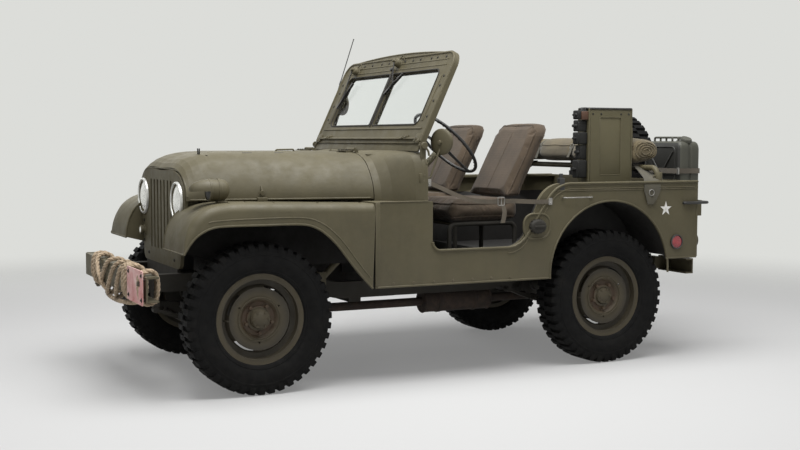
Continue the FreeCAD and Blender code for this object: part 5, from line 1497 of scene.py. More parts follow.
def make_front():
    face = FRONT_AXLE + 0.565
    bm = bmesh.new()
    add_plate(bm, rounded([
        (0.393, 0.474), (0.7, 0.474), (0.7, 0.64), (0.393, 0.64),
    ], [0.012] * 4, 4), "x", face + 0.016, face + 0.0185, 0.0008)
    finished("blank_plate", bm, finish("faded_plate", faded_plate))
    bm = bmesh.new()
    loop = [
        vec(face + 0.0188, y, z)
        for y, z in rounded([(0.396, 0.477), (0.697, 0.477), (0.697, 0.637), (0.396, 0.637)], [0.01] * 4, 4)
    ]
    add_tube(bm, loop, 0.0022, 6, True)
    finished("blank_plate_rim", bm, finish("faded_plate", faded_plate))
    spots = []
    for y in (0.42, 0.672):
        for z in (0.5, 0.615):
            spots.append((vec(face + 0.0185, y, z), (1, 0, 0)))
    for side in (1, -1):
        for y in (0.315, 0.345):
            for z in (0.515, 0.575):
                spots.append((vec(face, y * side, z), (1, 0, 0)))
    stays = bmesh.new()
    for y in (0.42, 0.672):
        for z in (0.5, 0.595):
            add_rod(stays, vec(face - 0.002, y, z), vec(face + 0.0162, y, z), 0.006, 12)
    finished("plate_stays", stays, dark_olive())
    fastenings("bumper_bolts", spots, 0.0085, 0.006, dark_olive(), sides=12, dome=0.5)
    bm = bmesh.new()
    for side in (1, -1):
        lip = [vec(FRONT_AXLE + 0.506, y * side, 0.6085) for y in (0.2, 0.45, 0.686)] + [
            vec(face - 0.006, 0.686 * side, 0.6085), vec(face - 0.002, 0.684 * side, 0.6),
            vec(face - 0.002, 0.684 * side, 0.492),
        ]
        add_tube(bm, lip, 0.0026, 8)
    finished("bumper_lips", bm, olive())

    bm = bmesh.new()
    plate = FRONT_AXLE + 0.308
    for i in range(7):
        y = (i - 3) * 0.066
        outline = rounded([
            (y - 0.014, 0.672), (y + 0.014, 0.672), (y + 0.014, 1.046), (y - 0.014, 1.046),
        ], [0.0112] * 4, 6)
        add_tube(bm, [vec(plate - 0.0015, a, b) for a, b in outline], 0.0022, 8, True)
    for side in (1, -1):
        rim = [
            vec(plate - 0.002, 0.335 * side + 0.105 * cos(a), 0.945 + 0.105 * sin(a))
            for a in (TAU * k / 64 for k in range(64))
        ]
        add_tube(bm, rim, 0.0045, 8, True)
    finished("grille_edges", bm, olive())
    spots = []
    for side in (1, -1):
        for z in (0.64, 0.7, 0.81):
            spots.append((vec(plate, 0.255 * side if z < 0.65 else 0.352 * side, z), (1, 0, 0)))
    fastenings("grille_bolts", spots, 0.0075, 0.0055, dark_olive(), dome=0.9)


class FIELDCAR_OT_front(bpy.types.Operator):
    """Makes the blank plate, its stays, bumper bolts and lips, and the grille's slot edges and bolts"""
    bl_idname = "fieldcar.front"
    bl_label = "Front trim"

    def execute(self, context):
        make_front()
        return {"FINISHED"}


# Load


def make_cabinet():
    low, high = (Vector(v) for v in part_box("radio_cabinet"))
    low.y, high.z = high.y - 0.103, high.z - 0.012
    bm = bmesh.new()
    add_box(bm, low, high, 0.004)
    t = 0.0035
    for y, way in ((low.y, -1), (high.y, 1)):
        near, far = sorted((y - way * 0.001, y + way * t))
        sheet = [
            (low.x + 0.01, low.z + 0.01), (high.x - 0.01, low.z + 0.01), (high.x - 0.01, high.z - 0.016),
            (low.x + 0.01, high.z - 0.016),
        ]
        hole = rounded([
            (low.x + 0.078, low.z + 0.13), (low.x + 0.222, low.z + 0.13), (low.x + 0.222, high.z - 0.052),
            (low.x + 0.078, high.z - 0.052),
        ], [0.006] * 4, 4)
        ring = rounded([(p[0], p[1]) for p in sheet], [0.006] * 4, 4)
        add_hoop_plate(bm, ring, hole, "y", near, far)
        add_tube(bm, [vec(p.x, y + way * t * 0.8, p.y) for p in hole], 0.0022, 8, True)
    for x in (low.x, high.x):
        for y in (low.y, high.y):
            add_tube(bm, [vec(x, y, low.z + 0.004), vec(x, y, high.z - 0.002)], 0.0042, 10)
    for y in (low.y + 0.03, high.y - 0.03):
        a = vec(low.x, y, low.z + 0.3)
        add_tube(bm, corner_path([
            a, a + vec(-0.026, 0, 0), a + vec(-0.026, 0, 0.1), a + vec(0, 0, 0.1),
        ], 0.01, 4), 0.0045, 10)
    for k in range(6):
        z = low.z + 0.085 + 0.026 * k
        add_tube(bm, [vec(low.x - 0.0005, low.y + 0.016, z), vec(low.x - 0.0005, high.y - 0.016, z)], 0.005, 8)
    finished("slim_radio_cabinet", bm, cabinet_paint(), replaces=("radio_cabinet",))
    bm = bmesh.new()
    loop = [
        vec(x, y, high.z - 0.003)
        for x, y in rounded([
            (low.x - 0.001, low.y - 0.001), (high.x + 0.001, low.y - 0.001), (high.x + 0.001, high.y + 0.001),
            (low.x - 0.001, high.y + 0.001),
        ], [0.008] * 4, 4)
    ]
    add_tube(bm, loop, 0.0055, 8, True)
    for x, way in ((low.x, -1), (high.x, 1)):
        for dz in (0.0, -0.03):
            at = vec(x + 0.003 * way, (low.y + high.y) / 2, high.z - 0.006 + dz)
            add_box(bm, at - vec(0.005, 0.024, 0.01), at + vec(0.005, 0.024, 0.01), 0.002)
        add_tube(bm, corner_path([
            vec(x, high.y - 0.02, high.z), vec(x + 0.012 * way, high.y - 0.02, high.z),
            vec(x + 0.012 * way, high.y - 0.02, high.z - 0.045),
        ], 0.006, 4), 0.0035, 8)
    finished("cabinet_rails", bm, black())
    spots = []
    for y, way in ((low.y - t, -1), (high.y + t, 1)):
        for x in (low.x + 0.078, low.x + 0.215):
            spots.append((vec(x, y, high.z - 0.034), (0, way, 0)))
        for x in (low.x + 0.024, high.x - 0.024):
            for z in (low.z + 0.05, high.z - 0.034):
                spots.append((vec(x, y, z), (0, way, 0)))
    fastenings("cabinet_screws", spots, 0.0045, 0.0028, rack_paint(), sides=14, dome=0.55, slot="body_paint")

    low, high = (Vector(v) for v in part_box("equipment_rack"))
    low.y = high.y - 0.05
    high.x -= 0.018
    bm = bmesh.new()
    generator = random.Random(4)
    tiers = [low.z, low.z + 0.105, low.z + 0.19, low.z + 0.262, low.z + 0.33, high.z]
    for k, (z0, z1) in enumerate(zip(tiers, tiers[1:])):
        step = generator.choice((0.0, 0.008, 0.016))
        add_box(
            bm, (low.x, low.y + 0.004 * (k % 2), z0 + 0.002), (high.x - step, high.y - 0.006 * (k % 2), z1 - 0.002),
            0.007, steps=3,
        )
        face = high.x - step
        for y in (low.y + 0.016, high.y - 0.016):
            r = generator.choice((0.006, 0.009))
            add_lathe(bm, [
                (0, 0), (r * 1.25, 0), (r, 0.003), (r * 0.92, 0.011), (0, 0.012),
            ], vec(face - 0.001, y, (z0 + z1) / 2), X_AXIS, 16)
        add_tube(bm, corner_path([
            vec(face - 0.006, high.y - 0.008, z0 + 0.014), vec(face - 0.006, high.y + 0.004, z0 + 0.014),
            vec(face - 0.006, high.y + 0.004, z1 - 0.014), vec(face - 0.006, high.y - 0.008, z1 - 0.014),
        ], 0.005, 3), 0.003, 8)
    finished("slim_equipment_rack", bm, rack_paint(), replaces=("equipment_rack",))
    bm = bmesh.new()
    add_box(bm, (low.x - 0.004, high.y - 0.01, high.z - 0.055), (low.x + 0.046, high.y + 0.01, high.z - 0.008), 0.004)
    finished("rack_cover", bm, finish("red_brown_panel", aged_paint(
        (0.07, 0.034, 0.02), worn=(0.12, 0.08, 0.05), rough=0.6,
    )))


class FIELDCAR_OT_cabinet(bpy.types.Operator):
    """Makes the radio cabinet's frames, lids, latches and screws, and the front of its equipment rack"""
    bl_idname = "fieldcar.cabinet"
    bl_label = "Radio cabinet"

    def execute(self, context):
        make_cabinet()
        return {"FINISHED"}


def make_canvas():
    low, high = (Vector(v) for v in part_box("canvas_roll"))
    centre = (low + high) / 2
    half = (high.y - low.y) / 2 + 0.055
    radius = (high.z - low.z) / 2 - 0.005
    centre.x -= 0.008
    wide = 1.44
    straps = (-0.4, -0.02, 0.37)
    bm = bmesh.new()
    rings = []
    for i in range(57):
        y = -half + 0.006 + (2 * half - 0.012) * i / 56
        pinch = sum(exp(-((y - s) / 0.022) ** 2) for s in straps)
        swell = 0.004 * sin(5.1 * y + 0.6) + 0.003 * sin(17 * y)
        ring = []
        for k in range(48):
            a = TAU * k / 48
            fold = 0.0035 * sin(3 * a + 2.2 * y) + 0.006 * max(0.0, 1 - ((a - 4.4) / 0.5) ** 2)
            r = radius - 0.006 + swell * 0.6 - fold - 0.01 * pinch
            if i in (0, 56):
                r -= 0.007
            c, s = cos(a), sin(a)
            c, s = copysign(abs(c) ** 0.72, c), copysign(abs(s) ** 0.8, s)
            ring.append(bm.verts.new(vec(centre.x + r * wide * c - 0.012 * s, y, centre.z + r * s)))
        rings.append(ring)
    join_rings(bm, rings, capped=True)
    bmesh.ops.recalc_face_normals(bm, faces=bm.faces)
    mesh = bpy.data.meshes.new("canvas_cut")
    bm.to_mesh(mesh)
    bm.free()
    skin = swelled("canvas", mesh, 0.001, 0.007)
    roll = placed("rolled_canvas", skin, tan_canvas(), replaces=("canvas_roll",), angle=60)

    bm = bmesh.new()
    for way in (1, -1):
        points = []
        for k in range(130):
            a = 0.35 + TAU * 3.6 * k / 129
            r = 0.01 + (radius - 0.022) * k / 129
            points.append(vec(centre.x + r * wide * cos(a), centre.y + half * way, centre.z + r * sin(a) * way))
        add_tube(bm, [p + vec(0, 0.0004 * way, 0) for p in wrapped_line(roll.data, points, 0.0008)], 0.0033, 8)
    hem = [
        vec(
            centre.x + radius * 1.3, -half + 0.012 + (2 * half - 0.024) * k / 60,
            centre.z + radius * 0.55 + 0.003 * sin(k * 0.7),
        )
        for k in range(61)
    ]
    add_tube(bm, wrapped_line(roll.data, hem, 0.0012), 0.003, 8)
    finished("canvas_hems", bm, tan_canvas())

    bm = bmesh.new()
    metal = bmesh.new()
    for y in straps:
        loop = []
        for k in range(64):
            a = TAU * k / 64
            loop.append(vec(centre.x + radius * 1.5 * cos(a), y, centre.z + radius * 1.1 * sin(a)))
        loop = [vec(p.x, y, p.z) for p in wrapped_line(roll.data, loop, 0.0022)]
        add_strap(bm, loop, Y_AXIS, 0.026, 0.0032, True)
        at = loop[4]
        out = vec(at.x - centre.x, 0, at.z - centre.z).normalized()
        along = out.cross(Y_AXIS)
        frame_points = [
            at + out * 0.0035 + Y_AXIS * a + along * b
            for a, b in rounded([(-0.018, -0.014), (0.018, -0.014), (0.018, 0.014), (-0.018, 0.014)], [0.005] * 4, 3)
        ]
        add_tube(metal, frame_points, 0.0024, 8, True)
        hang = smooth_path([at + out * 0.003, at + out * 0.006 - along * 0.03, at + out * 0.012 - along * 0.075], 5)
        add_strap(bm, hang, Y_AXIS, 0.024, 0.003)
    for side in (1, -1):
        flap = smooth_path([
            vec(
                centre.x + 0.02, 0.545 * side, centre.z - radius - 0.001,
            ), vec(centre.x + 0.03, 0.64 * side, DECK_Z + 0.052),
            vec(centre.x + 0.055, 0.742 * side, DECK_Z + 0.012), vec(
                centre.x + 0.068, (BODY_HALF + 0.006) * side, DECK_Z - 0.018,
            ),
            vec(
                centre.x + 0.074, (BODY_HALF + 0.007) * side, DECK_Z - 0.075,
            ), vec(centre.x + 0.082, (BODY_HALF + 0.006) * side, DECK_Z - 0.128),
        ], 6)
        count = len(flap)
        rings = []
        for k, p in enumerate(flap):
            share = k / (count - 1)
            w = 0.026 + 0.03 * min(1, share * 2.2) - 0.038 * max(0, share - 0.72) / 0.28
            ahead = (flap[min(k + 1, count - 1)] - flap[max(k - 1, 0)]).normalized()
            out = ahead.cross(X_AXIS).normalized() * 0.0022
            ripple = vec(0, 0.003 * sin(9 * share) * side, 0)
            rings.append([
                bm.verts.new(p + X_AXIS * a + b + ripple)
                for a, b in ((w, out), (w, -out), (-w, -out), (-w, out))
            ])
        join_rings(bm, rings, capped=True)
        at = vec(centre.x + 0.08, (BODY_HALF + 0.01) * side, DECK_Z - 0.062)
        metal_ring = [
            at + vec(0.017 * cos(a), 0.0035 * side, 0.017 * sin(a))
            for a in (TAU * k / 24 for k in range(24))
        ]
        add_tube(metal, metal_ring, 0.0026, 8, True)
    finished("canvas_straps", bm, strap_olive())
    finished("canvas_buckles", metal, steel())

    bm = bmesh.new()
    for side in (1, -1):
        foot = vec(centre.x, 0.731 * side, DECK_Z)
        add_box(bm, foot + vec(-0.032, -0.026, -0.001), foot + vec(0.032, 0.026, 0.006), 0.0015)
        add_lathe(bm, [
            (0.0162, 0.0), (0.0215, 0.0), (0.0215, 0.046), (0.0195, 0.05), (0.0162, 0.05), (0.0162, 0.0),
        ], foot + vec(0, 0, 0.003), Z_AXIS, 28)
        add_rod(bm, foot + vec(-0.026, 0, 0.034), foot + vec(0.026, 0, 0.034), 0.0045, 12, 0.001)
        add_tube(bm, corner_path([
            foot + vec(0.026, 0, 0.034), foot + vec(0.036, 0, 0.034), foot + vec(0.036, 0, 0.012),
        ], 0.005, 3), 0.0028, 8)
    finished("bow_sockets", bm, olive())


class FIELDCAR_OT_canvas(bpy.types.Operator):
    """Makes the rolled canvas top with its folded ends, straps and the bow's brackets"""
    bl_idname = "fieldcar.canvas"
    bl_label = "Canvas roll"

    def execute(self, context):
        make_canvas()
        return {"FINISHED"}


def make_fuel_can():
    low, high = (Vector(v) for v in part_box("fuel_can"))
    middle = (low + high) / 2
    hx, hy = (high.x - low.x) / 2 - 0.001, (high.y - low.y) / 2 - 0.001
    bm = bmesh.new()

    def outline(grow):
        a, b = hx + grow, hy + grow
        g, d = 0.012, 0.009
        corners = [
            (-a, -b), (-g, -b), (-g * 0.55, -b + d), (g * 0.55, -b + d), (g, -b), (a, -b),
            (a, b), (g, b), (g * 0.55, b - d), (-g * 0.55, b - d), (-g, b), (-a, b),
        ]
        radii = [0.03, 0.003, 0.003, 0.003, 0.003, 0.03, 0.03, 0.003, 0.003, 0.003, 0.003, 0.03]
        return rounded(corners, [max(0.004, r + grow) if r > 0.01 else r for r in radii], 5)

    shoulder = high.z - 0.03
    rings = []
    for z, grow in (
        (low.z + 0.002, -0.02), (low.z + 0.004, -0.01), (low.z + 0.011, -0.003), (low.z + 0.022, 0.0),
        (shoulder - 0.046, 0.0), (shoulder - 0.028, -0.003), (shoulder - 0.012, -0.01), (shoulder - 0.003, -0.022),
        (shoulder, -0.036),
    ):
        rings.append([bm.verts.new(vec(middle.x + p.x, middle.y + p.y, z)) for p in outline(grow)])
    for a, b in zip(rings, rings[1:]):
        for k in range(len(a)):
            m = (k + 1) % len(a)
            bm.faces.new((a[k], a[m], b[m], b[k]))
    bm.faces.new(list(reversed(rings[0])))
    bm.faces.new(rings[-1])
    for way in (1, -1):
        face = middle.x + hx * way
        z0, z1 = low.z + 0.085, shoulder - 0.06
        y0, y1 = middle.y - hy + 0.055, middle.y + hy - 0.055
        border = rounded([
            (y0 - 0.016, z0 - 0.026), (y1 + 0.016, z0 - 0.026), (y1 + 0.016, z1 + 0.026), (y0 - 0.016, z1 + 0.026),
        ], [0.03] * 4, 6)
        add_tube(bm, [vec(face - 0.002 * way, p.x, p.y) for p in border], 0.006, 10, True)
        for (a, b), (c, d) in (((y0, z0), (y1, z1)), ((y1, z0), (y0, z1))):
            add_tube(bm, [
                vec(face - 0.003 * way, a, b), vec(face - 0.0025 * way, (a + c) / 2, (b + d) / 2),
                vec(face - 0.003 * way, c, d),
            ], 0.0085, 10)
    for dx in (-0.044, 0.0, 0.044):
        a = vec(middle.x + dx, middle.y - 0.105, shoulder - 0.004)
        b = vec(middle.x + dx, middle.y + 0.062, shoulder - 0.004)
        rise = vec(0, 0, 0.026)
        add_tube(bm, corner_path([a, a + rise, b + rise, b], 0.011, 5), 0.0062, 12)
    mouth = vec(middle.x, high.y - 0.05, shoulder - 0.018)
    way = vec(0, 0.42, 0.91).normalized()
    add_lathe(bm, [
        (0, 0), (0.031, 0), (0.031, 0.022), (0.034, 0.024), (0.034, 0.034), (0.03, 0.04), (0.012, 0.042), (0, 0.042),
    ], mouth, way, 32)
    add_box(bm, mouth + vec(-0.01, -0.05, 0.026), mouth + vec(0.01, 0.012, 0.04), 0.003)
    add_rod(bm, mouth + vec(-0.024, -0.046, 0.018), mouth + vec(0.024, -0.046, 0.018), 0.0055, 12, 0.001)
    finished("pressed_fuel_can", bm, can_paint_and_shadow(), replaces=("fuel_can",))

    bm = bmesh.new()
    z = low.z + 0.262
    out = 0.0035
    loop = rounded(
        [
            (low.x - out, low.y - out), (BODY_REAR - 0.002, low.y - out), (BODY_REAR - 0.002, high.y + out),
            (low.x - out, high.y + out),
        ], [0.03, 0.002, 0.002, 0.03], 6,
    )
    add_strap(bm, [vec(p.x, p.y, z) for p in loop], Z_AXIS, 0.03, 0.0032, True)
    finished("can_strap", bm, webbing())
    bm = bmesh.new()
    at = vec(low.x - 0.007, middle.y + 0.03, z)
    add_tube(bm, [
        at + vec(0, a, b)
        for a, b in rounded([(-0.022, -0.02), (0.022, -0.02), (0.022, 0.02), (-0.022, 0.02)], [0.005] * 4, 3)
    ], 0.0028, 8, True)
    add_rod(bm, at + vec(-0.001, 0, -0.02), at + vec(-0.001, 0, 0.02), 0.0024, 8)
    for y in (low.y - 0.004, high.y + 0.004):
        foot = vec(BODY_REAR - 0.006, y, z)
        add_box(bm, foot - vec(0.006, 0.006, 0.02), foot + vec(0.006, 0.006, 0.02), 0.002)
    finished("can_buckle", bm, steel())

    bm = bmesh.new()
    tray_low = low - vec(0.006, 0.006, 0.006)
    top = low.z + 0.082
    rim = rounded([
        (tray_low.x, tray_low.y), (BODY_REAR, tray_low.y), (BODY_REAR, high.y + 0.006), (tray_low.x, high.y + 0.006),
    ], [0.004] * 4, 3)
    add_tube(bm, [vec(p.x, p.y, top) for p in rim], 0.005, 8, True)
    for y in (tray_low.y + 0.05, high.y - 0.05):
        add_plate(bm, [
            (BODY_REAR + 0.001, tray_low.z - 0.085), (BODY_REAR + 0.001, tray_low.z + 0.001),
            (tray_low.x + 0.02, tray_low.z + 0.001), (tray_low.x + 0.02, tray_low.z - 0.014),
        ], "y", y - 0.003, y + 0.003, 0.001)
    finished("tray_edges", bm, olive())


class FIELDCAR_OT_fuel_can(bpy.types.Operator):
    """Makes the pressed fuel can with its grooves, three handles, cap and strap"""
    bl_idname = "fieldcar.fuel_can"
    bl_label = "Fuel can"

    def execute(self, context):
        make_fuel_can()
        return {"FINISHED"}


def make_mirrors():
    rims = bmesh.new()
    glass = bmesh.new()
    for side, shift, lift, angle in ((1, 0, 0, 25), (-1, 0.07, 0.23, -9)):
        turn = radians(angle)
        centre = vec(FRONT_AXLE - 0.985 - shift, 0.728 * side, 1.245 + lift)
        facing = vec(-cos(turn), -sin(turn) * side, 0)
        ahead = -facing
        add_lathe(rims, [
            (0.064, -0.0015), (0.0675, -0.0005), (0.0685, 0.003), (0.0685, 0.012), (0.066, 0.0155), (0.058, 0.0185),
            (0.04, 0.0215), (0.018, 0.023), (0, 0.0233), (0, 0.01), (0.064, 0.01), (0.064, -0.0015),
        ], centre, ahead, 56)
        add_lathe(glass, [(0, -0.0004), (0.0645, -0.0004), (0.0645, 0.0015), (0, 0.0015)], centre, ahead, 48)
        clamp = centre + ahead * 0.022 + vec(0, 0, -0.004)
        add_lathe(rims, [(0, -0.004), (0.012, -0.002), (0.0135, 0.004), (0.01, 0.012), (0, 0.014)], clamp, ahead, 24)
        foot = vec(COWL_REAR + 0.024, 0.738 * side, 1.06)
        add_box(
            rims, foot + vec(-0.03, 0.004 * side - 0.01, -0.024), foot + vec(0.02, 0.004 * side + 0.01, 0.024), 0.004,
        )
        for dz in (-0.014, 0.014):
            add_rod(rims, foot + vec(-0.005, 0.01 * side, dz), foot + vec(-0.005, 0.02 * side, dz), 0.0055, 6, 0.0008)
    finished("mirror_rims", rims, olive(), slot="black_steel")
    finished("mirror_glass", glass, chrome())

    bm = bmesh.new()
    foot = vec(FRONT_AXLE - 0.858, -0.7706, 1.03)
    way = vec(-sin(radians(18.5)), 0, cos(radians(18.5)))
    side, up = side_frame(way)
    coil = []
    for k in range(10 * 14 + 1):
        a = TAU * k / 14
        coil.append(foot + way * (0.06 + 0.075 * k / 140) + (side * cos(a) + up * sin(a)) * 0.0115)
    add_tube(bm, coil, 0.0026, 8)
    add_lathe(bm, [(0, 0.0565), (0.0135, 0.0565), (0.0135, 0.061), (0.009, 0.064), (0, 0.064)], foot, way, 20)
    add_lathe(bm, [
        (0, 0.132), (0.01, 0.133), (0.0125, 0.137), (0.01, 0.146), (0.006, 0.156), (0.0042, 0.172), (0, 0.172),
    ], foot, way, 20)
    for share in (0.36, 0.66):
        add_lathe(bm, [
            (0, 0), (0.0048, 0.001), (0.0052, 0.012), (0.0044, 0.026), (0, 0.027),
        ], foot + way * 0.907 * share, way, 14)
    add_lathe(bm, [(0, 0), (0.0042, 0.001), (0.0046, 0.003), (0, 0.0046)], foot + way * 0.9035, way, 12)
    finished("antenna_spring", bm, black())
    bm = bmesh.new()
    add_box(bm, foot + vec(-0.03, -0.004, -0.06), foot + vec(0.03, 0.0105, 0.016), 0.003)
    add_lathe(bm, [
        (0, -0.008), (0.018, -0.008), (0.018, -0.002), (0.0145, 0.002), (0.0145, 0.018), (0.0128, 0.02), (0, 0.02),
    ], foot, way, 24)
    finished("antenna_bracket", bm, olive())


class FIELDCAR_OT_mirrors(bpy.types.Operator):
    """Makes the mirrors' glass, rims and clamps, and the antenna's spring foot"""
    bl_idname = "fieldcar.mirrors"
    bl_label = "Mirrors and antenna"

    def execute(self, context):
        make_mirrors()
        return {"FINISHED"}


def make_controls():
    centre = vec(FRONT_AXLE - 1.19203, 0.3728, 1.236)
    axis = vec(-0.719327, 0, 0.694678).normalized()
    across, up = side_frame(axis)
    bm = bmesh.new()
    add_ring(bm, centre, axis, 0.216, 0.009, 112, 12)
    for k in range(36):
        a = TAU * k / 36
        out = across * cos(a) + up * sin(a)
        add_lathe(bm, [
            (0, -0.0025), (0.0045, -0.0018), (0.0065, 0.0), (0.0045, 0.0018), (0, 0.0025),
        ], centre + out * 0.213 - axis * 0.0075, axis, 8)
    for k in range(3):
        turn = Matrix.Rotation(radians(120 * k + 90), 3, axis)
        out = turn @ Y_AXIS
        wide = axis.cross(out).normalized()
        for shift in (-0.011, 0.011):
            line = [
                centre - axis * 0.018 + out * 0.02 + wide * shift * 1.4,
                centre - axis * 0.016 + out * 0.075 + wide * shift,
                centre - axis * 0.006 + out * 0.175 + wide * shift * 0.8, centre + out * 0.214 + wide * shift * 0.9,
            ]
            add_tube(bm, smooth_path(line, 6), 0.0046, 10)
        plate = centre - axis * 0.007 + out * 0.176
        add_tube(bm, [plate - wide * 0.016, plate + wide * 0.016], 0.0055, 10)
    add_lathe(bm, [
        (0.0102, -0.052), (0.024, -0.052), (0.029, -0.048), (0.032, -0.03), (0.033, -0.012), (0.044, -0.006),
        (0.045, -0.001),
        (0.04, 0.003), (0.034, 0.0045), (0.033, 0.008), (0.028, 0.011), (0.012, 0.0125), (0, 0.0128), (0, -0.012),
        (0.0102, -0.012), (0.0102, -0.052),
    ], centre, axis, 44)
    finished("steering_rim", bm, black(), "steering_wheel", replaces=("steering_wheel",), slot="grip_black")

    bm = bmesh.new()
    top = centre - axis * 0.06
    add_lathe(bm, [
        (0.0178, -0.02), (0.024, -0.02), (0.026, -0.016), (0.026, -0.002), (0.022, 0.003), (0.0115, 0.004),
        (0.0115, 0.001), (0.0178, -0.001), (0.0178, -0.02),
    ], top, axis, 32)
    bracket = top - axis * 0.3
    add_lathe(bm, [
        (0.0177, -0.016), (0.0245, -0.016), (0.0245, 0.016), (0.0177, 0.016), (0.0177, -0.016),
    ], bracket, axis, 28)
    add_strap(bm, [
        bracket + vec(0.012, 0, 0.02), bracket + vec(0.04, 0, 0.075), vec(FRONT_AXLE - 0.872, centre.y, 1.07),
    ], Y_AXIS, 0.045, 0.006)
    finished("column_clamps", bm, olive())

    face = FRONT_AXLE - 0.873
    rims = bmesh.new()
    dials = bmesh.new()
    marks = bmesh.new()
    for y, z, r in (
        (0.085, 1.1, 0.044), (0.002, 1.135, 0.0255), (0.002, 1.068, 0.0255), (0.168, 1.135, 0.0255),
        (0.168, 1.068, 0.0255),
    ):
        at = vec(face, y, z)
        add_lathe(rims, [
            (r * 0.9, 0.0), (r * 1.06, 0.0), (r * 1.06, 0.006), (r * 1.0, 0.0095), (r * 0.9, 0.008), (r * 0.9, 0.0),
        ], at, -X_AXIS, 40)
        add_lathe(dials, [(0, 0.0), (r * 0.93, 0.0), (r * 0.93, 0.0055), (0, 0.006)], at, -X_AXIS, 40)
        for k in range(11):
            a = radians(-130 + 26 * k)
            out = vec(0, sin(a), cos(a))
            add_strap(marks, [
                at - X_AXIS * 0.0062 + out * r * 0.66, at - X_AXIS * 0.0062 + out * r * 0.82,
            ], vec(0, out.z, -out.y), 0.0018, 0.0008)
        a = radians(-40)
        needle = vec(0, sin(a), cos(a))
        add_strap(marks, [
            at - X_AXIS * 0.0066 - needle * r * 0.15, at - X_AXIS * 0.0066 + needle * r * 0.7,
        ], vec(0, needle.z, -needle.y), 0.0024, 0.0008)
    finished("gauge_rims", rims, black())
    finished("gauge_dials", dials, finish("dial_face", dial_face))
    finished("gauge_marks", marks, finish("white_marking", white_marking))

    bm = bmesh.new()
    add_plate(bm, rounded([
        (-0.04, 1.03), (0.21, 1.03), (0.21, 1.17), (-0.04, 1.17),
    ], [0.016] * 4, 5), "x", face - 0.0025, face + 0.001, 0.0008)
    add_plate(bm, rounded([
        (-0.56, 1.02), (-0.23, 1.02), (-0.23, 1.15), (-0.56, 1.15),
    ], [0.016] * 4, 5), "x", face - 0.0045, face + 0.001, 0.001)
    for y in (-0.535, -0.255):
        add_rod(bm, vec(face - 0.007, y - 0.02, 1.02), vec(face - 0.007, y + 0.02, 1.02), 0.0055, 12, 0.001)
    grab = [
        vec(face, -0.64, 1.12), vec(face - 0.045, -0.64, 1.12), vec(face - 0.045, -0.64, 1.02), vec(face, -0.64, 1.02),
    ]
    add_tube(bm, corner_path(grab, 0.014, 5), 0.0065, 12)
    finished("dash_plates", bm, olive())
    bm = bmesh.new()
    for y, z in (
        (0.255, 1.13), (0.255, 1.09), (0.5, 1.12), (-0.085, 1.13), (-0.085, 1.09), (-0.13, 1.11), (0.56, 1.12),
        (0.56, 1.08),
    ):
        at = vec(face, y, z)
        add_lathe(bm, [
            (0, 0), (0.0115, 0), (0.0115, 0.004), (0.005, 0.006), (0.0046, 0.016), (0.0095, 0.018), (0.0105, 0.024),
            (0.007, 0.029), (0, 0.03),
        ], at, -X_AXIS, 18)
    add_lathe(bm, [
        (0, 0), (0.006, 0), (0.006, 0.012), (0.015, 0.014), (0.015, 0.02), (0, 0.021),
    ], vec(face - 0.004, -0.395, 1.135), -X_AXIS, 20)
    gear = vec(FRONT_AXLE - 0.985, 0.02, 0.65)
    add_lathe(bm, [
        (0, -0.002), (0.056, -0.002), (0.06, 0.004), (0.05, 0.011), (0.034, 0.024), (0.026, 0.042), (0.02, 0.05),
        (0, 0.052),
    ], gear, Z_AXIS, 32)
    tips = []
    for foot, tip in (
        (gear + vec(0, 0, 0.04), gear + vec(-0.06, 0.02, 0.33)),
        (vec(FRONT_AXLE - 1.03, -0.075, 0.652), vec(FRONT_AXLE - 1.075, -0.08, 0.87)),
        (vec(FRONT_AXLE - 1.03, -0.11, 0.652), vec(FRONT_AXLE - 1.08, -0.115, 0.85)),
    ):
        tips.append((foot, tip))
        add_lathe(bm, [
            (0, -0.02), (0.01, -0.018), (0.0165, -0.008), (0.018, 0.002), (0.0145, 0.012), (0.007, 0.0165), (0, 0.0175),
        ], tip, tip - foot, 24)
    x, y = FRONT_AXLE - 1.03, -0.0925
    add_box(bm, vec(x - 0.045, y - 0.04, 0.648), vec(x + 0.045, y + 0.04, 0.656), 0.003)
    pedal_tops = []
    for y, w in ((0.3, 0.034), (0.405, 0.034)):
        add_box(bm, vec(FRONT_AXLE - 0.872, y - w, 0.755), vec(FRONT_AXLE - 0.862, y + w, 0.815), 0.004)
        pedal_tops.append(vec(FRONT_AXLE - 0.864, y, 0.785))
    add_box(
        bm, vec(FRONT_AXLE - 0.845, 0.195, 0.64), vec(FRONT_AXLE - 0.833, 0.235, 0.76), 0.004,
        Matrix.Rotation(radians(-32), 3, "Y"),
    )
    finished("cab_knobs", bm, black(), slot="grip_black")
    bm = bmesh.new()
    for foot, tip in tips:
        bend = foot.lerp(tip, 0.45) + vec(0.012, 0, 0)
        add_tube(bm, smooth_path([foot - vec(0, 0, 0.004), bend, tip], 7), 0.0055, 12)
    for place in pedal_tops:
        add_tube(bm, smooth_path([
            place, place + vec(0.06, 0, -0.035), place + vec(0.15, 0, -0.02), vec(FRONT_AXLE - 0.69, place.y, 0.8),
        ], 6), 0.0075, 12)
    finished("cab_levers", bm, steel())


class FIELDCAR_OT_controls(bpy.types.Operator):
    """Makes the steering wheel, gauges, switches, levers and pedals"""
    bl_idname = "fieldcar.controls"
    bl_label = "Controls"

    def execute(self, context):
        make_controls()
        return {"FINISHED"}


# Tow rope


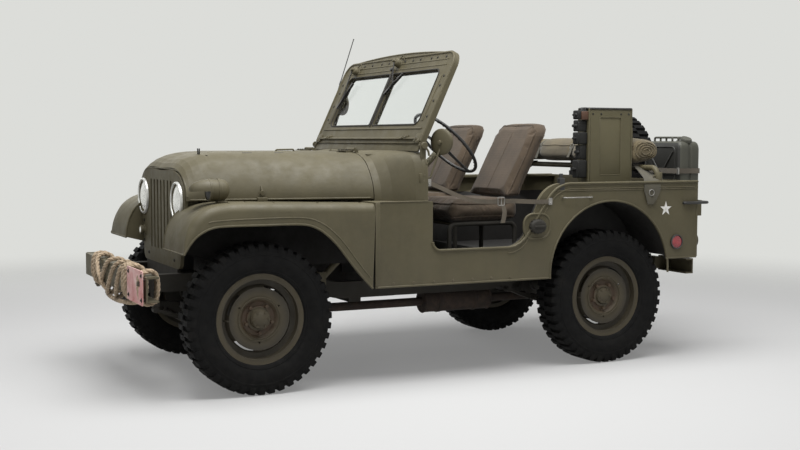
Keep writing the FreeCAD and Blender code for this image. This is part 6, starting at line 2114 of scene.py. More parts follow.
# The rope's way round the front bumper, from its tail at the car's right to the lashing beside the plate.
ROPE_ROUTE = (
    (1.7, -0.428, 0.448), (1.733, -0.424, 0.5), (1.736, -0.418, 0.575), (1.728, -0.414, 0.624),
    (1.69, -0.412, 0.634), (1.65, -0.41, 0.624), (1.641, -0.404, 0.56), (1.642, -0.396, 0.49),
    (1.66, -0.388, 0.462), (1.705, -0.38, 0.462), (1.734, -0.372, 0.5), (1.735, -0.366, 0.575),
    (1.728, -0.36, 0.624), (1.69, -0.352, 0.634), (1.65, -0.345, 0.624), (1.641, -0.335, 0.56),
    (1.642, -0.325, 0.49), (1.662, -0.3, 0.458), (1.706, -0.262, 0.462), (1.734, -0.215, 0.505),
    (1.737, -0.13, 0.57), (1.73, -0.072, 0.622), (1.69, -0.05, 0.634), (1.65, -0.045, 0.624),
    (1.641, -0.052, 0.56), (1.642, -0.07, 0.49), (1.664, -0.095, 0.45), (1.712, -0.125, 0.448),
    (1.742, -0.18, 0.492), (1.744, -0.262, 0.56), (1.736, -0.31, 0.62), (1.692, -0.322, 0.636),
    (1.65, -0.31, 0.624), (1.641, -0.29, 0.56), (1.644, -0.25, 0.482), (1.668, -0.2, 0.44),
    (1.716, -0.12, 0.436), (1.744, -0.02, 0.486), (1.745, 0.06, 0.56), (1.734, 0.112, 0.62),
    (1.692, 0.13, 0.635), (1.65, 0.128, 0.624), (1.641, 0.11, 0.56), (1.645, 0.07, 0.486),
    (1.672, 0.02, 0.444), (1.716, 0.06, 0.44), (1.74, 0.15, 0.492), (1.742, 0.205, 0.56),
    (1.732, 0.236, 0.62), (1.69, 0.246, 0.634), (1.65, 0.252, 0.624), (1.641, 0.262, 0.56),
    (1.642, 0.272, 0.49), (1.662, 0.28, 0.458), (1.706, 0.284, 0.462), (1.734, 0.287, 0.505),
    (1.735, 0.29, 0.575), (1.728, 0.294, 0.624), (1.69, 0.299, 0.634), (1.65, 0.304, 0.624),
    (1.641, 0.31, 0.56), (1.642, 0.316, 0.49), (1.662, 0.321, 0.458), (1.706, 0.324, 0.462),
    (1.734, 0.327, 0.505), (1.735, 0.331, 0.575), (1.728, 0.336, 0.624), (1.69, 0.345, 0.634),
    (1.65, 0.36, 0.622), (1.642, 0.385, 0.56), (1.646, 0.4, 0.486), (1.68, 0.34, 0.442),
    (1.722, 0.2, 0.436), (1.728, 0.05, 0.434), (1.722, -0.1, 0.436), (1.7, -0.24, 0.438),
    (1.668, -0.33, 0.45), (1.646, -0.372, 0.5), (1.641, -0.385, 0.565),
)
# The loose end of the rope, lashed beside the plate.
LASHING_ROUTE = (
    (1.646, 0.575, 0.47), (1.641, 0.586, 0.54), (1.648, 0.592, 0.622), (1.69, 0.596, 0.634),
    (1.73, 0.6, 0.622), (1.736, 0.604, 0.56), (1.728, 0.608, 0.484), (1.69, 0.611, 0.466),
    (1.65, 0.614, 0.484), (1.641, 0.617, 0.55), (1.65, 0.621, 0.622), (1.69, 0.625, 0.634),
    (1.728, 0.628, 0.618), (1.738, 0.63, 0.56),
)


def spline_points(name, route):
    """The smooth line through a cord's route, as points read from its own spline."""
    curve = bpy.data.curves.new(name, "CURVE")
    curve.dimensions = "3D"
    curve.resolution_u = 10
    line = curve.splines.new("NURBS")
    line.points.add(len(route) - 1)
    for point, place in zip(line.points, route):
        point.co = (place[0], place[1], place[2], 1)
    line.order_u = 3
    line.use_endpoint_u = True
    carrier = bpy.data.objects.new(name, curve)
    bpy.context.scene.collection.objects.link(carrier)
    mesh = bpy.data.meshes.new_from_object(carrier)
    points = [v.co.copy() for v in mesh.vertices]
    bpy.data.objects.remove(carrier)
    bpy.data.curves.remove(curve)
    bpy.data.meshes.remove(mesh)
    return points


def laid_rope(bm, points, radius, twist, strands=3, around=9):
    """Strands laid round each other along a line."""
    frames = carried_frames(points)
    along = 0.0
    turns = []
    for k, point in enumerate(points):
        if k:
            along += (point - points[k - 1]).length
        turns.append(TAU * along / twist)
    thick = radius * 0.545
    off = radius - thick
    for s in range(strands):
        phase = TAU * s / strands
        line = []
        for (_, side, up), point, turn in zip(frames, points, turns):
            a = turn + phase
            line.append(point + side * (off * cos(a)) + up * (off * sin(a)))
        add_tube(bm, line, thick, around)


def whipping(bm, points, radius):
    """Twine bound round a rope's end."""
    start, after = points[0], points[1]
    way = (after - start).normalized()
    for k in range(7):
        add_ring(bm, start + way * (0.004 + 0.0032 * k), way, radius * 1.02, 0.0019, 20, 6)


def make_tow_rope():
    radius = 0.0125
    material = finish("rope_fibre", rope_fibre)
    long_way = spline_points("tow_rope_line", ROPE_ROUTE)
    bm = bmesh.new()
    laid_rope(bm, long_way, radius, settings().rope_twist)
    piece = finished("laid_tow_rope", bm, material, replaces=("tow_rope",), angle=60)
    short_way = spline_points("lashing_line", LASHING_ROUTE)
    bm = bmesh.new()
    laid_rope(bm, short_way, radius * 0.9, settings().rope_twist)
    lashing = finished("laid_lashing", bm, material, replaces=("tow_rope",), angle=60)
    for rope, way, width in ((piece, long_way, radius * 2), (lashing, short_way, radius * 1.8)):
        bm = bmesh.new()
        if rope is piece:
            whipping(bm, way, width / 2)
        whipping(bm, list(reversed(way)), width / 2)
        binding = finished(rope.name + "_ends", bm, webbing(), slot="rope_fibre")


class FIELDCAR_OT_tow_rope(bpy.types.Operator):
    """Makes the laid rope wound round the front bumper"""
    bl_idname = "fieldcar.tow_rope"
    bl_label = "Tow rope"

    def execute(self, context):
        make_tow_rope()
        return {"FINISHED"}


# Running gear


def wheel_places():
    return (
        ("front_left", FRONT_AXLE, 1, "wheel_front_left", 0.072),
        ("front_right", FRONT_AXLE, -1, "wheel_front_right", 0.072),
        ("rear_left", REAR_AXLE, 1, "wheel_rear_left", 0.046),
        ("rear_right", REAR_AXLE, -1, "wheel_rear_right", 0.046),
    )


def tyre_profile():
    """Half of the tyre's outline, from the bead out to the middle of the tread."""
    return [
        (0.2038, 0.058), (0.214, 0.0605), (0.2245, 0.0625), (0.229, 0.0665), (0.233, 0.0745), (0.238, 0.077),
        (0.2415, 0.0785), (0.2425, 0.0808), (0.2465, 0.0812), (0.248, 0.0805), (0.262, 0.0868), (0.278, 0.0915),
        (0.292, 0.0932), (0.305, 0.0925), (0.317, 0.0905), (0.3185, 0.0918), (0.3225, 0.0915), (0.324, 0.0895),
        (0.336, 0.087), (0.347, 0.084), (0.356, 0.079), (0.3605, 0.072), (0.3615, 0.04), (0.3617, 0.0),
    ]


def tyre_lugs(bm, centre, side):
    """One outer and one inner bar of the tread, at the bottom of the tyre."""
    out_line = [
        (0.0, 0.359), (0.0, 0.3735), (0.0012, 0.3748), (0.06, 0.3748), (0.0755, 0.3738), (0.08, 0.3705),
        (0.0835, 0.362), (0.0868, 0.35), (0.0885, 0.339), (0.087, 0.333), (0.084, 0.333), (0.076, 0.355), (0.07, 0.359),
    ]
    pitch = TAU / 44
    for row, turn in ((side, 0.0), (-side, pitch / 2)):
        rings = []
        for share, shrink in ((-1.0, 0.0018), (-0.93, 0.0), (0.93, 0.0), (1.0, 0.0018)):
            a = turn + share * pitch * 0.275
            ring = []
            for y, r in out_line:
                r2 = r - (shrink if r > 0.365 else 0)
                foot = 1.0 + 0.1 * (0.3748 - r2) / 0.02
                b = turn + (a - turn) * min(foot, 1.12)
                ring.append(bm.verts.new((centre.x + r2 * sin(b), centre.y + y * row, centre.z - r2 * cos(b))))
            rings.append(ring)
        count = len(out_line)
        for ra, rb in zip(rings, rings[1:]):
            for k in range(count):
                m = (k + 1) % count
                bm.faces.new((ra[k], ra[m], rb[m], rb[k]))
        bm.faces.new(rings[0])
        bm.faces.new(list(reversed(rings[-1])))


def make_tyre(name, centre, side, body, node, axis="y"):
    """A tyre with ribbed walls and two rows of bars, the second half a step behind the first."""
    material = finish("tyre_rubber", tyre_rubber)
    source_bm = bmesh.new()
    tyre_lugs(source_bm, centre, side)
    source = bpy.data.meshes.new(name + "_bars")
    source_bm.to_mesh(source)
    source_bm.free()
    bars = baked(name + "_bars", source, repeat_tree(), {"Count": 44, "Centre": tuple(centre)}, material, None)
    profile = tyre_profile()
    line = [(r, -t) for r, t in profile] + [(r, t) for r, t in reversed(profile[:-1])]
    bm = bmesh.new()
    add_lathe(bm, line + [line[0]], centre, Y_AXIS, 120)
    bm.from_mesh(bars.data)
    bpy.data.objects.remove(bars)
    if axis == "x":
        turn = Matrix.Translation(centre) @ Matrix.Rotation(radians(90), 4, "Z") @ Matrix.Translation(-centre)
        bmesh.ops.transform(bm, matrix=turn, verts=bm.verts)
    return finished(name, bm, material, body, replaces=(node,), angle=32)


def make_tyres():
    for place, x, side, body, _ in wheel_places():
        make_tyre("bar_tyre_" + place, vec(x, HALF_TRACK * side, AXLE_Z), side, body, "tyre_" + place)
    low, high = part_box("spare_tyre")
    centre = (Vector(low) + Vector(high)) / 2
    make_tyre("bar_tyre_spare", centre, 1, "car", "spare_tyre", axis="x")


class FIELDCAR_OT_tyres(bpy.types.Operator):
    """Makes the four road tyres and the spare, with their bars"""
    bl_idname = "fieldcar.tyres"
    bl_label = "Tyres"

    def execute(self, context):
        make_tyres()
        return {"FINISHED"}


def wheel_trim(name, centre, outward, body, nose, hub=True):
    """Nuts, hub, flange bolts and valve of one wheel."""
    outward = Vector(outward)
    side, up = side_frame(outward)
    bm = bmesh.new()
    if hub:
        add_lathe(bm, [
            (0.0475, 0.026), (0.06, 0.026), (0.0625, 0.029), (0.0625, 0.034), (0.06, 0.037), (0.05, 0.038),
            (0.0492, 0.041), (0.0492, nose - 0.014), (0.046, nose - 0.006), (0.0435, nose + 0.0012),
            (0.034, nose + 0.003),
            (0.031, nose + 0.0055), (0.0, nose + 0.007), (0.0, 0.02), (0.0475, 0.02), (0.0475, 0.026),
        ], centre, outward, 40)
    add_lathe(bm, [
        (0.2225, 0.0632), (0.2262, 0.064), (0.2275, 0.062), (0.2268, 0.0585), (0.2235, 0.058), (0.2225, 0.06),
        (0.2225, 0.0632),
    ], centre, outward, 96)
    add_ring(bm, centre + outward * 0.0486, outward, 0.1075, 0.0022, 72, 8)
    stem = centre + side * 0.178 + outward * 0.03
    add_rod(bm, stem, stem + (outward * 0.9 - side * 0.25) * 0.042, 0.0042, 12, 0.001)
    piece = finished(name, bm, wheel_paint_and_shade(), body)
    spots = []
    bolts = []
    for k in range(5):
        a = TAU * k / 5 + 0.35
        way = side * cos(a) + up * sin(a)
        spots.append((centre + way * 0.0698 + outward * 0.0275, outward))
    fastenings(name + "_nuts", spots, 0.0118, 0.019, wheel_paint_and_shade(), body, dome=0.72)
    if hub:
        for k in range(6):
            a = TAU * k / 6
            way = side * cos(a) + up * sin(a)
            bolts.append((centre + way * 0.0385 + outward * (nose + 0.0005), outward))
        fastenings(name + "_hub_bolts", bolts, 0.0058, 0.0075, wheel_paint_and_shade(), body)
    return piece


def make_wheel_trim():
    for place, x, side, body, nose in wheel_places():
        centre = vec(x, HALF_TRACK * side, AXLE_Z)
        outward = vec(0, side, 0)
        wheel_trim("hub_" + place, centre, outward, body, nose)
    low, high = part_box("spare_wheel")
    centre = (Vector(low) + Vector(high)) / 2
    wheel_trim("spare_nuts", centre, vec(-1, 0, 0), "car", 0.05, hub=False)
    bm = bmesh.new()
    start = centre + vec(-0.02, 0, 0)
    add_lathe(bm, [
        (0, 0), (0.055, 0), (0.058, 0.003), (0.058, 0.008), (0.036, 0.013), (0.018, 0.014), (0.018, 0.032),
        (0.015, 0.035), (0, 0.035),
    ], start, (-1, 0, 0), 32)
    for k in range(3):
        a = radians(120 * k + 90)
        way = vec(0, cos(a), sin(a))
        add_tube(bm, smooth_path([
            start + vec(-0.02, 0, 0) + way * 0.012, start + vec(-0.026, 0, 0) + way * 0.035,
            start + vec(-0.024, 0, 0) + way * 0.062,
        ], 5), 0.008, 10)
    finished("spare_wing_nut", bm, olive())


class FIELDCAR_OT_wheel_trim(bpy.types.Operator):
    """Makes the hubs, nuts, valves and rim edges of the wheels"""
    bl_idname = "fieldcar.wheel_trim"
    bl_label = "Wheel trim"

    def execute(self, context):
        make_wheel_trim()
        return {"FINISHED"}


def make_springs():
    bm = bmesh.new()
    nuts = []
    for x, tube in ((FRONT_AXLE, 0.032), (REAR_AXLE, 0.037)):
        seat = AXLE_Z - tube - 0.005
        for side in (1, -1):
            y = 0.33 * side
            for k, reach in enumerate((0.36, 0.27, 0.18, 0.11)):
                drop = 0.012 + 0.0085 * k
                points = []
                for i in range(17):
                    u = -1 + i / 8
                    points.append(vec(x + reach * u, y, seat - drop + 0.07 * (reach * u / 0.43) ** 2))
                add_strap(bm, points, Y_AXIS, 0.0475, 0.0062)
            for dx in (-0.03, 0.03):
                for dy in (-0.031, 0.031):
                    low = vec(x + dx, y + dy, seat - 0.052)
                    add_rod(bm, low, vec(x + dx, y + dy, AXLE_Z + tube * 0.6), 0.0055, 10, 0.001)
                    nuts.append((low + vec(0, 0, 0.006), (0, 0, -1)))
                arch = [vec(x + dx, y - 0.031, AXLE_Z + tube * 0.6), vec(x + dx, y - 0.031, AXLE_Z + tube + 0.012),
                        vec(x + dx, y + 0.031, AXLE_Z + tube + 0.012), vec(x + dx, y + 0.031, AXLE_Z + tube * 0.6)]
                add_tube(bm, corner_path(arch, 0.02), 0.0055, 10)
            add_box(bm, (x - 0.045, y - 0.04, seat - 0.0475), (x + 0.045, y + 0.04, seat - 0.0395), 0.002)
            for way in (1, -1):
                at = x + 0.25 * way
                z = seat + 0.07 * (0.25 / 0.43) ** 2
                add_box(bm, (at - 0.011, y - 0.0275, z - 0.032), (at + 0.011, y + 0.0275, z + 0.004), 0.002)
    finished("spring_clips", bm, dark_olive(), slot="frame_paint")
    fastenings("spring_nuts", nuts, 0.009, 0.01, dark_olive(), dome=0.95, slot="frame_paint")


class FIELDCAR_OT_springs(bpy.types.Operator):
    """Makes the leaf edges, clips and long bolts of the springs"""
    bl_idname = "fieldcar.springs"
    bl_label = "Spring clips"

    def execute(self, context):
        make_springs()
        return {"FINISHED"}


def make_underbody():
    bm = bmesh.new()
    bolts = []
    for x, way, tube in ((FRONT_AXLE, 1, 0.032), (REAR_AXLE, -1, 0.037)):
        centre = vec(x, -0.17, AXLE_Z)
        face = vec(way, 0, 0)
        add_lathe(bm, [
            (0, 0.07), (0.108, 0.0705), (0.112, 0.074), (0.112, 0.078), (0.1, 0.083), (0.08, 0.094), (0.045, 0.103),
            (0, 0.106),
        ], centre, face, 36)
        for k in range(10):
            a = TAU * k / 10
            bolts.append((centre + face * 0.081 + vec(0, cos(a), sin(a)) * 0.103, face))
        nose = centre - face * 0.1888
        add_lathe(bm, [
            (0.0, -0.004), (0.044, -0.004), (0.047, 0.0), (0.047, 0.012), (0.03, 0.016), (0.03, 0.034), (0, 0.034),
        ], nose, -face, 28)
        for side in (1, -1):
            add_lathe(bm, [
                (tube + 0.001, 0), (tube + 0.011, 0.004), (tube + 0.011, 0.022), (tube + 0.001, 0.028),
            ], vec(x, -0.17 + side * 0.122, AXLE_Z), vec(0, side, 0), 28)
    for x in (FRONT_AXLE - 0.1888 - 0.062, REAR_AXLE + 0.1888 + 0.062):
        for way in (1, -1):
            for turn in (0, 1):
                arm = vec(0, 0, 1) if turn == (way > 0) else vec(0, 1, 0)
                foot = vec(x, -0.17, AXLE_Z)
                add_box(
                    bm, foot + vec(-0.014 * 1, 0, 0) - arm * 0.033 - vec(0, 0.009, 0.009),
                    foot + vec(0.014, 0, 0) + arm * 0.033 + vec(0, 0.009, 0.009), 0.004,
                )
    finished("axle_covers", bm, finish("cast_iron", cast_iron))
    fastenings("axle_cover_bolts", bolts, 0.0075, 0.007, finish("cast_iron", cast_iron), dome=0.9)
    bm = bmesh.new()
    muffler_x = FRONT_AXLE - 0.912 - 0.215
    for at in (muffler_x - 0.006, muffler_x - 0.43 + 0.006):
        add_ring(bm, vec(at, 0.21, 0.34), X_AXIS, 0.0615, 0.0045, 40, 8)
    for at in (muffler_x - 0.1, muffler_x - 0.33):
        add_lathe(bm, [
            (0.0622, -0.012), (0.0655, -0.01), (0.0655, 0.01), (0.0622, 0.012), (0.0622, -0.012),
        ], vec(at, 0.21, 0.34), X_AXIS, 40)
        add_box(bm, (at - 0.01, 0.198, 0.404), (at + 0.01, 0.222, 0.47), 0.002)
    finished("exhaust_bands", bm, finish("rusted_steel", rusted_steel))


class FIELDCAR_OT_underbody(bpy.types.Operator):
    """Makes the covers, flanges and joints of the axles, shafts and exhaust"""
    bl_idname = "fieldcar.underbody"
    bl_label = "Underbody"

    def execute(self, context):
        make_underbody()
        return {"FINISHED"}


# Seats


def swelled(name, mesh, inward, swell):
    """The cut shape as a fine skin, shrunk a little, then blown up by air inside it."""
    carrier = bpy.data.objects.new(name + "_cover", mesh)
    bpy.context.scene.collection.objects.link(carrier)
    remesh = carrier.modifiers.new("remesh", "REMESH")
    remesh.mode = "VOXEL"
    remesh.voxel_size = 0.006
    remesh.adaptivity = 0
    shrink = carrier.modifiers.new("shrink", "DISPLACE")
    shrink.strength = -inward
    shrink.mid_level = 0
    for modifier in list(carrier.modifiers):
        with bpy.context.temp_override(object=carrier, active_object=carrier, selected_objects=[carrier]):
            bpy.ops.object.modifier_apply(modifier=modifier.name)
    rest = np.empty(len(carrier.data.vertices) * 3)
    carrier.data.vertices.foreach_get("co", rest)
    scene = bpy.context.scene
    scene.frame_start, scene.frame_end = 1, 20
    cloth = carrier.modifiers.new("cloth", "CLOTH")
    cloth.settings.use_pressure = True
    cloth.settings.uniform_pressure_force = 4
    cloth.settings.effector_weights.gravity = 0
    cloth.settings.quality = 4
    cloth.settings.tension_stiffness = 12
    cloth.settings.compression_stiffness = 12
    cloth.settings.bending_stiffness = 0.4
    cloth.point_cache.frame_start, cloth.point_cache.frame_end = 1, 20
    for number in range(1, settings().cloth_frames + 1):
        scene.frame_set(number)
        depsgraph = bpy.context.evaluated_depsgraph_get()
        carrier.evaluated_get(depsgraph).to_mesh()
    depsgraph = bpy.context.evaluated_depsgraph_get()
    blown = carrier.evaluated_get(depsgraph).to_mesh()
    moved = np.empty(len(blown.vertices) * 3)
    blown.vertices.foreach_get("co", moved)
    carrier.modifiers.remove(cloth)
    scene.frame_set(1)
    shift = (moved - rest).reshape(-1, 3)
    length = np.linalg.norm(shift, axis=1, keepdims=True)
    capped = shift * np.minimum(1, swell / np.maximum(length, 1e-9))
    carrier.data.vertices.foreach_set("co", (rest.reshape(-1, 3) + capped).ravel())
    smooth = carrier.modifiers.new("smooth", "SUBSURF")
    smooth.levels = 1
    thin = carrier.modifiers.new("thin", "DECIMATE")
    thin.ratio = 0.68
    for modifier in list(carrier.modifiers):
        with bpy.context.temp_override(object=carrier, active_object=carrier, selected_objects=[carrier]):
            bpy.ops.object.modifier_apply(modifier=modifier.name)
    result = carrier.data
    bpy.data.objects.remove(carrier)
    return result


# The seats' own places: front edge, rear edge, height of the cushion and the backrest's lean.
SEAT_FRONT = FRONT_AXLE - 1.12
SEAT_BACK = SEAT_FRONT - 0.44
SEAT_LOW = 0.812
SEAT_HIGH = 0.932
SEAT_MIDDLE = 0.345
SEAT_HALF = 0.225
BACK_HALF = 0.21
BACK_RISE = 0.42
BACK_DEPTH = 0.105
BACK_LEAN = tan(radians(28))


def backrest_point(y, up, deep):
    """A point of the backrest: across the car, up from the cushion, and back from its face."""
    x = SEAT_BACK + BACK_DEPTH - BACK_LEAN * up - deep
    return vec(x, y, SEAT_HIGH + up)


def backrest_mesh(middle):
    """The backrest's wedge, narrower at its top, before it is blown up."""
    bm = bmesh.new()
    rows = []
    for up, half in (
        (0.01, SEAT_HALF - 0.004), (0.06, SEAT_HALF - 0.008), (0.22, (SEAT_HALF + BACK_HALF) / 2),
        (BACK_RISE - 0.075, BACK_HALF + 0.004), (BACK_RISE - 0.03, BACK_HALF - 0.014),
        (BACK_RISE - 0.006, BACK_HALF - 0.052),
    ):
        row = []
        for deep in (0.004, BACK_DEPTH - 0.006):
            for way in (-1, 1):
                row.append(bm.verts.new(backrest_point(middle + way * half, up, deep)))
        rows.append(row)
    for a, b in zip(rows, rows[1:]):
        for i, j in ((0, 1), (1, 3), (3, 2), (2, 0)):
            bm.faces.new((a[i], a[j], b[j], b[i]))
    bm.faces.new((rows[0][0], rows[0][2], rows[0][3], rows[0][1]))
    bm.faces.new((rows[-1][0], rows[-1][1], rows[-1][3], rows[-1][2]))
    bmesh.ops.recalc_face_normals(bm, faces=bm.faces)
    edges = [e for e in bm.edges if e.calc_face_angle(0) > 0.6]
    bmesh.ops.bevel(bm, geom=edges, offset=0.022, segments=3, affect="EDGES", profile=0.5)
    mesh = bpy.data.meshes.new("backrest_cut")
    bm.to_mesh(mesh)
    bm.free()
    return mesh


def cushion_mesh(middle):
    bm = bmesh.new()
    add_box(
        bm, (SEAT_BACK + 0.004, middle - SEAT_HALF + 0.004, SEAT_LOW + 0.006),
        (SEAT_FRONT - 0.004, middle + SEAT_HALF - 0.004, SEAT_HIGH - 0.004), 0.034, steps=3,
    )
    mesh = bpy.data.meshes.new("cushion_cut")
    bm.to_mesh(mesh)
    bm.free()
    return mesh


def wrapped_line(mesh, points, lift):
    """Puts a line of points on a skin, just proud of it."""
    from mathutils.bvhtree import BVHTree
    tree = BVHTree.FromPolygons([v.co for v in mesh.vertices], [p.vertices for p in mesh.polygons])
    line = []
    for point in points:
        place, normal, _, _ = tree.find_nearest(point)
        line.append(place + normal * lift)
    return line


def make_seats():
    cloth = seat_canvas()
    for name, side in (("left", 1), ("right", -1)):
        middle = SEAT_MIDDLE * side
        covers = []
        for part, mesh in (("cushion", cushion_mesh(middle)), ("backrest", backrest_mesh(middle))):
            skin = swelled(part + "_" + name, mesh, 0.004, settings().pad_lift)
            piece = placed("seat_" + part + "_" + name, skin, cloth, replaces=("seat_pads",), angle=60)
            covers.append(piece)
        bm = bmesh.new()
        loop = []
        corner = SEAT_HALF - 0.012
        for x, y in rounded(
            [
                (SEAT_BACK + 0.02, -corner), (SEAT_FRONT - 0.012, -corner), (SEAT_FRONT - 0.012, corner),
                (SEAT_BACK + 0.02, corner),
            ],
            [0.04] * 4, 6,
        ):
            loop.append(vec(x, middle + y, SEAT_HIGH - 0.014))
        dense = smooth_path(loop, 3, True)
        add_tube(bm, wrapped_line(covers[0].data, dense, 0.0015), 0.0038, 8, True)
        low_loop = [vec(p.x, p.y, SEAT_LOW + 0.018) for p in dense]
        add_tube(bm, wrapped_line(covers[0].data, low_loop, 0.0012), 0.0034, 8, True)
        for deep in (0.01, BACK_DEPTH - 0.012):
            edge = []
            for y, up in rounded(
                [
                    (-SEAT_HALF + 0.01, 0.02), (-BACK_HALF - 0.002, BACK_RISE - 0.012),
                    (BACK_HALF + 0.002, BACK_RISE - 0.012), (SEAT_HALF - 0.01, 0.02),
                ],
                [0.0, 0.08, 0.08, 0.0], 8,
            ):
                edge.append(backrest_point(middle + y, up, deep))
            dense = smooth_path(edge, 6)
            add_tube(bm, wrapped_line(covers[1].data, dense, 0.0012), 0.0038, 8)
        seam = [backrest_point(middle, 0.02 + 0.038 * k, 0) for k in range(11)]
        add_tube(bm, wrapped_line(covers[1].data, seam, 0.0), 0.0022, 8)
        finished("seat_piping_" + name, bm, cloth)
        bm = bmesh.new()
        for y in (-0.12, 0.12):
            line = [backrest_point(middle + y, 0.05 + 0.03 * k, BACK_DEPTH) for k in range(11)]
            add_strap(bm, wrapped_line(covers[1].data, line, 0.002), Y_AXIS, 0.026, 0.003)
        finished("seat_ties_" + name, bm, webbing(), slot="seat_canvas")
        bm = bmesh.new()
        for dy in (SEAT_HALF - 0.039, -SEAT_HALF + 0.039):
            for x in (SEAT_FRONT - 0.013, SEAT_BACK + 0.013):
                add_lathe(bm, [
                    (0, 0), (0.028, 0), (0.028, 0.004), (0.0135, 0.008), (0, 0.008),
                ], vec(x, middle + dy, 0.532), Z_AXIS, 20)
        for x in (SEAT_FRONT - 0.06, SEAT_BACK + 0.08):
            add_rod(bm, vec(x, middle - SEAT_HALF + 0.039, 0.797), vec(x, middle + SEAT_HALF - 0.039, 0.797), 0.009, 14)
        finished("seat_feet_" + name, bm, olive())


class FIELDCAR_OT_seats(bpy.types.Operator):
    """Makes the padded canvas seats with their piping, hems and frames' ends"""
    bl_idname = "fieldcar.seats"
    bl_label = "Seats"

    def execute(self, context):
        make_seats()
        return {"FINISHED"}


# Body sides

DOOR_FRONT = FRONT_AXLE - 0.912
SILL_Z = 0.687
ROCKER_Z = 0.503
ARCH_X = FRONT_AXLE - 2.033
ARCH_Z = 0.52
ARCH_R = 0.395
BODY_FRONT = FRONT_AXLE - 0.588
SKIN = BODY_HALF + 0.0005


def door_edge(inset=0.0):
    """The edge of the door opening, from the cowl down, along the sill and up to the deck."""
    sill_end = FRONT_AXLE - 1.44
    deck_start = FRONT_AXLE - 1.671
    corners = [
        (DOOR_FRONT, 0.94), (DOOR_FRONT, SILL_Z - inset), (sill_end, SILL_Z - inset), (
            deck_start - inset * 0.4, DECK_Z - inset,
        ),
        (BODY_REAR, DECK_Z - inset),
    ]
    return rounded(corners, [0, 0.045, 0.148, 0.168, 0], 12)


def star_outline(centre, radius):
    points = []
    for k in range(10):
        a = pi / 2 + pi * k / 5
        r = radius if k % 2 == 0 else radius * 0.382
        points.append((centre[0] + r * cos(a), centre[1] + r * sin(a)))
    return points


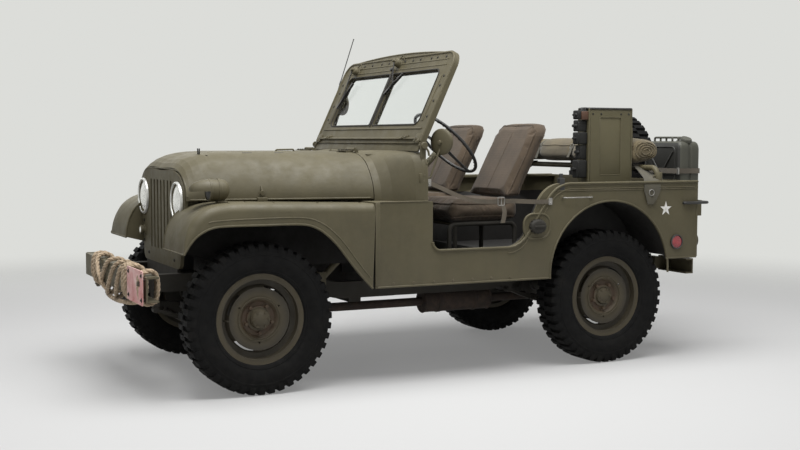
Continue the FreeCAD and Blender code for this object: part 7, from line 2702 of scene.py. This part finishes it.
def make_body_trim():
    bm = bmesh.new()
    for side in (1, -1):
        edge = door_edge(0.0)
        bead = [vec(x, (BODY_HALF + 0.001) * side, z - 0.0035) for x, z in edge[1:]]
        add_tube(bm, bead, 0.0078, 10)
        low = [vec(p[0], (BODY_HALF + 0.0005) * side, p[1]) for p in door_edge(0.033) if p[0] < DOOR_FRONT - 0.15]
        add_tube(bm, low[:-1] + [low[-1] + vec(0.02, 0, 0)], 0.0042, 8)
        arch = []
        for k in range(41):
            a = radians(-2.5 + 185 * k / 40)
            arch.append(vec(
                ARCH_X + (ARCH_R + 0.005) * cos(a), (BODY_HALF - 0.001) * side, ARCH_Z + (ARCH_R + 0.005) * sin(a),
            ))
        add_tube(bm, arch, 0.0062, 10)
        rocker = [vec(BODY_FRONT - 0.01, (BODY_HALF - 0.001) * side, ROCKER_Z + 0.005), vec(
            ARCH_X + ARCH_R + 0.012, (BODY_HALF - 0.001) * side, ROCKER_Z + 0.005,
        )]
        add_tube(bm, rocker, 0.006, 10)
        tail = [vec(
            BODY_REAR + 0.012, (BODY_HALF - 0.001) * side, 0.583,
        ), vec(BODY_REAR + 0.22, (BODY_HALF - 0.001) * side, 0.583)]
        add_tube(bm, tail, 0.005, 8)
        corner = [vec(BODY_REAR + 0.002, (BODY_HALF - 0.002) * side, z) for z in (0.585, 0.8, 1.018)]
        add_tube(bm, corner, 0.0065, 10)
    finished("body_edges", bm, olive())

    bm = bmesh.new()
    for side in (1, -1):
        add_plate(
            bm,
            [
                (BODY_FRONT + 0.001, 0.515), (BODY_FRONT - 0.024, 0.515), (BODY_FRONT - 0.024, 0.935),
                (BODY_FRONT + 0.001, 0.935),
            ],
            "y", min(side * BODY_HALF, side * (BODY_HALF + 0.0022)), max(side * BODY_HALF, side * (BODY_HALF + 0.0022)),
            0.0007,
        )
    finished("body_joint_strips", bm, olive())

    spots = []
    for side in (1, -1):
        for k in range(7):
            spots.append((vec(BODY_FRONT - 0.1 - 0.115 * k, BODY_HALF * side, 0.525), (0, side, 0)))
        for k in range(5):
            spots.append((vec(BODY_REAR + 0.06 + 0.14 * k, (BODY_HALF - 0.031) * side, DECK_Z), (0, 0, 1)))
    fastenings("body_bolts", spots, 0.0062, 0.0045, olive())

    bm = bmesh.new()
    mouth = vec(FRONT_AXLE - 1.545, BODY_HALF, 0.792)
    dish = rounded([
        (mouth.x - 0.082, mouth.z - 0.066), (mouth.x + 0.082, mouth.z - 0.066), (mouth.x + 0.082, mouth.z + 0.066),
        (mouth.x - 0.082, mouth.z + 0.066),
    ], [0.055] * 4, 8)
    add_tube(bm, [vec(p.x, BODY_HALF + 0.0008, p.y) for p in dish], 0.007, 10, True)
    add_plate(bm, dish, "y", BODY_HALF - 0.001, BODY_HALF + 0.0015)
    finished("filler_dish", bm, olive())
    bm = bmesh.new()
    cap = []
    for radius, out in (
        (0, 0.031), (0.024, 0.031), (0.03, 0.029), (0.034, 0.026), (0.0375, 0.02), (0.0385, 0.01), (0.0385, 0.001),
        (0, 0.001),
    ):
        cap.append((radius, out))
    add_lathe(bm, cap, mouth, Y_AXIS, 44)
    for v in bm.verts:
        v.co.x = mouth.x + (v.co.x - mouth.x) * 1.28
    for k in range(16):
        a = TAU * k / 16
        at = mouth + vec(0.0385 * 1.27 * cos(a), 0.01, 0.0385 * sin(a))
        add_rod(bm, at - vec(0, 0.008, 0), at + vec(0, 0.008, 0), 0.0032, 8)
    add_box(bm, mouth + vec(-0.033, 0.028, -0.005), mouth + vec(0.033, 0.04, 0.005), 0.0025)
    finished("filler_cap", bm, dark_olive())

    bm = bmesh.new()
    wire = bmesh.new()
    dark = bmesh.new()
    for side in (1, -1):
        for x, z, reach in ((FRONT_AXLE - 1.8, 0.943, 0.092),):
            a = vec(x + reach, BODY_HALF * side, z)
            b = vec(x - reach, BODY_HALF * side, z)
            out = vec(0, 0.024 * side, 0.0)
            add_tube(wire, corner_path([a, a + out, b + out, b], 0.012, 5), 0.0036, 12)
            for foot in (a, b):
                add_lathe(bm, [
                    (0, -0.001), (0.0145, -0.001), (0.0145, 0.002), (0.008, 0.005), (0, 0.005),
                ], foot, vec(0, side, 0), 18)
        block = vec(FRONT_AXLE - 1.705, (BODY_HALF - 0.012) * side, DECK_Z - 0.01)
        add_box(dark, block - vec(0.016, 0.016, 0.03), block + vec(0.016, 0.016, 0.038), 0.004)
        add_rod(dark, block + vec(0, 0, 0.034), block + vec(0, 0, 0.062), 0.01, 14, 0.002)
    for side in (1, -1):
        a = vec(BODY_REAR + 0.1, BODY_HALF * side, 0.897)
        b = vec(BODY_REAR + 0.001, 0.64 * side, 0.897)
        turn = [
            a, a + vec(0, 0.013 * side, 0), vec(BODY_REAR - 0.068, (BODY_HALF + 0.013) * side, 0.897),
            vec(BODY_REAR - 0.068, b.y, 0.897), b,
        ]
        add_tube(dark, corner_path(turn, 0.012, 5), 0.0085, 12)
        add_lathe(bm, [(0, -0.001), (0.016, -0.001), (0.016, 0.003), (0.008, 0.006), (0, 0.006)], b, -X_AXIS, 18)
        add_tube(bm, [
            vec(x, (BODY_HALF + 0.0002) * side, DECK_Z - 0.042)
            for x in (BODY_REAR + 0.012, BODY_REAR + 0.3, BODY_REAR + 0.6, FRONT_AXLE - 1.67)
        ], 0.004, 8)
    finished("side_handles", bm, olive())
    finished("wire_handles", wire, steel())
    finished("dark_fittings", dark, black())

    bm = bmesh.new()
    glow = bmesh.new()
    for side in (1, -1):
        at = vec(FRONT_AXLE - 2.489, BODY_HALF * side, 0.675)
        add_lathe(bm, [
            (0.033, 0.0), (0.041, 0.0), (0.0425, 0.003), (0.042, 0.01), (0.038, 0.0125), (0.0352, 0.0105),
            (0.0345, 0.006), (0.033, 0.0),
        ], at, vec(0, side, 0), 44)
        add_lathe(glow, [
            (0, 0.0001), (0.0348, 0.0001), (0.0348, 0.0075), (0.03, 0.0095), (0.016, 0.0112), (0, 0.0116),
        ], at, vec(0, side, 0), 44)
    finished("reflector_rims", bm, black())
    finished("reflectors", glow, finish("red_lens", red_lens))

    bm = bmesh.new()
    for side in (1, -1):
        low, high = sorted((side * (BODY_HALF - 0.0004), side * (BODY_HALF + 0.0009)))
        add_plate(bm, star_outline((FRONT_AXLE - 2.412, 0.866), 0.042), "y", low, high)
    finished("white_stars", bm, finish("white_marking", white_marking), flat=True)

    bm = bmesh.new()
    for y in (-0.66, -0.02, 0.12, 0.66):
        add_tube(bm, [vec(BODY_REAR + 0.0005, y, z) for z in (0.63, 0.7, 0.9, 0.985)], 0.0095, 12)
    for z in (0.64, 0.985):
        add_tube(bm, [vec(BODY_REAR + 0.0005, y, z) for y in (-0.725, -0.3, 0.3, 0.725)], 0.008, 12)
    finished("rear_stiffeners", bm, olive())


class FIELDCAR_OT_body_trim(bpy.types.Operator):
    """Makes the body's rolled edges, joint strips, filler cap, handles, reflector, star and rear stiffeners"""
    bl_idname = "fieldcar.body_trim"
    bl_label = "Body trim"

    def execute(self, context):
        make_body_trim()
        return {"FINISHED"}


def make_door_straps():
    web = bmesh.new()
    metal = bmesh.new()
    for side in (1, -1):
        y = (BODY_HALF + 0.007) * side
        front = vec(DOOR_FRONT + 0.018, (BODY_HALF - 0.01) * side, 1.035)
        rear = vec(FRONT_AXLE - 1.625, y, 0.925)
        points = []
        for k in range(25):
            t = k / 24
            sag = -0.05 * sin(pi * t) * (1 + 0.35 * sin(TAU * t))
            points.append(front.lerp(rear, t) + vec(0, 0.004 * sin(3 * pi * t) * side, sag))
        add_strap(web, points, Z_AXIS, 0.024, 0.0032)
        tail = smooth_path([
            points[14], points[14] + vec(-0.018, 0.008 * side, -0.055), points[14] + vec(-0.01, 0.004 * side, -0.115),
        ], 5)
        add_strap(web, tail, X_AXIS, 0.026, 0.0028)
        for at in (points[0], points[-1]):
            add_box(metal, at + vec(-0.012, -0.006, -0.019), at + vec(0.012, 0.004, 0.019), 0.002)
            add_rod(metal, at + vec(0.0, 0.003 * side, -0.008), at + vec(0.0, 0.009 * side, -0.008), 0.005, 12, 0.001)
        at = points[14]
        hoop = [
            at + vec(dx, 0.0035 * side, dz)
            for dx, dz in rounded([(-0.02, -0.021), (0.02, -0.021), (0.02, 0.021), (-0.02, 0.021)], [0.006] * 4, 3)
        ]
        add_tube(metal, hoop, 0.0026, 8, True)
        add_rod(metal, at + vec(0, 0.005 * side, -0.02), at + vec(0, 0.005 * side, 0.02), 0.0022, 8)
    finished("door_straps", web, webbing())
    finished("strap_buckles", metal, steel())


class FIELDCAR_OT_door_straps(bpy.types.Operator):
    """Makes the webbing straps across the door openings with their buckles"""
    bl_idname = "fieldcar.door_straps"
    bl_label = "Door straps"

    def execute(self, context):
        make_door_straps()
        return {"FINISHED"}


def make_cowl_trim():
    bm = bmesh.new()
    for side in (1, -1):
        seam = [vec(BODY_FRONT - 0.001 - 0.296 * k / 12, (BODY_HALF + 0.0004) * side, 0.941) for k in range(13)]
        add_tube(bm, seam[1:], 0.0034, 8)
        knob = vec(FRONT_AXLE - 0.872, 0.7365 * side, 1.226)
        add_lathe(bm, [
            (0, 0), (0.017, 0), (0.019, 0.003), (0.019, 0.009), (0.016, 0.013), (0, 0.014),
        ], knob, vec(0, side, 0), 20)
        add_tube(bm, corner_path([
            knob + vec(0, 0.008 * side, 0), knob + vec(-0.02, 0.012 * side, -0.03),
            knob + vec(-0.024, 0.012 * side, -0.052),
        ], 0.008, 4), 0.0055, 10)
    rear_lip = []
    for k in range(41):
        y = 0.748 * cos(pi * k / 40)
        u = abs(y) / BODY_HALF
        z = 0.94 + (1.196 - 0.94) * run_of((
            (0.0, 1.0), (0.85, 0.985), (0.93, 0.94), (0.975, 0.82), (0.995, 0.62), (1.0, 0.33),
        ), u)
        rear_lip.append(vec(COWL_REAR + 0.004, y, z - 0.003))
    add_tube(bm, rear_lip, 0.0062, 10)
    finished("cowl_edges", bm, olive())

    bm = bmesh.new()
    pad = [vec(FRONT_AXLE - 0.822, 0.47 * (1 - k / 20), 1.1955 - 0.002 * abs(1 - k / 20) ** 4) for k in range(41)]
    add_strap(bm, pad, X_AXIS, 0.018, 0.006)
    finished("windshield_foot_seal", bm, olive())

    bm = bmesh.new()
    vent = vec(FRONT_AXLE - 0.735, 0.0, 1.189)
    add_plate(bm, rounded([
        (vent.x - 0.045, -0.105), (vent.x + 0.045, -0.105), (vent.x + 0.045, 0.105), (vent.x - 0.045, 0.105),
    ], [0.014] * 4, 4), "z", 1.186, 1.1955, 0.002)
    for side in (1, -1):
        block = vec(FRONT_AXLE - 0.715, 0.43 * side, 1.168)
        add_box(bm, block - vec(0.03, 0.016, 0.01), block + vec(0.03, 0.016, 0.014), 0.004)
    finished("cowl_vent", bm, olive())
    spots = []
    for side in (1, -1):
        for x in (FRONT_AXLE - 0.7, FRONT_AXLE - 0.77):
            spots.append((vec(x, 0.092 * side, 1.1955), (0, 0, 1)))
    fastenings("cowl_bolts", spots, 0.006, 0.0045, olive())


class FIELDCAR_OT_cowl_trim(bpy.types.Operator):
    """Makes the seam beads of the cowl, its vent, drain and bolts, and the windshield's knobs"""
    bl_idname = "fieldcar.cowl_trim"
    bl_label = "Cowl trim"

    def execute(self, context):
        make_cowl_trim()
        return {"FINISHED"}


# Finishes of the solids that stay in view


def dress_solids():
    """Gives every solid of the car a procedural finish that suits what it is."""
    shown = {
        "body_floor": shaded_olive(), "body_side_left": shaded_olive(), "body_side_right": shaded_olive(),
        "cowl": olive(),
        "dashboard": olive(), "fender_left": olive(), "fender_right": olive(), "front_bumper": olive(),
        "grille": olive(), "headlamps": olive(), "hood": olive(), "marker_lamps": olive(),
        "blackout_lamp": olive(), "mirrors": olive(), "radio_cabinet": cabinet_paint(),
        "rear_bumperettes": olive(), "rear_carriers": olive(), "rear_panel": olive(), "seat_frames": dark_olive(),
        "windshield_frame": olive(), "spare_wheel": wheel_paint_and_shade(), "wheel_front_left": wheel_paint_and_shade(),
        "wheel_front_right": wheel_paint_and_shade(), "wheel_rear_left": wheel_paint_and_shade(), "wheel_rear_right": wheel_paint_and_shade(),
        "windshield_glass": finish("pane_glass", pane_glass), "headlamp_lenses": finish("lens_glass", lens_glass),
        "antenna": black(), "canvas_roll": tan_canvas(), "equipment_rack": rack_paint(), "fuel_can": can_paint_and_shadow(),
        "frame_members": dark_olive(), "frame_rails": dark_olive(), "leaf_springs": dark_olive(),
        "front_axle": dark_olive(), "rear_axle": dark_olive(), "knuckle_left": dark_olive(),
        "knuckle_right": dark_olive(), "tie_rod": dark_olive(), "propeller_shafts": dark_olive(),
        "engine_block": finish("cast_iron", cast_iron), "gearbox": finish("cast_iron", cast_iron),
        "exhaust": finish("rusted_steel", rusted_steel), "radiator": black(), "seat_pads": seat_canvas(),
        "spare_tyre": finish("tyre_rubber", tyre_rubber), "steering_column": olive(), "steering_wheel": black(),
        "top_bow": olive(), "tow_rope": finish("rope_fibre", rope_fibre), "wipers": black(),
        "tyre_front_left": finish("tyre_rubber", tyre_rubber), "tyre_front_right": finish("tyre_rubber", tyre_rubber),
        "tyre_rear_left": finish("tyre_rubber", tyre_rubber), "tyre_rear_right": finish("tyre_rubber", tyre_rubber),
    }
    for name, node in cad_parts.items():
        material = shown.get(name)
        if material is None:
            raise RuntimeError("no finish is set for " + name)
        slots = node.data.materials
        for index in range(max(1, len(slots))):
            if index < len(slots):
                slots[index] = material
            else:
                slots.append(material)


class FIELDCAR_OT_finishes(bpy.types.Operator):
    """Puts paint, steel, rubber and canvas on the car's own solids"""
    bl_idname = "fieldcar.finishes"
    bl_label = "Finishes"

    def execute(self, context):
        dress_solids()
        return {"FINISHED"}


# Floor, light and camera


def seen_directly(nodes, links):
    """One for rays from the camera, off a glossy face or through glass, else nought."""
    rays = nodes.new("ShaderNodeLightPath")
    found = rays.outputs["Is Camera Ray"]
    for other in ("Is Glossy Ray", "Is Transmission Ray"):
        highest = nodes.new("ShaderNodeMath")
        highest.operation = "MAXIMUM"
        links.new(found, highest.inputs[0])
        links.new(rays.outputs[other], highest.inputs[1])
        found = highest.outputs[0]
    return found


def pale_floor():
    """A pale floor that fades out around the car."""
    floor = bpy.data.materials.new("studio_floor")
    floor.use_nodes = True
    nodes, links = floor.node_tree.nodes, floor.node_tree.links
    nodes.clear()
    out = nodes.new("ShaderNodeOutputMaterial")
    matt = nodes.new("ShaderNodeBsdfDiffuse")
    matt.inputs["Color"].default_value = (0.52, 0.52, 0.516, 1)
    glow = nodes.new("ShaderNodeEmission")
    glow.inputs["Color"].default_value = (0.86, 0.86, 0.855, 1)
    share = nodes.new("ShaderNodeMath")
    share.operation = "MULTIPLY"
    share.inputs[1].default_value = 0.22
    links.new(seen_directly(nodes, links), share.inputs[0])
    lifted = nodes.new("ShaderNodeMixShader")
    links.new(share.outputs[0], lifted.inputs["Fac"])
    links.new(matt.outputs[0], lifted.inputs[1])
    links.new(glow.outputs[0], lifted.inputs[2])
    clear = nodes.new("ShaderNodeBsdfTransparent")
    place = nodes.new("ShaderNodeTexCoord")
    length = nodes.new("ShaderNodeVectorMath")
    length.operation = "LENGTH"
    links.new(place.outputs["Object"], length.inputs[0])
    fade = nodes.new("ShaderNodeMapRange")
    fade.interpolation_type = "SMOOTHSTEP"
    fade.inputs["From Min"].default_value = 3.0
    fade.inputs["From Max"].default_value = 7.5
    links.new(length.outputs["Value"], fade.inputs["Value"])
    mix = nodes.new("ShaderNodeMixShader")
    links.new(fade.outputs["Result"], mix.inputs["Fac"])
    links.new(lifted.outputs[0], mix.inputs[1])
    links.new(clear.outputs[0], mix.inputs[2])
    links.new(mix.outputs[0], out.inputs["Surface"])
    return floor


def add_light(name, place, target, size, power, colour=(1, 1, 1), tall=None):
    """A soft rectangular light that looks at a target."""
    lamp = bpy.data.lights.new(name, "AREA")
    lamp.shape = "RECTANGLE"
    lamp.size = size
    lamp.size_y = tall or size
    lamp.energy = power
    lamp.color = colour
    holder = bpy.data.objects.new(name, lamp)
    holder.location = place
    holder.rotation_euler = (Vector(target) - Vector(place)).to_track_quat("-Z", "Y").to_euler()
    holder.visible_camera = False
    bpy.context.scene.collection.objects.link(holder)
    return holder


def set_world(backdrop, ambient):
    """The backdrop that the camera sees, and the dim light from all sides."""
    world = bpy.data.worlds.new("studio")
    bpy.context.scene.world = world
    world.use_nodes = True
    nodes, links = world.node_tree.nodes, world.node_tree.links
    nodes.clear()
    out = nodes.new("ShaderNodeOutputWorld")
    seen = nodes.new("ShaderNodeBackground")
    seen.inputs["Color"].default_value = backdrop
    glow = nodes.new("ShaderNodeBackground")
    glow.inputs["Color"].default_value = (1.0, 1.0, 1.0, 1)
    glow.inputs["Strength"].default_value = ambient
    mix = nodes.new("ShaderNodeMixShader")
    links.new(seen_directly(nodes, links), mix.inputs["Fac"])
    links.new(glow.outputs[0], mix.inputs[1])
    links.new(seen.outputs[0], mix.inputs[2])
    links.new(mix.outputs[0], out.inputs["Surface"])


# The camera, solved from the photo's wheels, tyres and body edges
LENS_MM = 53.78
LENS_SHIFT = (0.0016, -0.0004)
CAMERA_PLACE = vec(3.099, 6.209, 1.255)
YAW, PITCH, ROLL = radians(-116.04), radians(-4.06), radians(-0.11)


def set_camera():
    """The camera of the photo."""
    camera = bpy.data.cameras.new("photo_camera")
    camera.sensor_width = 36
    camera.lens = LENS_MM
    camera.shift_x, camera.shift_y = LENS_SHIFT
    camera.clip_end = 60
    holder = bpy.data.objects.new("photo_camera", camera)
    bpy.context.scene.collection.objects.link(holder)
    ahead = vec(cos(YAW) * cos(PITCH), sin(YAW) * cos(PITCH), sin(PITCH))
    right = ahead.cross(Z_AXIS).normalized()
    up = right.cross(ahead)
    turned = Matrix.Rotation(ROLL, 3, ahead)
    right, up = turned @ right, turned @ up
    back = -ahead
    holder.matrix_world = Matrix([
        (right[i], up[i], back[i], CAMERA_PLACE[i]) for i in range(3)
    ] + [(0, 0, 0, 1)])
    bpy.context.scene.camera = holder


BACKDROP = (0.715, 0.722, 0.695, 1)
AMBIENT = 0.2
# Each light's name, place, target, width, watts and height
LIGHTS = (
    ("high_soft", (0.3, 1.2, 5.2), (0, 0, 0.4), 5.0, 460, 4.0),
    ("front_left", (4.6, 3.6, 3.2), (0.3, 0.3, 0.7), 2.6, 38, None),
    ("side_fill", (-1.0, 6.0, 2.2), (0, 0.5, 0.7), 3.6, 12, None),
    ("far_side", (0.5, -4.8, 2.6), (0, 0, 0.9), 3.0, 38, None),
)


def make_stage(context):
    bm = bmesh.new()
    bmesh.ops.create_circle(bm, cap_ends=True, radius=9.0, segments=96)
    mesh = bpy.data.meshes.new("studio_floor")
    bm.to_mesh(mesh)
    bm.free()
    mesh.materials.append(pale_floor())
    floor = bpy.data.objects.new("studio_floor", mesh)
    floor.location = (0, 0, -0.001)
    context.scene.collection.objects.link(floor)
    set_world(BACKDROP, AMBIENT)
    look = settings()
    for name, place, target, size, power, tall in LIGHTS:
        add_light(name, place, target, size, power * look.light_scale, tall=tall)
    scene = context.scene
    scene.view_settings.view_transform = "Standard"
    set_camera()


class FIELDCAR_OT_stage(bpy.types.Operator):
    """Makes the pale floor, the soft lights and the camera"""
    bl_idname = "fieldcar.stage"
    bl_label = "Floor, light and camera"

    def execute(self, context):
        make_stage(context)
        return {"FINISHED"}


# Settings, panel and run


class FieldCarSettings(bpy.types.PropertyGroup):
    paint_colour: bpy.props.FloatVectorProperty(
        name="Paint colour", description="Base colour of the body paint", subtype="COLOR", size=3, min=0, max=1,
        default=OLIVE,
    )
    light_scale: bpy.props.FloatProperty(
        name="Light", description="Scales the power of every studio light", default=1.0, min=0.1, max=4.0,
    )
    rope_twist: bpy.props.FloatProperty(
        name="Rope twist", description="Length of rope in which a strand goes round once", default=0.075, min=0.03,
        max=0.3, unit="LENGTH", subtype="DISTANCE",
    )
    pad_lift: bpy.props.FloatProperty(
        name="Pad swell", description="How far a seat cover may swell past its cut shape", default=0.012, min=0.0,
        max=0.03, unit="LENGTH", subtype="DISTANCE",
    )
    cloth_frames: bpy.props.IntProperty(
        name="Cloth frames", description="Frames for which the seat covers are blown up", default=14, min=1, max=20,
    )


PIECE_OPERATORS = (
    FIELDCAR_OT_stage,
    FIELDCAR_OT_finishes,
    FIELDCAR_OT_tow_rope,
    FIELDCAR_OT_fenders,
    FIELDCAR_OT_windshield,
    FIELDCAR_OT_hood_trim,
    FIELDCAR_OT_lamps,
    FIELDCAR_OT_front,
    FIELDCAR_OT_cabinet,
    FIELDCAR_OT_canvas,
    FIELDCAR_OT_fuel_can,
    FIELDCAR_OT_mirrors,
    FIELDCAR_OT_controls,
    FIELDCAR_OT_tyres,
    FIELDCAR_OT_wheel_trim,
    FIELDCAR_OT_springs,
    FIELDCAR_OT_underbody,
    FIELDCAR_OT_seats,
    FIELDCAR_OT_body_trim,
    FIELDCAR_OT_door_straps,
    FIELDCAR_OT_cowl_trim,
)


class FIELDCAR_PT_panel(bpy.types.Panel):
    """Lists the steps that dress the car"""
    bl_label = "Field car"
    bl_idname = "FIELDCAR_PT_panel"
    bl_space_type = "VIEW_3D"
    bl_region_type = "UI"
    bl_category = "Field car"

    def draw(self, context):
        column = self.layout.column(align=True)
        for item in PIECE_OPERATORS:
            column.operator(item.bl_idname)
        column = self.layout.column(align=True)
        for name in FieldCarSettings.__annotations__:
            column.prop(settings(), name)


CLASSES = (FieldCarSettings,) + PIECE_OPERATORS + (FIELDCAR_PT_panel,)


def register():
    for item in CLASSES:
        bpy.utils.register_class(item)
    bpy.types.Scene.field_car = bpy.props.PointerProperty(type=FieldCarSettings)


def unregister():
    del bpy.types.Scene.field_car
    for item in reversed(CLASSES):
        bpy.utils.unregister_class(item)


def main():
    register()
    for item in PIECE_OPERATORS:
        group, step = item.bl_idname.split(".")
        outcome = getattr(getattr(bpy.ops, group), step)()
        if outcome != {"FINISHED"}:
            raise RuntimeError(item.bl_label + " did not finish")


if __name__ == "__main__":
    main()
